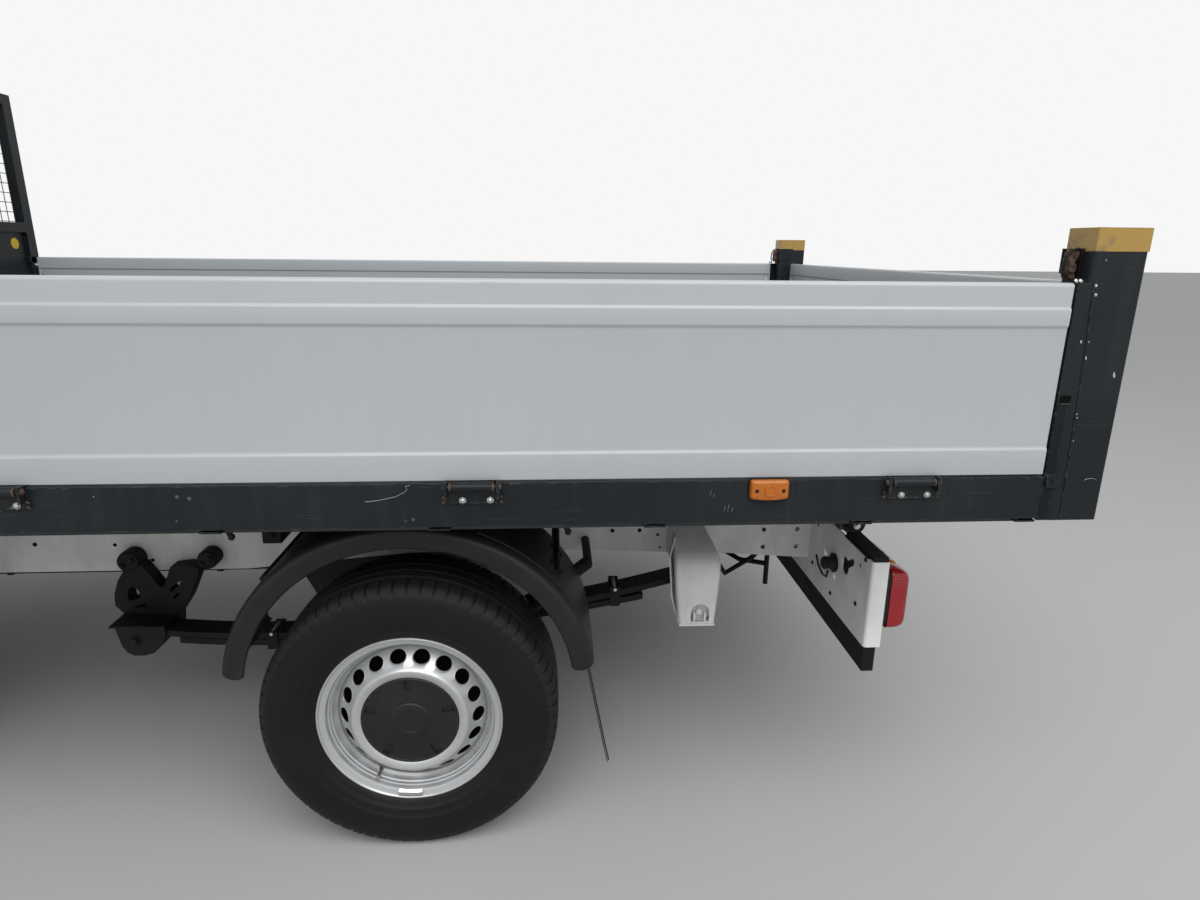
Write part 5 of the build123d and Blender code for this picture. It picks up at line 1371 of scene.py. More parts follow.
@dataclass
class Mudguards:
    """Half-round plastic shells over the rear wheels with a broad rounded band."""

    centre: Flat = (-0.015, 0.457)
    radius: float = 0.408
    spread: float = 1.055
    inner_y: float = 0.702
    face_y: float = 0.990
    band: float = 0.052
    gauge: float = 0.004
    end_height: float = 0.505
    end_round: float = 0.012
    steps: int = 84

    def build(self) -> None:
        """Makes both sides."""
        for side, sign in SIDES:
            shape = Shape(f"mudguard_dressed_{side}")
            self._shell(shape, sign)
            self._details(shape, sign)
            piece = shape.finish("vehicle", crease=38.0)
            if sign > 0:
                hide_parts("mudguards")

    def _shell(self, shape: Shape, sign: int) -> None:
        """The shell and its band, with rounded ends."""
        low = math.asin((self.end_height - self.centre[1]) / self.radius)
        span = math.pi - 2 * low
        shares = [0.0, 0.002, 0.005, 0.010] + [
            0.010 + 0.98 * step / self.steps for step in range(1, self.steps)]
        shares += [0.990, 0.995, 0.998, 1.0]
        rings = []
        for share in shares:
            turn = low + span * share
            rest = self.radius * span * min(share, 1.0 - share)
            short = max(self.end_round - rest, 0.0)
            cut = self.end_round - math.sqrt(max(self.end_round ** 2 - short ** 2, 0.0))
            rings.append([self._point(turn, radius, sign * y) for radius, y in self._section(cut)])
        shape.skin(rings, Surface.GUARD, capped=True)

    def _section(self, cut: float) -> list[Flat]:
        """The shell's section as (radius, y), its edges drawn in by cut."""
        top, low = self.radius - cut, self.radius - self.band + cut
        face, gauge = self.face_y, self.gauge
        return [
            (top, self.inner_y), (top, face - 0.030), (top - 0.0012, face - 0.016),
            (top - 0.005, face - 0.006), (top - 0.012, face - 0.001), (top - 0.018, face),
            (low + 0.010, face), (low + 0.003, face - 0.0012), (low, face - 0.005),
            (low + 0.003, face - 0.006), (low + 0.010, face - gauge), (top - 0.018, face - gauge),
            (top - 0.008, face - 0.009), (top - gauge, face - 0.020), (top - gauge, self.inner_y)]

    def _point(self, turn: float, radius: float, y: float) -> Vector:
        """A point of the arch at an angle from the front."""
        across = self.spread * radius * math.cos(turn)
        return Vector((at(self.centre[0] + across), y, self.centre[1] + radius * math.sin(turn)))

    def _details(self, shape: Shape, sign: int) -> None:
        """Seam bead on the rear shoulder, stays to the rails and their bolts."""
        bead = [
            self._point(math.radians(turn), self.radius + 0.0005, sign * (self.face_y - 0.034))
            for turn in range(112, 147, 2)]
        shape.tube(bead, 0.0022, Surface.GUARD, 8)
        for turn in (38.0, 142.0):
            angle = math.radians(turn)
            inner = self._point(angle, self.radius - 0.002, sign * 0.500)
            outer = self._point(angle, self.radius - 0.002, sign * 0.900)
            shape.tube([inner, outer], 0.0105, Surface.BLACK_STEEL, 16)
            outward = Vector((math.cos(angle), 0, math.sin(angle)))
            for y in (0.76, 0.86):
                spot = self._point(angle, self.radius, sign * y)
                shape.bolt(spot, outward, 0.007, Surface.ZINC)
                strap = [
                    self._point(angle + shift, self.radius + 0.0015, sign * y)
                    for shift in (-0.05, 0, 0.05)]
                shape.tube(strap, 0.009, Surface.BLACK_STEEL, 10, 0.25)


# Boards


@dataclass
class Board:
    """One hinged board of rolled sheet: lips, recessed field, hemmed ends, dents and its hinge tubes."""

    name: str
    length: float
    place: Matrix
    hinges: Sequence[float]
    dents: Sequence[tuple[float, float, float, float]] = ()
    thickness: float = 0.028
    height: float = 0.400
    recess: float = 0.0035
    step: float = 0.02

    def build(self) -> None:
        """Makes the board; the place's axes run along it, outward and up from its lower outer edge."""
        shape = Shape(f"{self.name}_dressed")
        profile = self._profile()
        count = round(self.length / self.step)
        rings = []
        for index in range(count + 1):
            along = self.length * index / count
            rings.append([
                self.place @ Vector((along, -depth - self._dent(along, height, depth), height))
                for depth, height in profile])
        shape.skin(rings, Surface.BOARD, capped=True)
        for end in (0.0, self.length):
            inward = 1 if end == 0.0 else -1
            back = self.thickness - 0.0015
            plate = [
                (self.recess + 0.002, 0.002), (back, 0.002), (back, self.height - 0.004),
                (self.recess + 0.002, self.height - 0.004)]
            turned = self.place @ Matrix(((0, 0, 1, end), (-1, 0, 0, 0), (0, 1, 0, 0), (0, 0, 0, 1)))
            shape.prism(plate, turned, -0.0016, 0.0016, Surface.BOARD)
            for height in (0.075, 0.200, 0.325):
                spot = self.place @ Vector((end + inward * 0.014, -self.thickness - 0.0002 + 0.005, height))
                outward = self.place.to_3x3() @ Vector((0, -1, 0))
                shape.bolt(spot, outward, 0.004, Surface.ZINC, round_head=True)
        for middle in self.hinges:
            self._tube(shape, middle)
        piece = shape.finish(self.name, crease=30.0)
        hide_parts(self.name)

    def _profile(self) -> list[Flat]:
        """Closed section as (depth behind the outer face, height), with rounded folds."""
        corners = [
            (0, 0, 0.002), (0, 0.054, 0.002), (self.recess, 0.060, 0.003), (self.recess, 0.309, 0.003),
            (0, 0.3145, 0.002), (0, 0.3475, 0.002), (0.004, 0.3515, 0.002), (0.0035, 0.394, 0.004),
            (0.008, 0.400, 0.003), (0.0250, 0.400, 0.003), (0.028, 0.396, 0.003), (0.028, 0.352, 0.002),
            (0.0235, 0.347, 0.002), (0.0235, 0.007, 0.002), (0.028, 0, 0.002)]
        return rounded(
            [(depth, height) for depth, height, _ in corners], [reach for _, _, reach in corners], 3)

    def _dent(self, along: float, height: float, depth: float) -> float:
        """How far the outer face is pushed in at a point, by knocks and by the sheet's own waviness."""
        if depth > self.thickness / 2:
            return 0.0
        wave = 0.0004 * math.sin(along * 3.1 + 0.7) * math.sin(height * 9.0 + along)
        for place, middle, reach, push in self.dents:
            wave += push * math.exp(
                -((along - place) / reach) ** 2 - ((height - middle) / (reach * 0.6)) ** 2)
        return wave

    def _tube(self, shape: Shape, middle: float) -> None:
        """Tongue and rolled tube of one hinge, on the fixed pin."""
        half, pivot = 0.045, (0.013, -0.010)
        tongue = [(-0.012, -0.0055), (0.013, -0.0055), (0.013, -0.001), (-0.012, -0.0005)]
        turned = self.place @ Matrix(((0, 0, 1, middle), (1, 0, 0, 0), (0, 1, 0, 0), (0, 0, 0, 1)))
        shape.prism(tongue, turned, -half, half, Surface.DARK)
        axle = turned @ Matrix.Translation((pivot[0], pivot[1], -half))
        profile = [(0, 0.0052), (0, 0.0085), (2 * half, 0.0085), (2 * half, 0.0052)]
        shape.lathe(profile, axle, Surface.DARK, 20, closed=True)
        for edge in (0.0, 2 * half - 0.003):
            shape.lathe([(edge, 0.0088), (edge + 0.003, 0.0088)], axle, Surface.RUST, 20)


def rounded(corners: Sequence[Flat], reaches: Sequence[float], steps: int) -> list[Flat]:
    """A closed outline with its corners rounded.

    Args:
        corners: Its corners.
        reaches: How far each rounding starts from its corner.
        steps: Points across each rounding.

    Returns:
        The rounded outline.
    """
    made = []
    count = len(corners)
    for index, reach in enumerate(reaches):
        middle = Vector(corners[index])
        before, after = Vector(corners[index - 1]), Vector(corners[(index + 1) % count])
        reach = min(reach, (before - middle).length * 0.45, (after - middle).length * 0.45)
        first = middle + (before - middle).normalized() * reach
        last = middle + (after - middle).normalized() * reach
        for step in range(steps + 1):
            share = step / steps
            point = first.lerp(middle, share).lerp(middle.lerp(last, share), share)
            made.append((point.x, point.y))
    return made


def rounded_box(x: Flat, z: Flat, reach: float, steps: int = 4) -> list[Flat]:
    """Outline of a rectangle with rounded corners."""
    corners = [(x[0], z[0]), (x[1], z[0]), (x[1], z[1]), (x[0], z[1])]
    return rounded(corners, [reach] * 4, steps)


@dataclass
class Boards:
    """The two side boards and the tailboard."""

    front: float = 1.950
    rear: float = -1.393
    sill: float = -1.500
    bottom: float = 0.995
    hinge_first: float = 1.662
    hinge_pitch: float = 0.922
    tail_half: float = 0.980

    def build(self) -> None:
        """Makes the three boards."""
        length = self.front - self.rear
        hinges = [self.hinge_first - self.rear - self.hinge_pitch * index for index in range(4)]
        left = Matrix.Translation((at(self.rear), HALF_WIDTH, self.bottom))
        dents = (
            (2.43, 0.392, 0.045, 0.0028), (2.50, 0.372, 0.022, 0.0022), (1.17, 0.390, 0.012, 0.0018),
            (0.40, 0.330, 0.05, 0.0008), (3.05, 0.20, 0.12, 0.0010), (1.75, 0.12, 0.16, 0.0008))
        Board("dropside_left", length, left, hinges, dents).build()
        right = Matrix.Translation((
            at(self.front), -HALF_WIDTH, self.bottom)) @ Matrix.Rotation(math.pi, 4, "Z")
        Board(
            "dropside_right", length, right, [length - place for place in hinges],
            ((0.9, 0.391, 0.02, 0.002), (2.2, 0.15, 0.14, 0.0009))).build()
        tail = Matrix.Translation((
            at(self.sill), -self.tail_half, self.bottom)) @ Matrix.Rotation(math.pi / 2, 4, "Z")
        tail_hinges = [self.tail_half + y for y in TAIL_HINGES]
        Board("tailboard", 2 * self.tail_half, tail, tail_hinges, ((0.7, 0.39, 0.03, 0.002),)).build()


# Bed sides, posts and headboard


@dataclass
class BedSides:
    """What is fixed to the raves: hinge hardware, marker lamps, rope pegs, edge strip and wear marks."""

    hinge_first: float = 1.662
    hinge_pitch: float = 0.922
    lamp_stations: Sequence[float] = (-0.7965, 1.20)
    peg_stations: Sequence[float] = (1.253, 0.331, -0.372)

    def build(self) -> None:
        """Makes both sides' hardware and the tail sill's."""
        for side, sign in SIDES:
            shape = Shape(f"rave_fittings_{side}")
            for index in range(4):
                self._hinge(
                    shape,
                    Matrix.Translation((
                        at(self.hinge_first - self.hinge_pitch * index), sign * HALF_WIDTH, 0)),
                    sign)
            for station in self.peg_stations:
                self._peg(shape, station, sign)
            shape.box(
                (at(-1.393), at(1.950)), (sign * 1.0395, sign * 1.0440), (0.8795, 0.8960), Surface.EDGE)
            shape.finish("bed", bevel=0.0006, crease=35.0)
            for number, station in enumerate(self.lamp_stations):
                self._marker(f"marker_lamp_{side}_{number}", station, sign)
        tail = Shape("tail_sill_fittings")
        for y in TAIL_HINGES:
            turn = Matrix.Translation((at(-1.500), y, 0)) @ Matrix.Rotation(math.pi / 2, 4, "Z")
            self._hinge(tail, turn, 1)
        tail.finish("bed", bevel=0.0006, crease=35.0)
        self._wear()

    def _hinge(self, shape: Shape, place: Matrix, sign: int) -> None:
        """Bolts, curled lobes and end washers of one hinge, outward along the place's Y."""
        outward = place.to_3x3() @ Vector((0, sign, 0))
        for along in (-0.036, 0.020):
            spot = place @ Vector((along, sign * 0.0052, 0.9540))
            shape.bolt(spot, outward, 0.0056, Surface.ZINC, round_head=True)
        for end in (-1, 1):
            for height, reach in ((0.9600, 0.0045), (0.9500, 0.0035)):
                low = place @ Vector((end * 0.0562, sign * 0.001, height - reach))
                high = place @ Vector((end * 0.0570, sign * 0.008, height + reach))
                middle = place @ Vector((end * 0.0600, sign * 0.006, height))
                shape.tube([low, middle, high], 0.0022, Surface.RUST, 8)
            ear = place @ Vector((end * 0.0556, sign * 0.013, 0.985))
            shape.bolt(ear, place.to_3x3() @ Vector((end, 0, 0)), 0.0056, Surface.RUST, round_head=True)
        for height in (0.9485, 0.9765):
            ends = [place @ Vector((along, sign * 0.0055, height)) for along in (-0.049, 0.049)]
            shape.tube(ends, 0.0012, Surface.DARK, 8)

    def _peg(self, shape: Shape, station: float, sign: int) -> None:
        """Rope peg under the rave: a leaning round bar with a swollen tip."""
        x = at(station)
        path = [
            (x + 0.002, sign * 1.030, 0.893), (x, sign * 1.030, 0.880), (x - 0.006, sign * 1.028, 0.864)]
        shape.tube(path, 0.0058, Surface.BLACK_STEEL, 12)
        shape.lathe(
            [(-0.007, 0.0), (-0.006, 0.0052), (0.0, 0.0074), (0.006, 0.0052), (0.007, 0.0)],
            facing((x - 0.006, sign * 1.028, 0.864), (0.3, 0, -1)), Surface.BLACK_STEEL, 16)
        shape.box(
            (x - 0.012, x + 0.012), (sign * 1.020, sign * 1.038), (0.8905, 0.8955), Surface.BLACK_STEEL)

    def _marker(self, name: str, station: float, sign: int) -> None:
        """Amber side marker: ribbed lens on a dark base with two screws."""
        half, low, high = 0.0405, 0.949, 0.992
        x, middle = at(station), (low + high) / 2
        shape = Shape(name)
        base = rounded_box((x - half - 0.002, x + half + 0.002), (low - 0.002, high + 0.002), 0.006)
        face = side_view(0)
        shape.prism(base, face, sign * HALF_WIDTH, sign * (HALF_WIDTH + 0.004), Surface.BLACK_PLASTIC)
        outline = rounded(
            [(x - half, low + 0.003), (x - half * 0.4, low - 0.0005), (x + half * 0.4, low - 0.0005),
             (x + half, low + 0.003), (x + half, high), (x - half, high)],
            [0.006, 0.012, 0.012, 0.006, 0.006, 0.006], 5)
        rings = []
        for shrink, out in (
                (1.0, 0.004), (1.0, 0.009), (0.985, 0.0125), (0.95, 0.0150), (0.88, 0.0168), (0.60, 0.0176),
                (0.2, 0.0178)):
            rings.append([
                Vector((x + (u - x) * shrink, sign * (HALF_WIDTH + out), middle + (v - middle) * shrink))
                for u, v in outline])
        shape.skin(rings, Surface.AMBER_LENS, capped=True)
        for along in (-0.028, 0.028):
            shape.bolt(
                (x + along, sign * (HALF_WIDTH + 0.0172), middle), (0, sign, 0), 0.0030,
                Surface.BLACK_STEEL, round_head=True)
        shape.lathe(
            [(0, 0.0125), (0.0030, 0.0120), (0.0030, 0.0095), (0.0015, 0.0085), (0.0022, 0)],
            facing((x, sign * (HALF_WIDTH + 0.0172), middle), (0, sign, 0)), Surface.AMBER_LENS, 28)
        shape.finish("bed")

    def _wear(self) -> None:
        """Scratches and chips to pale primer on the left rave and posts."""
        shape = Shape("paint_chips")
        scratch = [
            (0.035, 0.952), (0.010, 0.9545), (-0.026, 0.962), (-0.044, 0.971), (-0.051, 0.977),
            (-0.048, 0.984), (-0.057, 0.986)]
        shape.tube([(at(x), HALF_WIDTH + 0.0001, z) for x, z in scratch], 0.0011, Surface.PRIMER, 6, 0.4)
        chips = (
            (-1.425, 1.278, 3.4), (-1.442, 1.278, 1.8), (-1.442, 1.245, 3.0), (-1.510, 1.210, 4.6),
            (-1.446, 1.440, 1.6), (-1.445, 1.127, 1.8), (-1.447, 1.119, 1.8), (-1.448, 1.069, 1.6),
            (-1.438, 1.374, 1.8), (0.560, 0.970, 1.2), (-1.132, 0.989, 2.0), (-1.090, 0.991, 1.5))
        for number, (station, height, size) in enumerate(chips):
            radius = size / 1000
            turns = [2 * math.pi * step / 9 for step in range(9)]
            outline = [
                (radius * (
                     0.55
                     + 0.2 * math.sin(3 * turn + number)) * math.cos(turn) + radius * 0.3 * math.sin(turn),
                 radius * (1.20 + 0.30 * math.cos(2 * turn + number)) * math.sin(turn))
                for turn in turns]
            spot = Matrix.Translation((at(station), 0, height)) @ side_view(0)
            shape.prism(outline, spot, HALF_WIDTH - 0.0002, HALF_WIDTH + 0.00035, Surface.PRIMER)
        for x, z, length in (
                (-0.674, 0.957, 0.011), (-0.681, 0.953, 0.006), (-0.713, 0.922, 0.014),
                (-0.722, 0.920, 0.009), (-0.705, 0.921, 0.012)):
            shape.tube(
                [(at(x), HALF_WIDTH + 0.0001, z), (at(x - 0.002), HALF_WIDTH + 0.0001, z + length)], 0.0007,
                Surface.PRIMER, 6, 0.4)
        mark = [
            (at(-1.503 + 0.014 * math.cos(math.radians(turn))), HALF_WIDTH + 0.0001,
             0.979 + 0.006 * math.sin(math.radians(turn)))
            for turn in range(20, 175, 15)]
        shape.tube(mark, 0.0009, Surface.PRIMER, 6, 0.4)
        shape.finish("bed", crease=35.0)


@dataclass
class RearPosts:
    """Foil bands, latch channels, hooks and bolts of the two rear corner posts."""

    rear: float = -1.534
    front: float = -1.421
    depth: float = 0.084
    corner: float = 0.004
    band_low: float = 1.4565
    top: float = 1.502

    def build(self) -> None:
        """Makes both posts' fittings."""
        for side, sign in SIDES:
            self._band(side, sign)
            self._latch(side, sign)

    def _band(self, side: str, sign: int) -> None:
        """Bare reflective foil wrapped round the post's head."""
        shape = Shape(f"post_band_{side}")
        skin = 0.0009
        inner = HALF_WIDTH - self.depth - skin
        x0, x1 = at(self.rear) - skin, at(self.front) + skin
        reach = self.corner
        outline = rounded(
            [(x0, inner), (x0, HALF_WIDTH + skin), (x1, HALF_WIDTH + skin), (x1, inner)],
            [0.001, reach, reach, 0.001], 6)
        inside = rounded(
            [(x0 + skin, inner), (x0 + skin, HALF_WIDTH), (x1 - skin, HALF_WIDTH), (x1 - skin, inner)],
            [0.001, reach, reach, 0.001], 6)
        levels = [self.band_low, self.band_low + 0.001, self.top - 0.0015, self.top - 0.0002]
        rings = [[Vector((x, sign * y, level)) for x, y in outline] for level in levels]
        rings.append([Vector((x, sign * y, self.top + 0.0006)) for x, y in inside])
        shape.skin(rings, Surface.FOIL, capped=True)
        shape.finish("bed", bevel=0.0004)

    def _latch(self, side: str, sign: int) -> None:
        """Channel strip painted dark as shade, slot as painted shadow, catch and pull hook beside the post's
        front face.
        """
        shape = Shape(f"post_latch_{side}")
        face = sign * (HALF_WIDTH - 0.0008)
        front = at(self.front)
        # Painted shade: a thin dark sheet on the post's face where the channel lies in shade.
        shape.prism(
            [(front + 0.0005, 0.892), (front + 0.0220, 0.892), (front + 0.0220, 1.146),
             (front + 0.0005, 1.146)],
            side_view(0), face, face + sign * 0.0012, Surface.CHANNEL)
        shape.prism(
            rounded_box((front - 0.005, front + 0.018), (1.150, 1.166), 0.003), side_view(0), face,
            face + sign * 0.0013, Surface.SHADOW)
        shape.box(
            (front - 0.004, front + 0.017), (face, face + sign * 0.0022), (1.1478, 1.1502), Surface.EDGE)
        shape.prism(
            [(front - 0.014, 0.966), (front + 0.020, 0.966), (front + 0.020, 0.994), (front - 0.010, 0.994)],
            side_view(0), face, face + sign * 0.006, Surface.DARK)
        shape.bolt((front + 0.004, face + sign * 0.006, 0.980), (0, sign, 0), 0.0045, Surface.BLACK_STEEL)
        fold = [
            (front - 0.008, face + sign * 0.0014, 1.397), (front - 0.016, face + sign * 0.0014, 1.27),
            (front - 0.022, face + sign * 0.0014, 1.10), (front - 0.028, face + sign * 0.0014, 0.900)]
        shape.tube(fold, 0.0016, Surface.DARK, 8)
        self._hook(shape, sign, front)
        shape.finish("bed", bevel=0.0006)

    def _hook(self, shape: Shape, sign: int, front: float) -> None:
        """Rusty pull hook with its pivot, spring strap and bright screws."""
        y = sign * 1.020
        claw = [
            (front + 0.004, 1.402), (front + 0.018, 1.404), (front + 0.024, 1.414), (front + 0.021, 1.428),
            (front + 0.024, 1.440), (front + 0.016, 1.454), (front + 0.003, 1.457), (front - 0.006, 1.448),
            (front + 0.006, 1.444), (front + 0.012, 1.436), (front + 0.004, 1.426), (front + 0.010, 1.416)]
        plane = side_view(y)
        shape.prism(claw, plane, -0.011, 0.011, Surface.RUST)
        for x, z, reach in ((0.013, 1.450, 0.006), (0.016, 1.421, 0.007)):
            shape.lathe(
                [(-0.015, 0), (-0.015, reach), (0.015, reach), (0.015, 0)],
                plane @ Matrix.Translation((front + x, z, 0)), Surface.RUST, 16)
        shape.tube(
            [(front + 0.004, y + sign * 0.006, 1.462), (front + 0.020, y + sign * 0.006, 1.458),
             (front + 0.029, y + sign * 0.006, 1.444), (front + 0.031, y + sign * 0.006, 1.424),
             (front + 0.028, y + sign * 0.006, 1.404)],
            0.0045, Surface.BLACK_STEEL, 10, 0.5)
        shape.box(
            (front - 0.002, front + 0.006), (y - 0.020, y + 0.020), (1.396, 1.462), Surface.BLACK_STEEL)
        for x, z in ((0.0250, 1.3995), (0.0155, 1.3995)):
            shape.bolt(
                (front + x, sign * (HALF_WIDTH - 0.006), z), (0, sign, 0.5), 0.0030, Surface.ZINC,
                round_head=True)
        for x, z in ((-0.014, 1.390), (-0.017, 1.372)):
            shape.bolt(
                (front + x, sign * HALF_WIDTH, z), (0, sign, 0), 0.0024, Surface.ZINC, round_head=True)


@dataclass
class Headboard:
    """Grab tube with its straps, mesh and fixings of the headboard."""

    back: float = 1.955
    mesh_low: float = 1.545
    mesh_high: float = 2.018
    mesh_pitch: float = 0.040

    def build(self) -> None:
        """Makes the tube, the mesh and the feet."""
        shape = Shape("headboard_fittings")
        x = at(self.back) + 0.030
        for sign in (1, -1):
            y = sign * 0.950
            shape.tube([(x - 0.010, y, 1.452), (x + 0.090, y, 1.452)], 0.0240, Surface.YELLOW, 24)
            for along in (-0.0105, 0.091):
                shape.lathe(
                    [(0, 0.0245), (0.003, 0.0250), (0.006, 0.0225), (0.007, 0)],
                    facing((x + along, y, 1.452), (math.copysign(1, along), 0, 0)), Surface.YELLOW, 24)
            for along in (0.006, 0.052):
                shape.tube(
                    [(x + along, y, 1.452), (x + along + 0.018, y, 1.452)], 0.0262, Surface.BLACK_PLASTIC,
                    24)
            shape.box((x - 0.030, x + 0.014), (sign * 1.005, sign * 1.062), (1.372, 1.396), Surface.DARK)
            for z in (1.020, 1.200, 1.360):
                shape.bolt((at(self.back) - 0.0002, sign * 1.040, z), (-1, 0, 0), 0.0075, Surface.ZINC)
        half = 1.008
        wire_x = at(self.back) + 0.0335
        count = round(2 * half / self.mesh_pitch)
        for index in range(count + 1):
            y = -half + 2 * half * index / count
            shape.tube(
                [(wire_x, y, self.mesh_low - 0.006), (wire_x, y, self.mesh_high + 0.004)], 0.0017,
                Surface.DARK, 6)
        rows = round((self.mesh_high - self.mesh_low) / self.mesh_pitch)
        for index in range(rows + 1):
            z = self.mesh_low + (self.mesh_high - self.mesh_low) * index / rows
            shape.tube(
                [(wire_x + 0.003, -half - 0.006, z), (wire_x + 0.003, half + 0.006, z)], 0.0017,
                Surface.DARK, 6)
        for z in (1.110, 1.310):
            shape.prism(
                [(-1.012, z - 0.028), (1.012, z - 0.028), (1.002, z - 0.018), (1.002, z + 0.018),
                 (1.012, z + 0.028), (-1.012, z + 0.028), (-1.002, z + 0.018), (-1.002, z - 0.018)],
                end_view(at(self.back)), 0.0105, 0.0150, Surface.DARK)
        shape.finish("bed", bevel=0.0005)


# Chassis at the rear


@dataclass
class Hangers:
    """Pressed rear spring hangers: sloped head, tapered leg, flared flange and a recess at the foot."""

    outer: float = 0.700
    gauge: float = 0.004
    recess: Flat = (-0.748, 0.489)
    recess_radius: float = 0.0255
    fold: float = 0.011
    depth: float = 0.024
    spine: Sequence[tuple[float, float, float, float]] = (
        (-0.690, -0.790, 0.700, 0.452), (-0.686, -0.793, 0.700, 0.490), (-0.682, -0.796, 0.700, 0.530),
        (-0.678, -0.799, 0.700, 0.570), (-0.676, -0.801, 0.699, 0.606), (-0.676, -0.802, 0.694, 0.628),
        (-0.677, -0.801, 0.682, 0.645), (-0.678, -0.798, 0.664, 0.657), (-0.679, -0.791, 0.630, 0.673),
        (-0.680, -0.778, 0.575, 0.699), (-0.681, -0.766, 0.520, 0.725), (-0.682, -0.764, 0.503, 0.733))

    def build(self) -> None:
        """Makes both hangers."""
        for side, sign in SIDES:
            shape = Shape(f"spring_hanger_{side}")
            self._leg(shape, sign)
            self._foot(shape, sign)
            piece = shape.finish("vehicle", bevel=0.0018)
            if sign > 0:
                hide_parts("spring_hangers")

    def _leg(self, shape: Shape, sign: int) -> None:
        """Outer face with its hole, rounded edges and head, webs and front flange."""
        lowest, split = self.spine[0], self.spine[2]
        face = [
            (at(split[0] - self.fold), split[3]), (at(lowest[0] - self.fold), lowest[3]),
            (at(lowest[1] + self.fold), lowest[3]), (at(split[1] + self.fold), split[3])]
        x, z = at(self.recess[0]), self.recess[1]
        hole = arc((x, z), self.recess_radius, 0, 180, 14)
        hole += [(x - self.recess_radius, z - 0.029), (x + self.recess_radius, z - 0.029)]
        shape.punched(
            face, [hole], side_view(0), sign * (self.outer - self.gauge), sign * self.outer,
            Surface.CHASSIS)
        sections = [self._section(index, sign) for index in range(len(self.spine))]
        half = len(sections[0]) // 4
        shape.skin(sections[2:], Surface.CHASSIS, capped=True)
        for first, last in ((0, half), (half, 2 * half)):
            rings = [
                section[first:last] + section[len(section) - last:len(section) - first]
                for section in sections[:3]]
            shape.skin(rings, Surface.CHASSIS, capped=True)
        rear_web = [
            (-0.800, 0.684, 0.634), (-0.790, 0.684, 0.452), (-0.790, 0.640, 0.452), (-0.798, 0.610, 0.590),
            (-0.799, 0.502, 0.625), (-0.764, 0.502, 0.720)]
        front_web = [
            (-0.680, 0.684, 0.634), (-0.690, 0.684, 0.452), (-0.690, 0.640, 0.452), (-0.683, 0.610, 0.590),
            (-0.682, 0.502, 0.600), (-0.682, 0.502, 0.720)]
        flare = [
            (-0.683, 0.640, 0.690), (-0.664, 0.668, 0.640), (-0.674, 0.664, 0.520), (-0.690, 0.660, 0.456),
            (-0.690, 0.640, 0.452), (-0.683, 0.612, 0.590), (-0.682, 0.560, 0.680)]
        for corners in (rear_web, front_web, flare):
            shape.plate([(at(px), sign * py, pz) for px, py, pz in corners], self.gauge, Surface.CHASSIS)

    def _section(self, index: int, sign: int) -> list[Vector]:
        """Closed section of the rounded channel at a point of its spine: outside there, inside back."""
        front, rear, y, z = self.spine[index]
        before, after = self.spine[max(index - 1, 0)], self.spine[min(index + 1, len(self.spine) - 1)]
        outward = Vector((after[3] - before[3], before[2] - after[2])).normalized()
        made = []
        for gauge in (0.0, self.gauge):
            reach = self.fold - gauge
            rows = [(front - gauge, self.depth)]
            rows += [
                (front - self.fold + reach * math.cos(turn), self.fold - reach * math.sin(turn))
                for turn in (math.pi / 2 * step / 5 for step in range(6))]
            rows += [(front + rear - x, inward) for x, inward in reversed(rows)]
            points = [
                Vector((at(x), sign * (y - outward.x * inward), z - outward.y * inward))
                for x, inward in rows]
            made += points if gauge == 0.0 else points[::-1]
        return made

    def _foot(self, shape: Shape, sign: int) -> None:
        """Cup behind the hole with its pin, and the lip along the bottom."""
        x, z = at(self.recess[0]), self.recess[1]
        cup = [
            (0, self.recess_radius), (-0.020, self.recess_radius * 0.96),
            (-0.022, self.recess_radius * 0.8), (-0.022, 0)]
        plane = facing((x, sign * (self.outer - 0.003), z), (0, sign, 0))
        shape.lathe(cup, plane, Surface.CHASSIS, 32)
        shape.lathe(
            [(-0.022, 0.009), (-0.008, 0.0088), (-0.006, 0.006), (-0.006, 0)],
            plane @ Matrix.Translation((0, -0.004, 0)), Surface.CHASSIS, 20)
        shape.box(
            (x - 0.0255, x + 0.0255), (sign * (self.outer - 0.022), sign * (self.outer + 0.001)),
            (z - 0.032, z - 0.0275), Surface.CHASSIS)
        for along in (-0.017, 0.012):
            shape.box(
                (x + along, x + along + 0.005), (sign * (self.outer - 0.018), sign * (self.outer - 0.002)),
                (z - 0.028, z - 0.002), Surface.CHASSIS)
        shape.box(
            (at(-0.7895), at(-0.6905)), (sign * 0.652, sign * (self.outer + 0.0025)), (0.4500, 0.4560),
            Surface.CHASSIS)
        shape.lathe(
            [(0, 0.021), (0.006, 0.020), (0.008, 0.012), (0.020, 0.011), (0.022, 0)],
            facing((at(-0.735), sign * 0.612, 0.560), (0, -sign, 0)), Surface.BLACK_STEEL, 24)


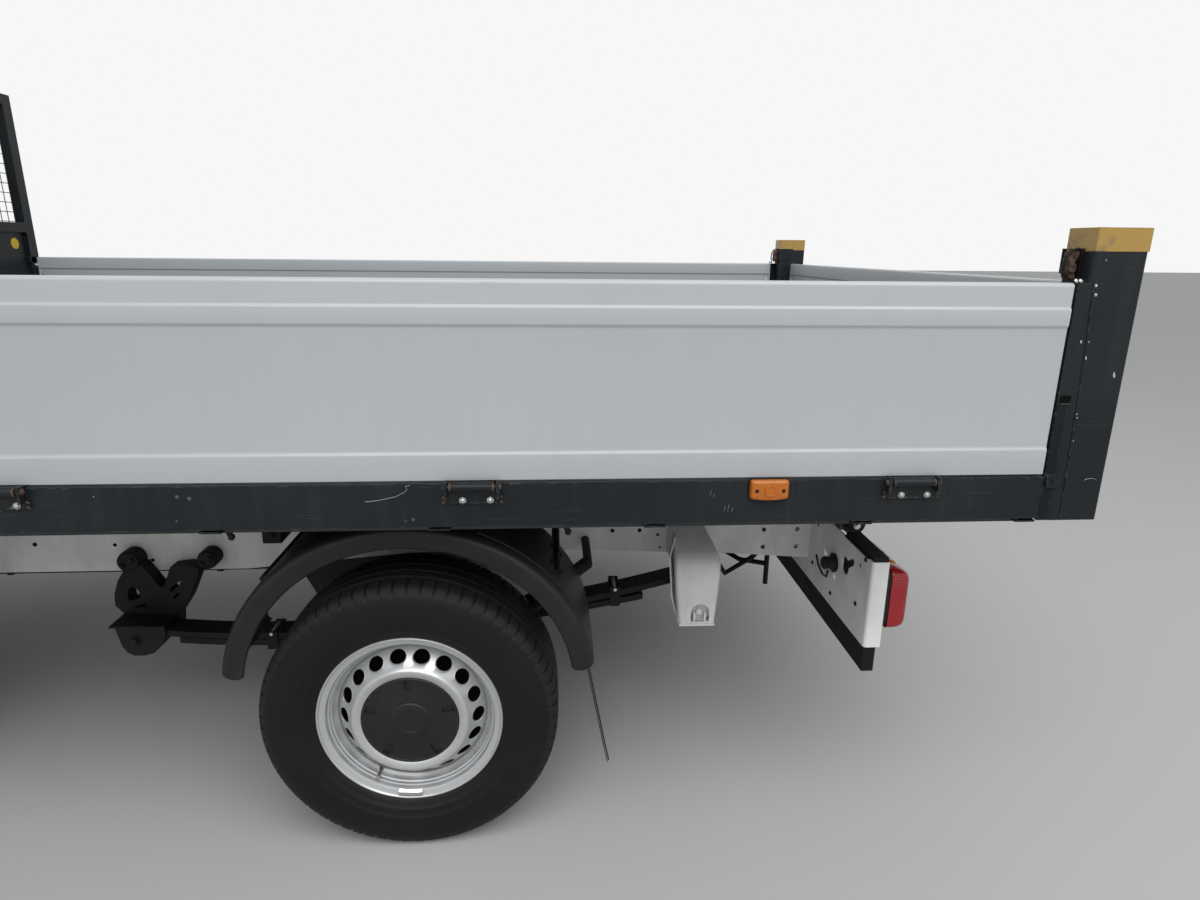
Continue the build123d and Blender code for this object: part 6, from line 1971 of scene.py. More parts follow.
@dataclass
class SpringBrackets:
    """Cast front brackets of the rear springs: two lobes on the rail, V arms and a round-bottomed pod."""

    outer: float = 0.545
    rail: float = 0.502
    pod_y: Flat = (0.532, 0.618)

    def build(self) -> None:
        """Makes both brackets."""
        for side, sign in SIDES:
            shape = Shape(f"spring_bracket_{side}")
            self._arms(shape, sign)
            self._pod(shape, sign)
            piece = shape.finish("vehicle", bevel=0.0022)
            if sign > 0:
                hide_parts("spring_brackets")

    def _arms(self, shape: Shape, sign: int) -> None:
        """Lobes and pierced arms."""
        outline = [
            (0.796, 0.588), (0.757, 0.524), (0.748, 0.524), (0.722, 0.584), (0.676, 0.590), (0.645, 0.580),
            (0.650, 0.558), (0.669, 0.517), (0.682, 0.489), (0.703, 0.457), (0.718, 0.437), (0.722, 0.404),
            (0.862, 0.404), (0.865, 0.444), (0.887, 0.469), (0.884, 0.505), (0.869, 0.545), (0.847, 0.578),
            (0.860, 0.592), (0.815, 0.600)]
        holes = [
            [(0.847, 0.483), (0.848, 0.508), (0.838, 0.525), (0.828, 0.526), (0.817, 0.514), (0.813, 0.492)],
            [(0.838, 0.461), (0.822, 0.470), (0.802, 0.474), (0.802, 0.462)],
            [(0.733, 0.516), (0.716, 0.532), (0.699, 0.542), (0.704, 0.530), (0.728, 0.508)],
            [(0.727, 0.492), (0.711, 0.507), (0.707, 0.502), (0.722, 0.486)]]
        moved = [[(at(x), z) for x, z in ring] for ring in [outline] + holes]
        shape.punched(
            moved[0], moved[1:], side_view(0), sign * self.rail, sign * self.outer, Surface.BLACK_STEEL)
        for x, z, reach in ((0.833, 0.600, 0.0310), (0.621, 0.602, 0.0275)):
            plane = facing((at(x), sign * self.rail, z), (0, sign, 0))
            shape.lathe(
                [(-0.001, 0), (-0.001, reach), (0.036, reach), (0.044, reach * 0.92), (0.047, reach * 0.75),
                 (0.048, 0)],
                plane, Surface.BLACK_STEEL, 40)
            for turn in (30, 210):
                spot = plane @ Vector((
                    reach * 0.5 * math.cos(math.radians(turn)), reach * 0.5 * math.sin(math.radians(turn)),
                    0.0475))
                shape.bolt(spot, (0, sign, 0), 0.007, Surface.BLACK_STEEL)

    def _pod(self, shape: Shape, sign: int) -> None:
        """Round-bottomed housing of the spring's front eye under a bright ledge."""
        outline = [
            (0.722, 0.415), (0.722, 0.440), (0.866, 0.440), (0.853, 0.436), (0.842, 0.382), (0.830, 0.362),
            (0.812, 0.353), (0.785, 0.352), (0.760, 0.360), (0.738, 0.380)]
        shape.prism(
            [(at(x), z) for x, z in outline], side_view(0), sign * self.pod_y[0], sign * self.pod_y[1],
            Surface.BLACK_STEEL)
        shape.box(
            (at(0.772), at(0.868)), (sign * 0.530, sign * 0.6205), (0.4385, 0.4440), Surface.BLACK_STEEL)
        shape.bolt((at(0.806), sign * 0.618, 0.398), (0, sign, 0), 0.013, Surface.BLACK_STEEL)


@dataclass
class ChassisDetails:
    """Small parts along the rails: lines, brackets, rust spots, spring clips, straps and tipping gear."""

    def build(self) -> None:
        """Makes the fittings."""
        self._rails()
        self._springs()
        self._plate()
        self._hydraulics()

    def _rails(self) -> None:
        """Dark discs painted as the holes' shadow, body brackets, brake line and rust spots on both rails.
        """
        shape = Shape("rail_fittings")
        for sign in (1, -1):
            face = sign * 0.500
            # Painted shadow: thin near-black discs where the rails' holes are.
            for x, z, size in (
                    (0.886, 0.635, 5), (0.790, 0.587, 5), (0.265, 0.639, 4), (0.008, 0.622, 5),
                    (-0.055, 0.624, 4), (1.10, 0.64, 6), (1.26, 0.60, 6), (-0.52, 0.655, 6),
                    (-0.60, 0.655, 6), (2.30, 0.65, 8), (2.55, 0.60, 8), (2.9, 0.65, 8)):
                shape.lathe(
                    [(0, size / 1000), (0.0009, size / 1000), (0.0009, 0)],
                    facing((at(x), face, z), (0, sign, 0)), Surface.SHADOW, 20)
            for x, z, size in (
                    (0.312, 0.615, 6), (0.290, 0.600, 5), (0.261, 0.590, 6), (-0.655, 0.64, 5),
                    (-0.662, 0.60, 4), (0.340, 0.604, 4)):
                outline = [
                    (size / 1000 * (1 + 0.35 * math.sin(2.1 * step + x * 9)) * math.cos(step * 0.628),
                     size / 1000 * (1 + 0.35 * math.cos(3.3 * step)) * math.sin(step * 0.628))
                    for step in range(10)]
                shape.prism(
                    outline, Matrix.Translation((at(x), 0, z)) @ side_view(0), face, face + sign * 0.0004,
                    Surface.RUST)
            for x in (0.367, 1.30):
                shape.prism(
                    [(at(x) - 0.023, 0.722), (at(x) + 0.023, 0.722), (at(x) + 0.023, 0.774),
                     (at(x) - 0.023, 0.774)],
                    side_view(0), sign * 0.502, sign * 0.720, Surface.BLACK_STEEL)
                shape.bolt((at(x), sign * 0.720, 0.746), (0, sign, 0), 0.008, Surface.BLACK_STEEL)
            line = [
                (at(x), sign * y, z)
                for x, y, z in (
                    (2.0, 0.470, 0.543), (1.2, 0.470, 0.543), (0.62, 0.470, 0.543), (0.48, 0.472, 0.545))]
            shape.tube(line, 0.0034, Surface.BLACK_PLASTIC, 10)
            for x in (0.62, 1.2, 1.8):
                shape.box(
                    (at(x) - 0.008, at(x) + 0.008), (sign * 0.462, sign * 0.478), (0.5385, 0.551),
                    Surface.BLACK_PLASTIC)
        shape.finish("vehicle", bevel=0.0006)

    def _springs(self) -> None:
        """Leaf clips, clamp nuts, dampers' eyes and the load valve's strap."""
        shape = Shape("spring_fittings")
        for sign in (1, -1):
            for x, low, high in ((0.44, 0.360, 0.414), (-0.41, 0.447, 0.502), (-0.52, 0.470, 0.528)):
                for y0, y1 in ((0.5365, 0.5405), (0.6105, 0.6145)):
                    shape.box(
                        (at(x) - 0.014, at(x) + 0.014), (sign * y0, sign * y1), (low, high),
                        Surface.BLACK_STEEL)
                shape.tube(
                    [(at(x), sign * 0.534, high - 0.006), (at(x), sign * 0.618, high - 0.006)], 0.005,
                    Surface.ZINC, 10)
            for x in (-0.048, 0.048):
                for y in (0.535, 0.615):
                    shape.bolt((at(x), sign * y, 0.2895), (0, 0, -1), 0.0110, Surface.BLACK_STEEL)
            strap = [
                (at(x), sign * 0.986, z)
                for x, z in (
                    (-0.424, 0.500), (-0.430, 0.470), (-0.440, 0.415), (-0.451, 0.360), (-0.462, 0.300),
                    (-0.4735, 0.246))]
            shape.tube(strap, 0.0030, Surface.BLACK_PLASTIC, 8, 0.4)
            second = [(x - 0.0035, y - sign * 0.004, z + 0.002) for x, y, z in strap]
            shape.tube(second, 0.0018, Surface.BLACK_PLASTIC, 8)
            start, end = Vector((-0.060, 0.660, 0.335)), Vector((-0.300, 0.660, 0.520))
            for share in (0.06, 0.94):
                spot = start.lerp(end, share)
                along = (end - start).normalized()
                shape.lathe(
                    [(-0.006, 0.0275), (-0.004, 0.0285), (0.004, 0.0285), (0.006, 0.0275)],
                    facing((at(spot.x), sign * spot.y, spot.z), along), Surface.BLACK_STEEL, 28,
                    closed=True)
        shape.finish("vehicle", bevel=0.0008)

    def _plate(self) -> None:
        """Cable, knob, edge bolts and the spare wheel's cradle at the rear plate."""
        shape = Shape("rear_plate_fittings")
        for sign in (1, -1):
            for y, z in ((0.881, 0.719), (0.560, 0.690), (0.850, 0.585), (0.690, 0.535), (0.540, 0.560)):
                shape.bolt(
                    (at(-1.1148), sign * y, z), (1, 0, 0), 0.005, Surface.BLACK_STEEL, round_head=True)
            loop = [
                (at(-1.100), sign * y, z)
                for y, z in (
                    (0.600, 0.612), (0.622, 0.590), (0.655, 0.578), (0.684, 0.582), (0.694, 0.606))]
            shape.tube(loop, 0.0030, Surface.BLACK_PLASTIC, 8)
            knob = [
                (0, 0.026), (0.006, 0.027), (0.010, 0.020), (0.016, 0.016), (0.030, 0.018), (0.036, 0.012),
                (0.037, 0)]
            shape.lathe(
                knob, facing((at(-1.1148), sign * 0.697, 0.630), (1, 0, 0)), Surface.BLACK_PLASTIC, 28)
            ledge = [(at(-1.1185), sign * 0.745, 0.7275), (at(-1.1185), sign * 0.895, 0.7275)]
            shape.tube(ledge, 0.0045, Surface.BLACK_PLASTIC, 8)
        for bar in (
                [(-0.86, 0.30, 0.50), (-0.94, 0.20, 0.372), (-1.032, 0.20, 0.430), (-1.10, 0.26, 0.560)],
                [(-0.78, -0.28, 0.56), (-0.86, -0.10, 0.42), (-1.00, 0.16, 0.405), (-1.085, 0.20, 0.405)],
                [(-1.085, 0.20, 0.560), (-1.085, 0.20, 0.330)]):
            shape.tube([(at(x), y, z) for x, y, z in bar], 0.0085, Surface.BLACK_STEEL, 12)
        shape.tube([(at(-1.085), -0.30, 0.560), (at(-1.085), 0.30, 0.560)], 0.012, Surface.BLACK_STEEL, 14)
        for y in (-0.30, 0.30):
            shape.box((at(-1.116), at(-1.070)), (y - 0.020, y + 0.020), (0.545, 0.575), Surface.BLACK_STEEL)
        shape.finish("vehicle", bevel=0.0006)

    def _hydraulics(self) -> None:
        """Oil tank, pump and hoses of the tipping gear beside the propshaft, and pivot pin caps."""
        shape = Shape("tipping_gear_fittings")
        outline = rounded_box((at(0.66), at(1.02)), (0.600, 0.712), 0.014)
        shape.prism(outline, side_view(0), -0.405, -0.125, Surface.BLACK_STEEL)
        shape.lathe(
            [(0, 0.030), (0.010, 0.032), (0.018, 0.030), (0.020, 0)],
            facing((at(0.92), -0.250, 0.7115), (0, 0, 1)), Surface.ZINC, 28)
        shape.lathe(
            [(0, 0), (0, 0.045), (0.110, 0.045), (0.118, 0.036), (0.118, 0)],
            facing((at(0.66), -0.260, 0.655), (-1, 0, 0)), Surface.BLACK_STEEL, 28)
        for z in (0.630, 0.682):
            shape.tube(
                [(at(0.655), -0.132, z), (at(0.60), -0.110, z), (at(0.52), -0.045, z - 0.02),
                 (at(0.46), 0.040, z - 0.05), (at(0.442), 0.110, z - 0.08)],
                0.0075, Surface.BLACK_PLASTIC, 12)
        for sign in (1, -1):
            shape.lathe(
                [(0, 0.026), (0.006, 0.025), (0.009, 0.019), (0.010, 0)],
                facing((at(-1.220), sign * 0.5715, 0.690), (0, sign, 0)), Surface.BLACK_STEEL, 28)
            shape.bolt((at(-1.220), sign * 0.581, 0.690), (0, sign, 0), 0.008, Surface.ZINC)
        shape.finish("vehicle", bevel=0.0010)


@dataclass
class TailLamps:
    """Rounded tail lamps with a red outer field, an amber and a clear one on black bases."""

    outer: float = 0.920
    width: float = 0.198
    low: float = 0.547
    high: float = 0.703
    back: float = -1.157

    def build(self) -> None:
        """Makes both lamps."""
        for side, sign in SIDES:
            shape = Shape(f"tail_lamp_{side}")
            middle_y, middle_z = self.outer - self.width / 2, (self.low + self.high) / 2
            half_y, half_z = self.width / 2, (self.high - self.low) / 2
            corners = rounded_box((-half_y, half_y), (-half_z, half_z), 0.026, 6)
            base = [
                [Vector((at(self.back) - out, sign * (middle_y + u * share), middle_z + v * share))
                 for u, v in corners]
                for out, share in ((-0.002, 0.97), (0.012, 0.97), (0.014, 0.96))]
            shape.skin(base, Surface.BLACK_PLASTIC, capped=True)
            fields = (
                (-half_y, -0.030, Surface.CLEAR_LENS), (-0.029, 0.030, Surface.AMBER_LENS),
                (0.031, half_y, Surface.RED_LENS))
            for start, end, surface in fields:
                self._field(shape, sign, (middle_y, middle_z), (start, end), half_z, surface)
            piece = shape.finish("vehicle", crease=42.0)
            if sign > 0:
                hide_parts("tail_lamps")

    def _field(
            self, shape: Shape, sign: int, middle: Flat, span: Flat, half: float, surface: Surface) -> None:
        """One coloured field: bulged front over straight walls, with upright ribs."""
        outline = rounded_box(
            (span[0], span[1]), (-half, half), 0.020 if surface is Surface.RED_LENS else 0.008, 6)
        centre = (span[0] + span[1]) / 2
        rings = []
        for out, share in (
                (0.012, 1.0), (0.030, 1.0), (0.040, 0.985), (0.048, 0.955), (0.0535, 0.90), (0.0565, 0.82),
                (0.0578, 0.60), (0.0580, 0.2)):
            rings.append([
                Vector((
                    at(self.back) - out, sign * (middle[0] + centre + (u - centre) * share),
                    middle[1] + v * share))
                for u, v in outline])
        shape.skin(rings, surface, capped=True)
        for index in range(5):
            height = middle[1] + half * (0.56 + 0.09 * index)
            y = sign * (middle[0] + span[1] - 0.0004)
            if surface is Surface.RED_LENS:
                shape.tube(
                    [(at(self.back) - 0.016, y, height), (at(self.back) - 0.036, y, height)], 0.0016,
                    surface, 6)


# Cab


class Probe:
    """Finds points on the skin of chosen CAD nodes, so that seals and trims lie on curved panels."""

    def __init__(self, nodes: dict[str, bpy.types.Object], names: Sequence[str]) -> None:
        """Reads the nodes' faces.

        Args:
            nodes: The frame's nodes by name.
            names: The nodes to look for.
        """
        points: list[Vector] = []
        faces: list[list[int]] = []
        for name in names:
            start = len(points)
            points += [nodes[name].matrix_world @ vertex.co for vertex in nodes[name].data.vertices]
            faces += [
                [start + index for index in polygon.vertices] for polygon in nodes[name].data.polygons]
        self.tree = BVHTree.FromPolygons(points, faces)

    def hit(self, origin: Sequence[float], direction: Sequence[float]) -> tuple[Vector, Vector]:
        """The first point along a ray, or else the nearest one, and the way its face looks.

        Args:
            origin: Where the ray starts.
            direction: Where it goes.

        Returns:
            The point and its normal towards the origin.
        """
        ray = Vector(direction)
        point, normal, _, _ = self.tree.ray_cast(Vector(origin), ray)
        if point is None:
            point, normal, _, _ = self.tree.find_nearest(Vector(origin) + ray)
        return point, normal if normal.dot(ray) < 0 else -normal

    def side(self, station: float, height: float, sign: int) -> tuple[Vector, Vector]:
        """The point on a side, seen square on."""
        return self.hit((at(station), sign * 1.12, height), (0, -sign, 0))

    def front(self, y: float, height: float) -> tuple[Vector, Vector]:
        """The point on the front, seen from ahead."""
        return self.hit((at(4.75), y, height), (-1, 0, 0))

    def back(self, y: float, height: float) -> tuple[Vector, Vector]:
        """The point on the rear wall, seen from behind."""
        return self.hit((at(2.05), y, height), (1, 0, 0))

    def above(self, station: float, y: float) -> tuple[Vector, Vector]:
        """The point on top, seen from above."""
        return self.hit((at(station), y, 2.6), (0, 0, -1))


Spot = tuple[Vector, Vector]


def strip(
        shape: Shape, spots: Sequence[Spot], width: float, height: float, surface: Surface,
        closed: bool = False) -> None:
    """Lays a raised strip with rounded shoulders on a panel.

    Args:
        shape: The mesh that it goes into.
        spots: Points on the panel, with normals.
        width: The strip's width.
        height: How far it stands out.
        surface: Its finish.
        closed: Whether it runs round.
    """
    rings = []
    last = len(spots) - 1
    for index, (point, normal) in enumerate(spots):
        before = spots[index - 1][0] if closed or index else point
        after = spots[(index + 1) % len(spots)][0] if closed or index < last else point
        across = (after - before).cross(normal).normalized() * width / 2
        rings.append([
            point - across - normal * 0.003, point - across + normal * height * 0.55,
            point - across * 0.8 + normal * height, point + across * 0.8 + normal * height,
            point + across + normal * height * 0.55, point + across - normal * 0.003])
    shape.skin(rings, surface, joined=closed, capped=not closed)


def panel(
        shape: Shape, grid: Sequence[Sequence[Spot]], outer: float, inner: float, surface: Surface) -> None:
    """Lays a sheet over a grid of points.

    Args:
        shape: The mesh that it goes into.
        grid: Rows of points with normals.
        outer: How far its outer face stands off the points.
        inner: How far its inner face does, negative for under them.
        surface: Its finish.
    """
    rings = []
    for row in grid:
        front = [point + normal * outer for point, normal in row]
        rings.append(front + [point + normal * inner for point, normal in reversed(row)])
    shape.skin(rings, surface, capped=True)


def traced(corners: Sequence[tuple[float, float, float]], grow: float, step: float) -> list[Flat]:
    """Even points along a rounded outline, set outward.

    Args:
        corners: Its corners with the reach of each rounding, counter-clockwise.
        grow: How far outward the points lie.
        step: Their spacing.

    Returns:
        The points.
    """
    line = [
        Vector(point) for point in rounded([(u, v) for u, v, _ in corners], [r for _, _, r in corners], 6)]
    made = []
    for start, end in zip(line, line[1:] + line[:1]):
        length = (end - start).length
        if length < 1e-6:
            continue
        outward = Vector(((end - start).y, -(end - start).x)).normalized() * grow
        pieces = max(1, round(length / step))
        made += [tuple(start.lerp(end, piece / pieces) + outward) for piece in range(pieces)]
    return made


WINDOW = (
    (2.440, 1.420, 0.04), (3.345, 1.420, 0.03), (3.345, 1.830, 0.04), (3.075, 2.130, 0.06),
    (2.440, 2.130, 0.06))
QUARTER = ((3.480, 1.500, 0.02), (3.800, 1.500, 0.02), (3.480, 1.850, 0.025))
SCREEN = ((-0.900, 1.545, 0.06), (0.900, 1.545, 0.06), (0.800, 2.255, 0.06), (-0.800, 2.255, 0.06))
REAR_PANE = ((-0.590, 1.450, 0.05), (0.590, 1.450, 0.05), (0.590, 1.910, 0.05), (-0.590, 1.910, 0.05))


@dataclass
class CabSkin:
    """Seals, mouldings, arch lips, roof ribs, cowl, wipers and small fittings on the cab's outside."""

    nodes: dict[str, bpy.types.Object]
    arch_radius: float = 0.464
    moulding_height: float = 0.800
    sill_height: float = 0.500
    shell: Probe = field(init=False)
    wings: Probe = field(init=False)
    glass: Probe = field(init=False)

    def build(self) -> None:
        """Makes everything on the cab's outside."""
        self.shell = Probe(self.nodes, ["cab_shell"])
        self.wings = Probe(self.nodes, ["cab_shell", "front_bumper", "headlamps"])
        self.glass = Probe(self.nodes, ["cab_glass"])
        shape = Shape("cab_trim")
        self._seals(shape)
        for sign in (1, -1):
            self._flank(shape, sign)
        self._roof(shape)
        self._rear(shape)
        shape.finish("vehicle")
        self._cowl()
        self._wipers()

    def _seals(self, shape: Shape) -> None:
        """Rubber seals round the windscreen, the rear window and the quarter lights."""
        strip(
            shape, [self.shell.front(y, z) for y, z in traced(SCREEN, 0.009, 0.04)], 0.022, 0.0045,
            Surface.SEAL, closed=True)
        strip(
            shape, [self.shell.back(y, z) for y, z in traced(REAR_PANE, 0.009, 0.04)], 0.024, 0.005,
            Surface.SEAL, closed=True)
        for sign in (1, -1):
            spots = [self.shell.side(x, z, sign) for x, z in traced(QUARTER, 0.009, 0.03)]
            strip(shape, spots, 0.020, 0.004, Surface.SEAL, closed=True)

    def _flank(self, shape: Shape, sign: int) -> None:
        """Arch lip, sill cover, rear moulding, repeater, filler flap and mud flap of one side."""
        arch = []
        for degrees in range(16, 166, 3):
            turn = math.radians(degrees)
            arch.append(self.wings.side(
                WHEELBASE + self.arch_radius * math.cos(turn),
                TYRE_RADIUS + self.arch_radius * math.sin(turn), sign))
        strip(shape, arch, 0.024, 0.006, Surface.BUMPER)
        sill = [self.shell.side(2.215 + 0.05 * step, self.sill_height, sign) for step in range(20)]
        strip(shape, sill, 0.080, 0.006, Surface.BUMPER)
        moulding = [self.shell.side(x, self.moulding_height, sign) for x in (2.212, 2.26, 2.30, 2.340)]
        strip(shape, moulding, 0.085, 0.010, Surface.BUMPER)
        spot, normal = self.wings.side(3.85, 0.905, sign)
        shape.lathe(
            [(0, 0.024), (0.006, 0.0235), (0.011, 0.018), (0.013, 0.008), (0.0132, 0)],
            facing(spot, normal), Surface.AMBER_LENS, 28)
        shape.lathe(
            [(0, 0.028), (0.003, 0.028), (0.004, 0.0245), (0.004, 0.0235)], facing(spot, normal),
            Surface.BLACK_PLASTIC, 28)
        if sign > 0:
            spot, normal = self.shell.side(2.277, 1.010, sign)
            shape.lathe(
                [(0, 0.0), (0.0012, 0.0), (0.0012, 0.052), (0.0, 0.053)], facing(spot, normal), Surface.CAB,
                40)
            shape.lathe([(0.0004, 0.0535), (0.0004, 0.0565)], facing(spot, normal), Surface.SHADOW, 40)
        flap = rounded(
            [(0.715, 0.240), (0.975, 0.240), (0.975, 0.500), (0.715, 0.500)], [0.02, 0.02, 0.004, 0.004], 4)
        shape.prism(
            [(sign * y, z) for y, z in flap], end_view(at(3.196)), 0.0, 0.007, Surface.BLACK_PLASTIC)
        for y in (0.75, 0.94):
            shape.bolt((at(3.203), sign * y, 0.478), (1, 0, 0), 0.006)
        gutter = [self.shell.side(2.26 + 0.06 * step, 2.262, sign) for step in range(15)]
        strip(shape, gutter, 0.012, 0.005, Surface.SEAL)

    def _roof(self, shape: Shape) -> None:
        """Pressed ribs along the roof and the aerial's foot."""
        for y in (-0.54, -0.18, 0.18, 0.54):
            spots = [self.shell.above(2.36 + 0.06 * step, y) for step in range(13)]
            strip(shape, spots, 0.070, 0.0035, Surface.CAB)
        spot, normal = self.shell.above(3.06, 0.0)
        shape.lathe(
            [(0, 0.022), (0.006, 0.020), (0.014, 0.011), (0.022, 0.006), (0.023, 0)], facing(spot, normal),
            Surface.BLACK_PLASTIC, 28)

    def _rear(self, shape: Shape) -> None:
        """Louvred air outlets on the rear wall."""
        for sign in (1, -1):
            middle, _ = self.shell.back(sign * 0.72, 1.15)
            outline = rounded_box((-0.07, 0.07), (-0.05, 0.05), 0.01)
            place = Matrix.Translation(middle) @ end_view(0)
            shape.prism(outline, place, -0.006, 0.002, Surface.BLACK_PLASTIC)
            for index in range(5):
                z = middle.z - 0.034 + index * 0.017
                shape.tube(
                    [(middle.x - 0.008, middle.y - 0.058, z), (middle.x - 0.008, middle.y + 0.058, z)],
                    0.0055, Surface.BLACK_PLASTIC, 8, 0.5)

    def _cowl(self) -> None:
        """Plastic air intake between the windscreen and the bonnet."""
        shape = Shape("windscreen_cowl")
        grid = []
        for row in range(4):
            x = 3.958 + 0.0205 * row
            grid.append([self.shell.above(x, -0.74 + 0.04 * step) for step in range(38)])
        panel(shape, grid, 0.004, -0.004, Surface.BLACK_PLASTIC)
        for index in range(24):
            y = -0.66 + 0.0574 * index
            low, high = self.shell.above(3.972, y), self.shell.above(4.008, y)
            shape.tube(
                [low[0] + low[1] * 0.004, high[0] + high[1] * 0.004], 0.0035, Surface.BLACK_PLASTIC, 8)
        for y in (0.42, -0.42):
            spot, normal = self.shell.above(4.012, y)
            shape.lathe(
                [(0, 0.010), (0.008, 0.009), (0.012, 0.005), (0.013, 0)], facing(spot, normal),
                Surface.BLACK_PLASTIC, 16)
        shape.finish("vehicle", bevel=0.0008)

    def _wipers(self) -> None:
        """Two parked wipers with their arms."""
        for number, (pivot, start, end) in enumerate(((0.62, 0.70, 0.06), (-0.10, -0.02, -0.66))):
            shape = Shape(f"wiper_{number}")
            blade = []
            for step in range(17):
                y = start + (end - start) * step / 16
                spot, normal = self.glass.front(y, 1.610 + 0.030 * step / 16)
                blade.append((spot, normal))
            strip(
                shape, [(spot + normal * 0.003, normal) for spot, normal in blade], 0.006, 0.010,
                Surface.BLACK_PLASTIC)
            strip(
                shape, [(spot + normal * 0.010, normal) for spot, normal in blade], 0.013, 0.008,
                Surface.BLACK_PLASTIC)
            foot, up = self.shell.above(3.985, pivot)
            middle, out = blade[8]
            path = [
                foot + up * 0.020, foot + up * 0.030 + Vector((0, -0.04, 0)),
                foot.lerp(middle, 0.45) + out * 0.042, middle + out * 0.026, middle + out * 0.019]
            shape.tube(path, 0.0068, Surface.BLACK_PLASTIC, 10, 0.6)
            shape.lathe(
                [(0, 0.019), (0.010, 0.019), (0.022, 0.016), (0.034, 0.014), (0.038, 0.008), (0.039, 0)],
                facing(foot, up), Surface.BLACK_PLASTIC, 24)
            shape.finish("vehicle")


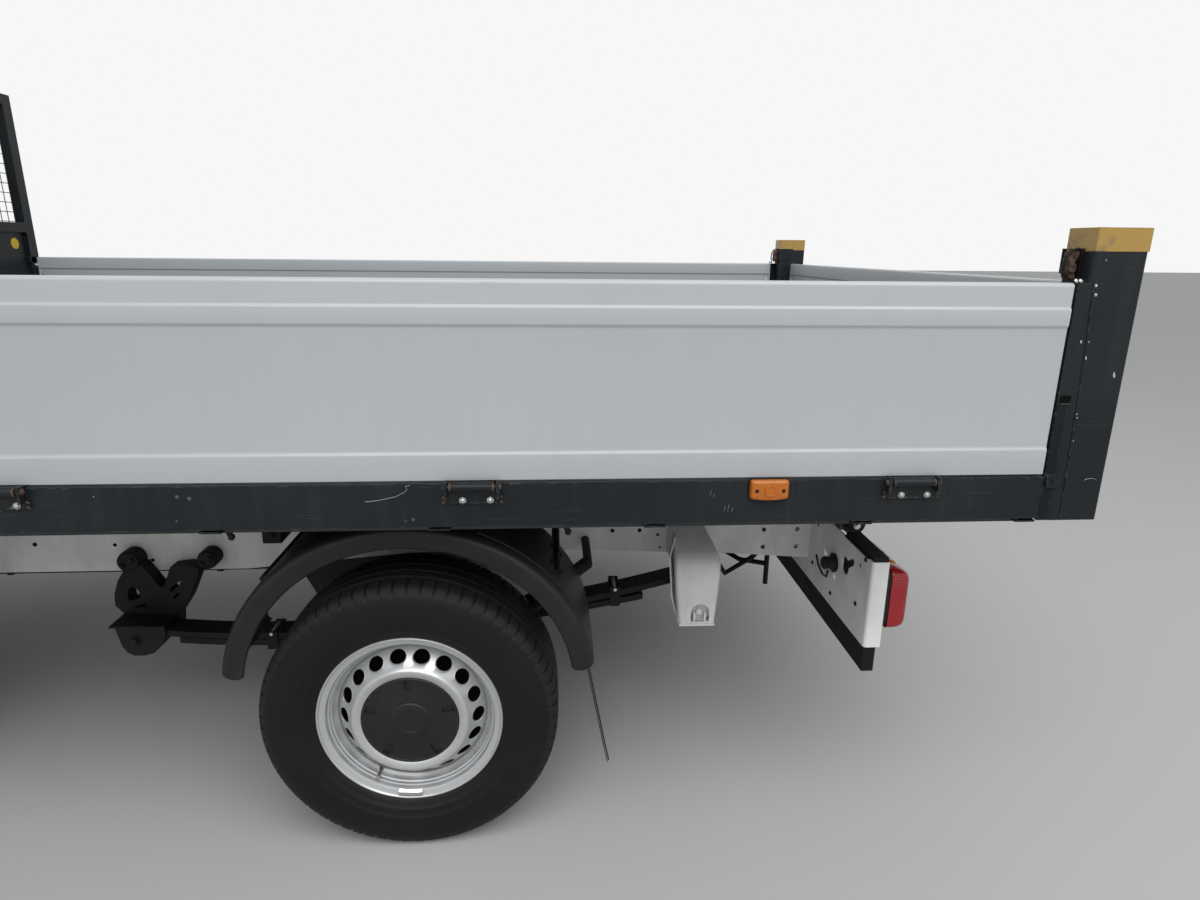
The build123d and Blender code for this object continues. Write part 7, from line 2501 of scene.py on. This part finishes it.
@dataclass
class CabFront:
    """Lamps, grille filling, fog lamps and bumper fittings."""

    nodes: dict[str, bpy.types.Object]
    lamp_pivot: Flat = (4.20, 0.42)
    columns: int = 22
    rows: int = 8
    skin: Probe = field(init=False)
    lens: Probe = field(init=False)

    def build(self) -> None:
        """Makes the front's pieces."""
        self.skin = Probe(self.nodes, ["cab_shell", "front_bumper", "headlamps"])
        self.lens = Probe(self.nodes, ["headlamps"])
        for side, sign in SIDES:
            self._lamp(side, sign)
        self._grille()
        self._bumper()

    def _column(self, turn: float, height: float, sign: int) -> Spot:
        """The lamp's outer face at a plan angle and height, seen from ahead and outside."""
        way = Vector((math.cos(turn), sign * math.sin(turn), 0))
        pivot = Vector((at(self.lamp_pivot[0]), sign * self.lamp_pivot[1], height))
        return self.lens.hit(pivot + way * 0.9, -way)

    def _grid(self, sign: int) -> list[list[Spot]]:
        """Points over the lamp's outer face, inside its outline."""
        turns = [math.radians(16.5 + 63.0 * step / 400) for step in range(401)]
        inside = []
        for turn in turns:
            spot, _ = self._column(turn, 0.950, sign)
            if abs(spot.y) > 0.5235 and spot.x > at(4.318):
                inside.append(turn)
        first, last = inside[0], inside[-1]
        grid = []
        for column in range(self.columns + 1):
            turn = first + (last - first) * column / self.columns
            x = self._column(turn, 0.950, sign)[0].x
            low = 0.880 - 0.030 * (x - at(4.290)) / 0.410 + 0.003
            high = 1.052 - 0.012 * (x - at(4.320)) / 0.380 - 0.003
            grid.append([
                self._column(turn, low + (high - low) * row / self.rows, sign)
                for row in range(self.rows + 1)])
        return grid

    def _lamp(self, side: str, sign: int) -> None:
        """One headlamp: clear lens, dark housing, two bowls and the amber indicator."""
        grid = self._grid(sign)
        shape = Shape(f"headlamp_{side}")
        panel(shape, grid, -0.0010, -0.0045, Surface.CLEAR_LENS)
        panel(shape, grid, -0.0420, -0.0450, Surface.LAMP_BODY)
        border = grid[0] + [row[-1] for row in grid[1:]] + grid[-1][-2::-1] + [
            row[0] for row in grid[-2:0:-1]]
        rings = [[point - normal * depth for point, normal in border] for depth in (0.0046, 0.0425)]
        shape.skin(rings, Surface.LAMP_BODY)
        for share, reach, surface in (
                (0.22, 0.066, Surface.CHROME), (0.60, 0.060, Surface.CHROME),
                (0.88, 0.036, Surface.AMBER_LENS)):
            column = round(share * self.columns)
            point, normal = grid[column][self.rows // 2]
            ahead = (normal * 0.5 + Vector((1, 0, 0))).normalized()
            place = facing(point - normal * 0.014 - ahead * 0.004, ahead)
            bowl = [
                (0.0, reach), (-0.004, reach * 0.98), (-0.016, reach * 0.80), (-0.024, reach * 0.52),
                (-0.027, reach * 0.24), (-0.027, 0.0)]
            shape.lathe(bowl, place, surface, 40)
            shape.lathe(
                [(0.0005, reach), (0.0005, reach + 0.004), (-0.020, reach + 0.004)], place,
                Surface.LAMP_BODY, 40)
            if surface is Surface.CHROME:
                shape.lathe(
                    [(-0.027, 0.009), (-0.010, 0.008), (-0.006, 0.005), (-0.005, 0.0)], place,
                    Surface.CLEAR_LENS, 24)
        piece = shape.finish("vehicle")
        if sign > 0:
            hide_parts("headlamps")

    def _grille(self) -> None:
        """Dark mesh behind the grille's slots and the lower intake."""
        shape = Shape("grille_mesh")
        for (y0, y1), (z0, z1), station in (
                ((-0.49, 0.49), (0.797, 1.003), 4.530), ((-0.425, 0.425), (0.405, 0.585), 4.578)):
            shape.box((at(station) - 0.004, at(station)), (y0, y1), (z0, z1), Surface.SHADOW)
            count = round((y1 - y0) / 0.028)
            for index in range(1, count):
                y = y0 + (y1 - y0) * index / count
                shape.tube(
                    [(at(station) + 0.006, y, z0), (at(station) + 0.006, y, z1)], 0.0022,
                    Surface.BLACK_PLASTIC, 6)
            rows = round((z1 - z0) / 0.020)
            for index in range(1, rows):
                z = z0 + (z1 - z0) * index / rows
                shape.tube(
                    [(at(station) + 0.009, y0, z), (at(station) + 0.009, y1, z)], 0.0018,
                    Surface.BLACK_PLASTIC, 6)
        shape.finish("vehicle", crease=35.0)

    def _bumper(self) -> None:
        """Fog lamps, towing eye's cover and the bumper's step line."""
        shape = Shape("bumper_fittings")
        for sign in (1, -1):
            spot, normal = self.skin.front(sign * 0.640, 0.505)
            place = facing(spot, normal)
            shape.lathe(
                [(-0.002, 0.066), (0.004, 0.065), (0.006, 0.060), (0.004, 0.050), (0.002, 0.049)], place,
                Surface.BLACK_PLASTIC, 40)
            shape.lathe(
                [(0.0015, 0.050), (0.0045, 0.046), (0.0075, 0.030), (0.0085, 0.0)], place,
                Surface.CLEAR_LENS, 40)
        spot, normal = self.skin.front(0.47, 0.625)
        place = facing(spot, normal)
        outline = rounded_box((-0.035, 0.035), (-0.03, 0.03), 0.012)
        shape.prism(outline, place, -0.004, 0.0022, Surface.BUMPER)
        for height, width in ((0.735, 0.014), (0.600, 0.010)):
            spots = [self.skin.front(-0.88 + 0.04 * step, height) for step in range(45)]
            strip(shape, spots, width, 0.0035, Surface.BLACK_PLASTIC)
        shape.finish("vehicle")


@dataclass
class Doors:
    """What is fixed to each door: seal, moulding, handle bowl, mirror glass and the inner card."""

    nodes: dict[str, bpy.types.Object]
    moulding_height: float = 0.800
    card_y: float = 0.9240

    def build(self) -> None:
        """Makes both doors' pieces."""
        for side, sign in SIDES:
            probe = Probe(self.nodes, [f"door_{side}"])
            self._outside(side, sign, probe)
            self._card(side, sign)
            self._mirror(side, sign)

    def _outside(self, side: str, sign: int, probe: Probe) -> None:
        """Window seal, waist strip, moulding, handle bowl and lock."""
        shape = Shape(f"door_trim_{side}")
        strip(
            shape, [probe.side(x, z, sign) for x, z in traced(WINDOW, 0.008, 0.04)], 0.018, 0.004,
            Surface.SEAL, closed=True)
        strip(
            shape, [probe.side(2.425 + 0.04 * step, 1.404, sign) for step in range(24)], 0.022, 0.007,
            Surface.SEAL)
        strip(
            shape, [probe.side(2.378 + 0.04 * step, self.moulding_height, sign) for step in range(26)],
            0.085, 0.010, Surface.BUMPER)
        grid = [
            [probe.side(2.452 + 0.021 * column, 1.098 + 0.016 * row, sign) for row in range(5)]
            for column in range(7)]
        panel(shape, grid, 0.0006, -0.002, Surface.BLACK_PLASTIC)
        grip = [
            (at(2.446), sign * 1.0105, 1.130), (at(2.470), sign * 1.0150, 1.130),
            (at(2.515), sign * 1.0170, 1.130), (at(2.560), sign * 1.0150, 1.130),
            (at(2.584), sign * 1.0105, 1.130)]
        shape.tube(grip, 0.0135, Surface.BLACK_PLASTIC, 16, 0.75)
        spot, normal = probe.side(2.640, 1.125, sign)
        shape.lathe(
            [(0, 0.013), (0.003, 0.0125), (0.004, 0.009), (0.0035, 0.0045), (0.002, 0)],
            facing(spot, normal), Surface.ZINC, 24)
        shape.finish(f"door_{side}")

    def _card(self, side: str, sign: int) -> None:
        """Trim board with armrest, loudspeaker and lever."""
        shape = Shape(f"door_card_{side}")
        outline = rounded(
            [(at(2.430), 0.640), (at(3.140), 0.640), (at(3.320), 0.900), (at(3.370), 1.385),
             (at(2.430), 1.385)],
            [0.05, 0.12, 0.10, 0.03, 0.03], 6)
        face = side_view(0)
        near, far = sorted((sign * self.card_y, sign * (self.card_y - 0.008)))
        shape.prism(outline, face, near, far, Surface.TRIM)
        levels = ((0.000, 0.90), (0.020, 0.98), (0.034, 1.0), (0.044, 0.97))
        arm = rounded([(-0.29, -0.035), (0.29, -0.030), (0.31, 0.020), (-0.29, 0.035)], [0.03] * 4, 5)
        rings = [
            [Vector((at(2.860) + u * share, sign * (self.card_y - 0.006 - depth), 1.075 + v * share))
             for u, v in arm]
            for depth, share in levels]
        shape.skin(rings, Surface.TRIM, capped=True)
        place = facing((at(2.98), sign * (self.card_y - 0.008), 0.800), (0, -sign, 0))
        shape.lathe(
            [(0, 0.082), (0.006, 0.080), (0.008, 0.074), (0.004, 0.066), (0.003, 0.030), (0.007, 0.018),
             (0.008, 0)],
            place, Surface.BLACK_PLASTIC, 40)
        lever = [
            (at(3.17), sign * (self.card_y - 0.010), 1.190),
            (at(3.13), sign * (self.card_y - 0.022), 1.192),
            (at(3.06), sign * (self.card_y - 0.022), 1.188)]
        shape.tube(lever, 0.009, Surface.CHROME, 12, 0.6)
        shape.finish(f"door_{side}", bevel=0.003)

    def _mirror(self, side: str, sign: int) -> None:
        """Main and wide-angle glass in their frame, and the repeater."""
        shape = Shape(f"mirror_glass_{side}")
        plane = end_view(at(3.310))
        for low, high in ((1.628, 1.852), (1.518, 1.606)):
            outline = rounded_box((1.052, 1.158), (low, high), 0.014, 5)
            turned = [(sign * y, z) for y, z in outline]
            shape.prism(turned, plane, -0.0030, -0.0002, Surface.BLACK_PLASTIC)
            inner = rounded_box((1.056, 1.154), (low + 0.004, high - 0.004), 0.012, 5)
            shape.prism([(sign * y, z) for y, z in inner], plane, -0.0038, -0.0029, Surface.MIRROR)
        rings = []
        for out, share in ((-0.001, 1.0), (0.002, 1.0), (0.005, 0.94), (0.0065, 0.75), (0.007, 0.3)):
            rings.append([
                Vector((at(3.400) + out, sign * (1.105 + u * share), 1.700 + v * share))
                for u, v in rounded_box((-0.022, 0.022), (-0.075, 0.075), 0.015, 5)])
        shape.skin(rings, Surface.AMBER_LENS, capped=True)
        shape.finish(f"door_{side}")


@dataclass
class Seats:
    """Padded driver's seat and double passenger bench on moulded boxes."""

    places: Sequence[tuple[float, float]] = ((-0.400, 0.455), (0.250, 0.372), (0.630, 0.372))

    def build(self) -> None:
        """Makes cushions, backs and head restraints, and the boxes under them."""
        for number, (y, width) in enumerate(self.places):
            cushion = self._pillow(
                f"seat_cushion_{number}", (at(2.775), y, 1.062), -4.0, (0.530, width, 0.125))
            if number == 0:
                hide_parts("seats")
            self._pillow(f"seat_back_{number}", (at(2.502), y, 1.352), 76.0, (0.520, width - 0.012, 0.125))
            self._pillow(
                f"head_rest_{number}", (at(2.418), y, 1.700), 78.0, (0.165, min(width * 0.62, 0.26), 0.085))
        base = Shape("seat_boxes")
        for y, width in ((0.440, 0.700), (-0.400, 0.400)):
            outline = rounded(
                [(at(2.560), 0.788), (at(2.980), 0.788), (at(2.960), 0.998), (at(2.560), 0.998)],
                [0.012] * 4, 4)
            base.prism(outline, side_view(0), y - width / 2, y + width / 2, Surface.TRIM)
            base.box(
                (at(2.585), at(2.940)), (y - width / 2 - 0.006, y - width / 2), (0.960, 0.985),
                Surface.ZINC)
            base.box(
                (at(2.585), at(2.940)), (y + width / 2, y + width / 2 + 0.006), (0.960, 0.985),
                Surface.ZINC)
        for y, _ in self.places:
            for side in (-0.045, 0.045):
                base.tube(
                    [(at(2.433), y + side, 1.575), (at(2.424), y + side, 1.640)], 0.0060, Surface.CHROME,
                    12)
        for sign in (1, -1):
            belt = [
                (at(2.330), sign * 0.905, 1.760), (at(2.360), sign * 0.890, 1.500),
                (at(2.400), sign * 0.880, 1.200), (at(2.440), sign * 0.875, 0.900)]
            base.tube(belt, 0.0235, Surface.BELT, 12, 0.06)
            base.lathe(
                [(0, 0.032), (0.010, 0.030), (0.014, 0.020), (0.015, 0)],
                facing((at(2.322), sign * 0.925, 1.765), (0, -sign, 0)), Surface.BLACK_PLASTIC, 24)
        base.finish("vehicle", bevel=0.003)

    def _pillow(self, name: str, middle: Point, pitch: float, size: Point) -> bpy.types.Object:
        """One padded piece with a piped seam.

        Args:
            name: Its name.
            middle: Its centre.
            pitch: How far its length leans up, in degrees.
            size: Its length, width and thickness.

        Returns:
            The piece.
        """
        shape = Shape(name)
        length, width, thick = size
        turn = Matrix.Translation(Vector(middle)) @ Matrix.Rotation(math.radians(-pitch), 4, "Y")
        outline = rounded_box(
            (-length / 2, length / 2), (-width / 2, width / 2), min(length, width) * 0.22, 8)
        levels = (
            (-0.50, 0.90), (-0.44, 0.955), (-0.30, 0.985), (0.0, 1.0), (0.22, 0.995), (0.30, 0.965),
            (0.37, 0.955), (0.44, 0.90), (0.485, 0.80), (0.50, 0.68), (0.475, 0.60), (0.495, 0.50),
            (0.50, 0.30), (0.49, 0.12))
        rings = [
            [turn @ Vector((u * share, v * share, thick * level)) for u, v in outline]
            for level, share in levels]
        shape.skin(rings, Surface.CLOTH, capped=True)
        seam = [turn @ Vector((u * 0.972, v * 0.972, thick * 0.27)) for u, v in outline]
        loop = seam + [seam[0]]
        shape.tube(loop, 0.0030, Surface.PIPING, 8)
        piece = shape.finish("vehicle", crease=60.0)
        return piece


@dataclass
class CabInside:
    """Instruments, controls, mats and visors."""

    wheel_y: float = -0.400

    def build(self) -> None:
        """Makes the inside's pieces."""
        self._dash()
        self._controls()
        self._wheel()

    def _dash(self) -> None:
        """Binnacle, dials, centre stack, air outlets, shelf and mats."""
        shape = Shape("dash_fittings")
        hood = rounded(
            [(at(3.455), 1.270), (at(3.440), 1.330), (at(3.475), 1.372), (at(3.640), 1.360),
             (at(3.640), 1.330)],
            [0.015, 0.03, 0.03, 0.02, 0.01], 5)
        shape.prism(hood, side_view(0), self.wheel_y - 0.170, self.wheel_y + 0.170, Surface.TRIM)
        face = facing((at(3.432), self.wheel_y, 1.245), (-1.0, 0, 0.35))
        for across, reach in ((-0.085, 0.052), (0.085, 0.052), (0.0, 0.026)):
            dial = face @ Matrix.Translation((across, 0.0, 0.0))
            shape.lathe(
                [(0, reach + 0.006), (0.010, reach + 0.005), (0.010, reach), (0.003, reach - 0.002),
                 (0.003, 0)],
                dial, Surface.BLACK_PLASTIC, 40)
            shape.lathe([(0.003, 0.007), (0.007, 0.006), (0.0075, 0)], dial, Surface.CHROME, 20)
        for y in (-0.78, -0.13, 0.13, 0.78):
            middle = (at(3.428), y, 1.200)
            outline = rounded_box((-0.055, 0.055), (-0.032, 0.032), 0.012)
            place = Matrix.Translation(middle) @ end_view(0)
            shape.prism(outline, place, -0.006, 0.012, Surface.BLACK_PLASTIC)
            for index in range(5):
                z = 1.178 + 0.011 * index
                shape.tube(
                    [(middle[0] - 0.007, y - 0.046, z), (middle[0] - 0.007, y + 0.046, z)], 0.0030,
                    Surface.BLACK_PLASTIC, 6)
        stack = rounded([(-0.105, 1.020), (0.105, 1.020), (0.115, 1.155), (-0.115, 1.155)], [0.015] * 4, 4)
        shape.prism(stack, end_view(at(3.422)), -0.010, 0.015, Surface.BLACK_PLASTIC)
        for y in (-0.065, 0.0, 0.065):
            shape.lathe(
                [(0, 0.020), (0.012, 0.018), (0.016, 0.015), (0.017, 0)],
                facing((at(3.412), y, 1.052), (-1, 0, 0)), Surface.TRIM, 28)
        shape.prism(
            rounded_box((-0.09, 0.09), (1.088, 1.138), 0.005, 3), end_view(at(3.4115)), -0.003, 0.001,
            Surface.CAP)
        shape.prism(
            rounded_box((0.22, 0.70), (1.02, 1.13), 0.02), end_view(at(3.424)), -0.006, 0.01, Surface.TRIM)
        shape.box((at(2.290), at(3.120)), (-0.920, 0.920), (0.7870, 0.7950), Surface.MAT)
        shape.box((at(3.120), at(3.500)), (-0.600, 0.600), (0.7870, 0.7950), Surface.MAT)
        for index in range(16):
            x = at(3.05 - 0.022 * index)
            shape.box((x - 0.004, x + 0.004), (-0.60, -0.20), (0.7945, 0.7975), Surface.MAT)
        for sign in (1, -1):
            visor = rounded_box((-0.20, 0.20), (-0.065, 0.065), 0.03, 5)
            place = Matrix.Translation((
                at(3.155), sign * 0.40, 2.262)) @ Matrix.Rotation(math.radians(-18), 4, "Y")
            turn = place @ Matrix(((0, 1, 0, 0), (1, 0, 0, 0), (0, 0, 1, 0), (0, 0, 0, 1)))
            shape.prism(visor, turn, -0.008, 0.008, Surface.LINING)
        shape.finish("vehicle", bevel=0.0025)

    def _controls(self) -> None:
        """Gear lever, pedals, handbrake and stalks."""
        shape = Shape("driver_controls")
        shape.tube(
            [(at(3.425), -0.030, 1.000), (at(3.385), -0.030, 1.030), (at(3.350), -0.030, 1.080)], 0.0075,
            Surface.BLACK_PLASTIC, 12)
        shape.lathe(
            [(-0.022, 0), (-0.020, 0.012), (-0.006, 0.022), (0.012, 0.024), (0.024, 0.018), (0.030, 0)],
            facing((at(3.340), -0.030, 1.094), (-0.55, 0, 0.85)), Surface.BLACK_PLASTIC, 24)
        shape.lathe(
            [(0, 0.045), (0.020, 0.034), (0.034, 0.020), (0.042, 0.010)],
            facing((at(3.430), -0.030, 0.996), (-0.6, 0, 0.5)), Surface.BLACK_PLASTIC, 28)
        for y, width in ((-0.280, 0.030), (-0.400, 0.034), (-0.510, 0.022)):
            shape.tube(
                [(at(3.570), y, 1.000), (at(3.545), y, 0.930), (at(3.520), y, 0.880)], 0.0065,
                Surface.BLACK_STEEL, 10)
            place = facing((at(3.514), y, 0.868), (-1.0, 0, 0.55))
            pad = rounded_box((-0.035, 0.035), (-width, width), 0.010)
            shape.prism(pad, place, -0.004, 0.006, Surface.BLACK_PLASTIC)
            for index in range(4):
                along = -0.022 + 0.0147 * index
                ends = [place @ Vector((along, side * width * 0.8, 0.0065)) for side in (-1, 1)]
                shape.tube(ends, 0.0018, Surface.BLACK_PLASTIC, 6)
        shape.tube(
            [(at(2.900), -0.135, 0.805), (at(2.830), -0.135, 0.870), (at(2.660), -0.135, 0.960)], 0.011,
            Surface.BLACK_PLASTIC, 12)
        shape.tube(
            [(at(2.760), -0.135, 0.905), (at(2.655), -0.135, 0.962)], 0.016, Surface.BLACK_PLASTIC, 16)
        for reach in (-1, 1):
            shape.tube(
                [(at(3.300), self.wheel_y + reach * 0.030, 1.165),
                 (at(3.290), self.wheel_y + reach * 0.110, 1.185),
                 (at(3.272), self.wheel_y + reach * 0.165, 1.205)],
                0.0070, Surface.BLACK_PLASTIC, 12, 0.7)
        shape.finish("vehicle", bevel=0.0012)

    def _wheel(self) -> None:
        """Boss cover of the steering wheel."""
        shape = Shape("steering_wheel_cover")
        tilt = math.radians(35.0)
        axis = Vector((-math.cos(tilt), 0, math.sin(tilt)))
        hub = Vector((at(3.215), self.wheel_y, 1.230))
        place = facing(hub, axis)
        outline = rounded(
            [(-0.080, -0.070), (0.080, -0.070), (0.070, 0.070), (-0.070, 0.070)], [0.035] * 4, 6)
        rings = [
            [place @ Vector((u * share, v * share, depth)) for u, v in outline]
            for depth, share in (
                (-0.012, 0.94), (0.014, 1.0), (0.026, 0.97), (0.033, 0.86), (0.036, 0.60), (0.037, 0.2))]
        shape.skin(rings, Surface.BLACK_PLASTIC, capped=True)
        shape.finish("steering_wheel", crease=50.0)


@dataclass
class Underside:
    """Tank straps with their bolts and a round plastic cap that are seen from below and behind the cab."""

    def build(self) -> None:
        """Makes the underside's fittings."""
        shape = Shape("underside_fittings")
        for x in (1.500, 1.960):
            outline = rounded(
                [(0.5285, 0.3985), (0.9015, 0.3985), (0.9015, 0.6915), (0.5285, 0.6915)],
                [0.030, 0.030, 0.012, 0.012], 5)
            inner = rounded(
                [(0.5300, 0.4000), (0.9000, 0.4000), (0.9000, 0.6900), (0.5300, 0.6900)],
                [0.029, 0.029, 0.011, 0.011], 5)
            plane = end_view(at(x))
            shape.skin(
                [[plane @ Vector((u, v, depth)) for u, v in ring]
                 for ring, depth in ((inner, -0.020), (outline, -0.020), (outline, 0.020), (inner, 0.020))],
                Surface.ZINC)
            shape.bolt((at(x), 0.9018, 0.600), (0, 1, 0), 0.008)
        shape.lathe(
            [(0, 0.032), (0.020, 0.034), (0.026, 0.030), (0.027, 0)],
            facing((at(1.700), 0.9005, 0.640), (0, 1, 0)), Surface.BLACK_PLASTIC, 32)
        shape.finish("vehicle", bevel=0.0008)


# The CAD pieces


@dataclass
class Carried:
    """The CAD nodes that stay, each with its finish and the rounding of its edges."""

    rounding: float = 0.0012

    def dress(self, nodes: dict[str, bpy.types.Object]) -> None:
        """Gives each node its finish.

        Args:
            nodes: The frame's nodes by name.
        """
        for names, surface, share in (
                (("dropside_left", "dropside_right", "tailboard"), Surface.BOARD, 1.5),
                (("bed_frame", "rear_posts", "headboard", "tipper_subframe", "ram_cradle"), Surface.DARK,
                 1.5),
                (("chassis_frame", "rear_crossmember", "spring_hangers"), Surface.CHASSIS, 1.0),
                (("spring_brackets", "rear_springs", "rear_underrun", "front_suspension", "ram_barrel"),
                 Surface.BLACK_STEEL, 1.5),
                (("rear_axle", "engine", "knuckle_left", "knuckle_right"), Surface.CAST_IRON, 2.5),
                (("mudguards", "fuel_tank", "mirror_left", "mirror_right", "steering_wheel"),
                 Surface.BLACK_PLASTIC, 2.0),
                (("front_bumper",), Surface.BUMPER, 3.0), (("dashboard",), Surface.TRIM, 4.0),
                (("cab_shell", "door_left", "door_right", "bonnet"), Surface.CAB, 1.5),
                (("cab_glass", "door_glass_left", "door_glass_right"), Surface.GLASS, 0.0),
                (("headlamps",), Surface.CLEAR_LENS, 1.0), (("tail_lamps",), Surface.RED_LENS, 1.0),
                (("ram_stage_lower", "ram_stage_upper", "ram_rod"), Surface.CHROME, 1.0),
                (("propshaft",), Surface.BLACK_STEEL, 1.0), (("exhaust",), Surface.EXHAUST, 1.0),
                (("seats",), Surface.CLOTH, 0.0), (("bed_floor",), Surface.FLOOR, 0.0)):
            for name in names:
                self._dress_one(nodes[name], surface, share * self.rounding)
        for corner in ("rear_left", "rear_right", "front_left", "front_right"):
            self._dress_one(nodes[f"tyre_{corner}"], Surface.TYRE, 0.0)
            self._dress_one(nodes[f"wheel_{corner}"], Surface.SILVER, 0.0)

    def _dress_one(self, node: bpy.types.Object, surface: Surface, rounding: float) -> None:
        """Sets one node's finish and rounding."""
        node.data.materials.clear()
        node.data.materials.append(surface.material)
        round_edges(node, rounding)


def main() -> None:
    """Builds every piece in order."""
    logging.basicConfig(level=logging.INFO, format="%(message)s")
    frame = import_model()
    PhotoCamera().build()
    Studio().build()
    Carried().dress(frame["nodes"])
    nodes = frame["nodes"]
    for part in (
            Wheels(), Mudguards(), Boards(), BedSides(), RearPosts(), Headboard(), Hangers(),
            SpringBrackets(), ChassisDetails(), TailLamps(), CabSkin(nodes), CabFront(nodes), Doors(nodes),
            Seats(), CabInside(), Underside()):
        part.build()


if __name__ == "__main__":
    main()
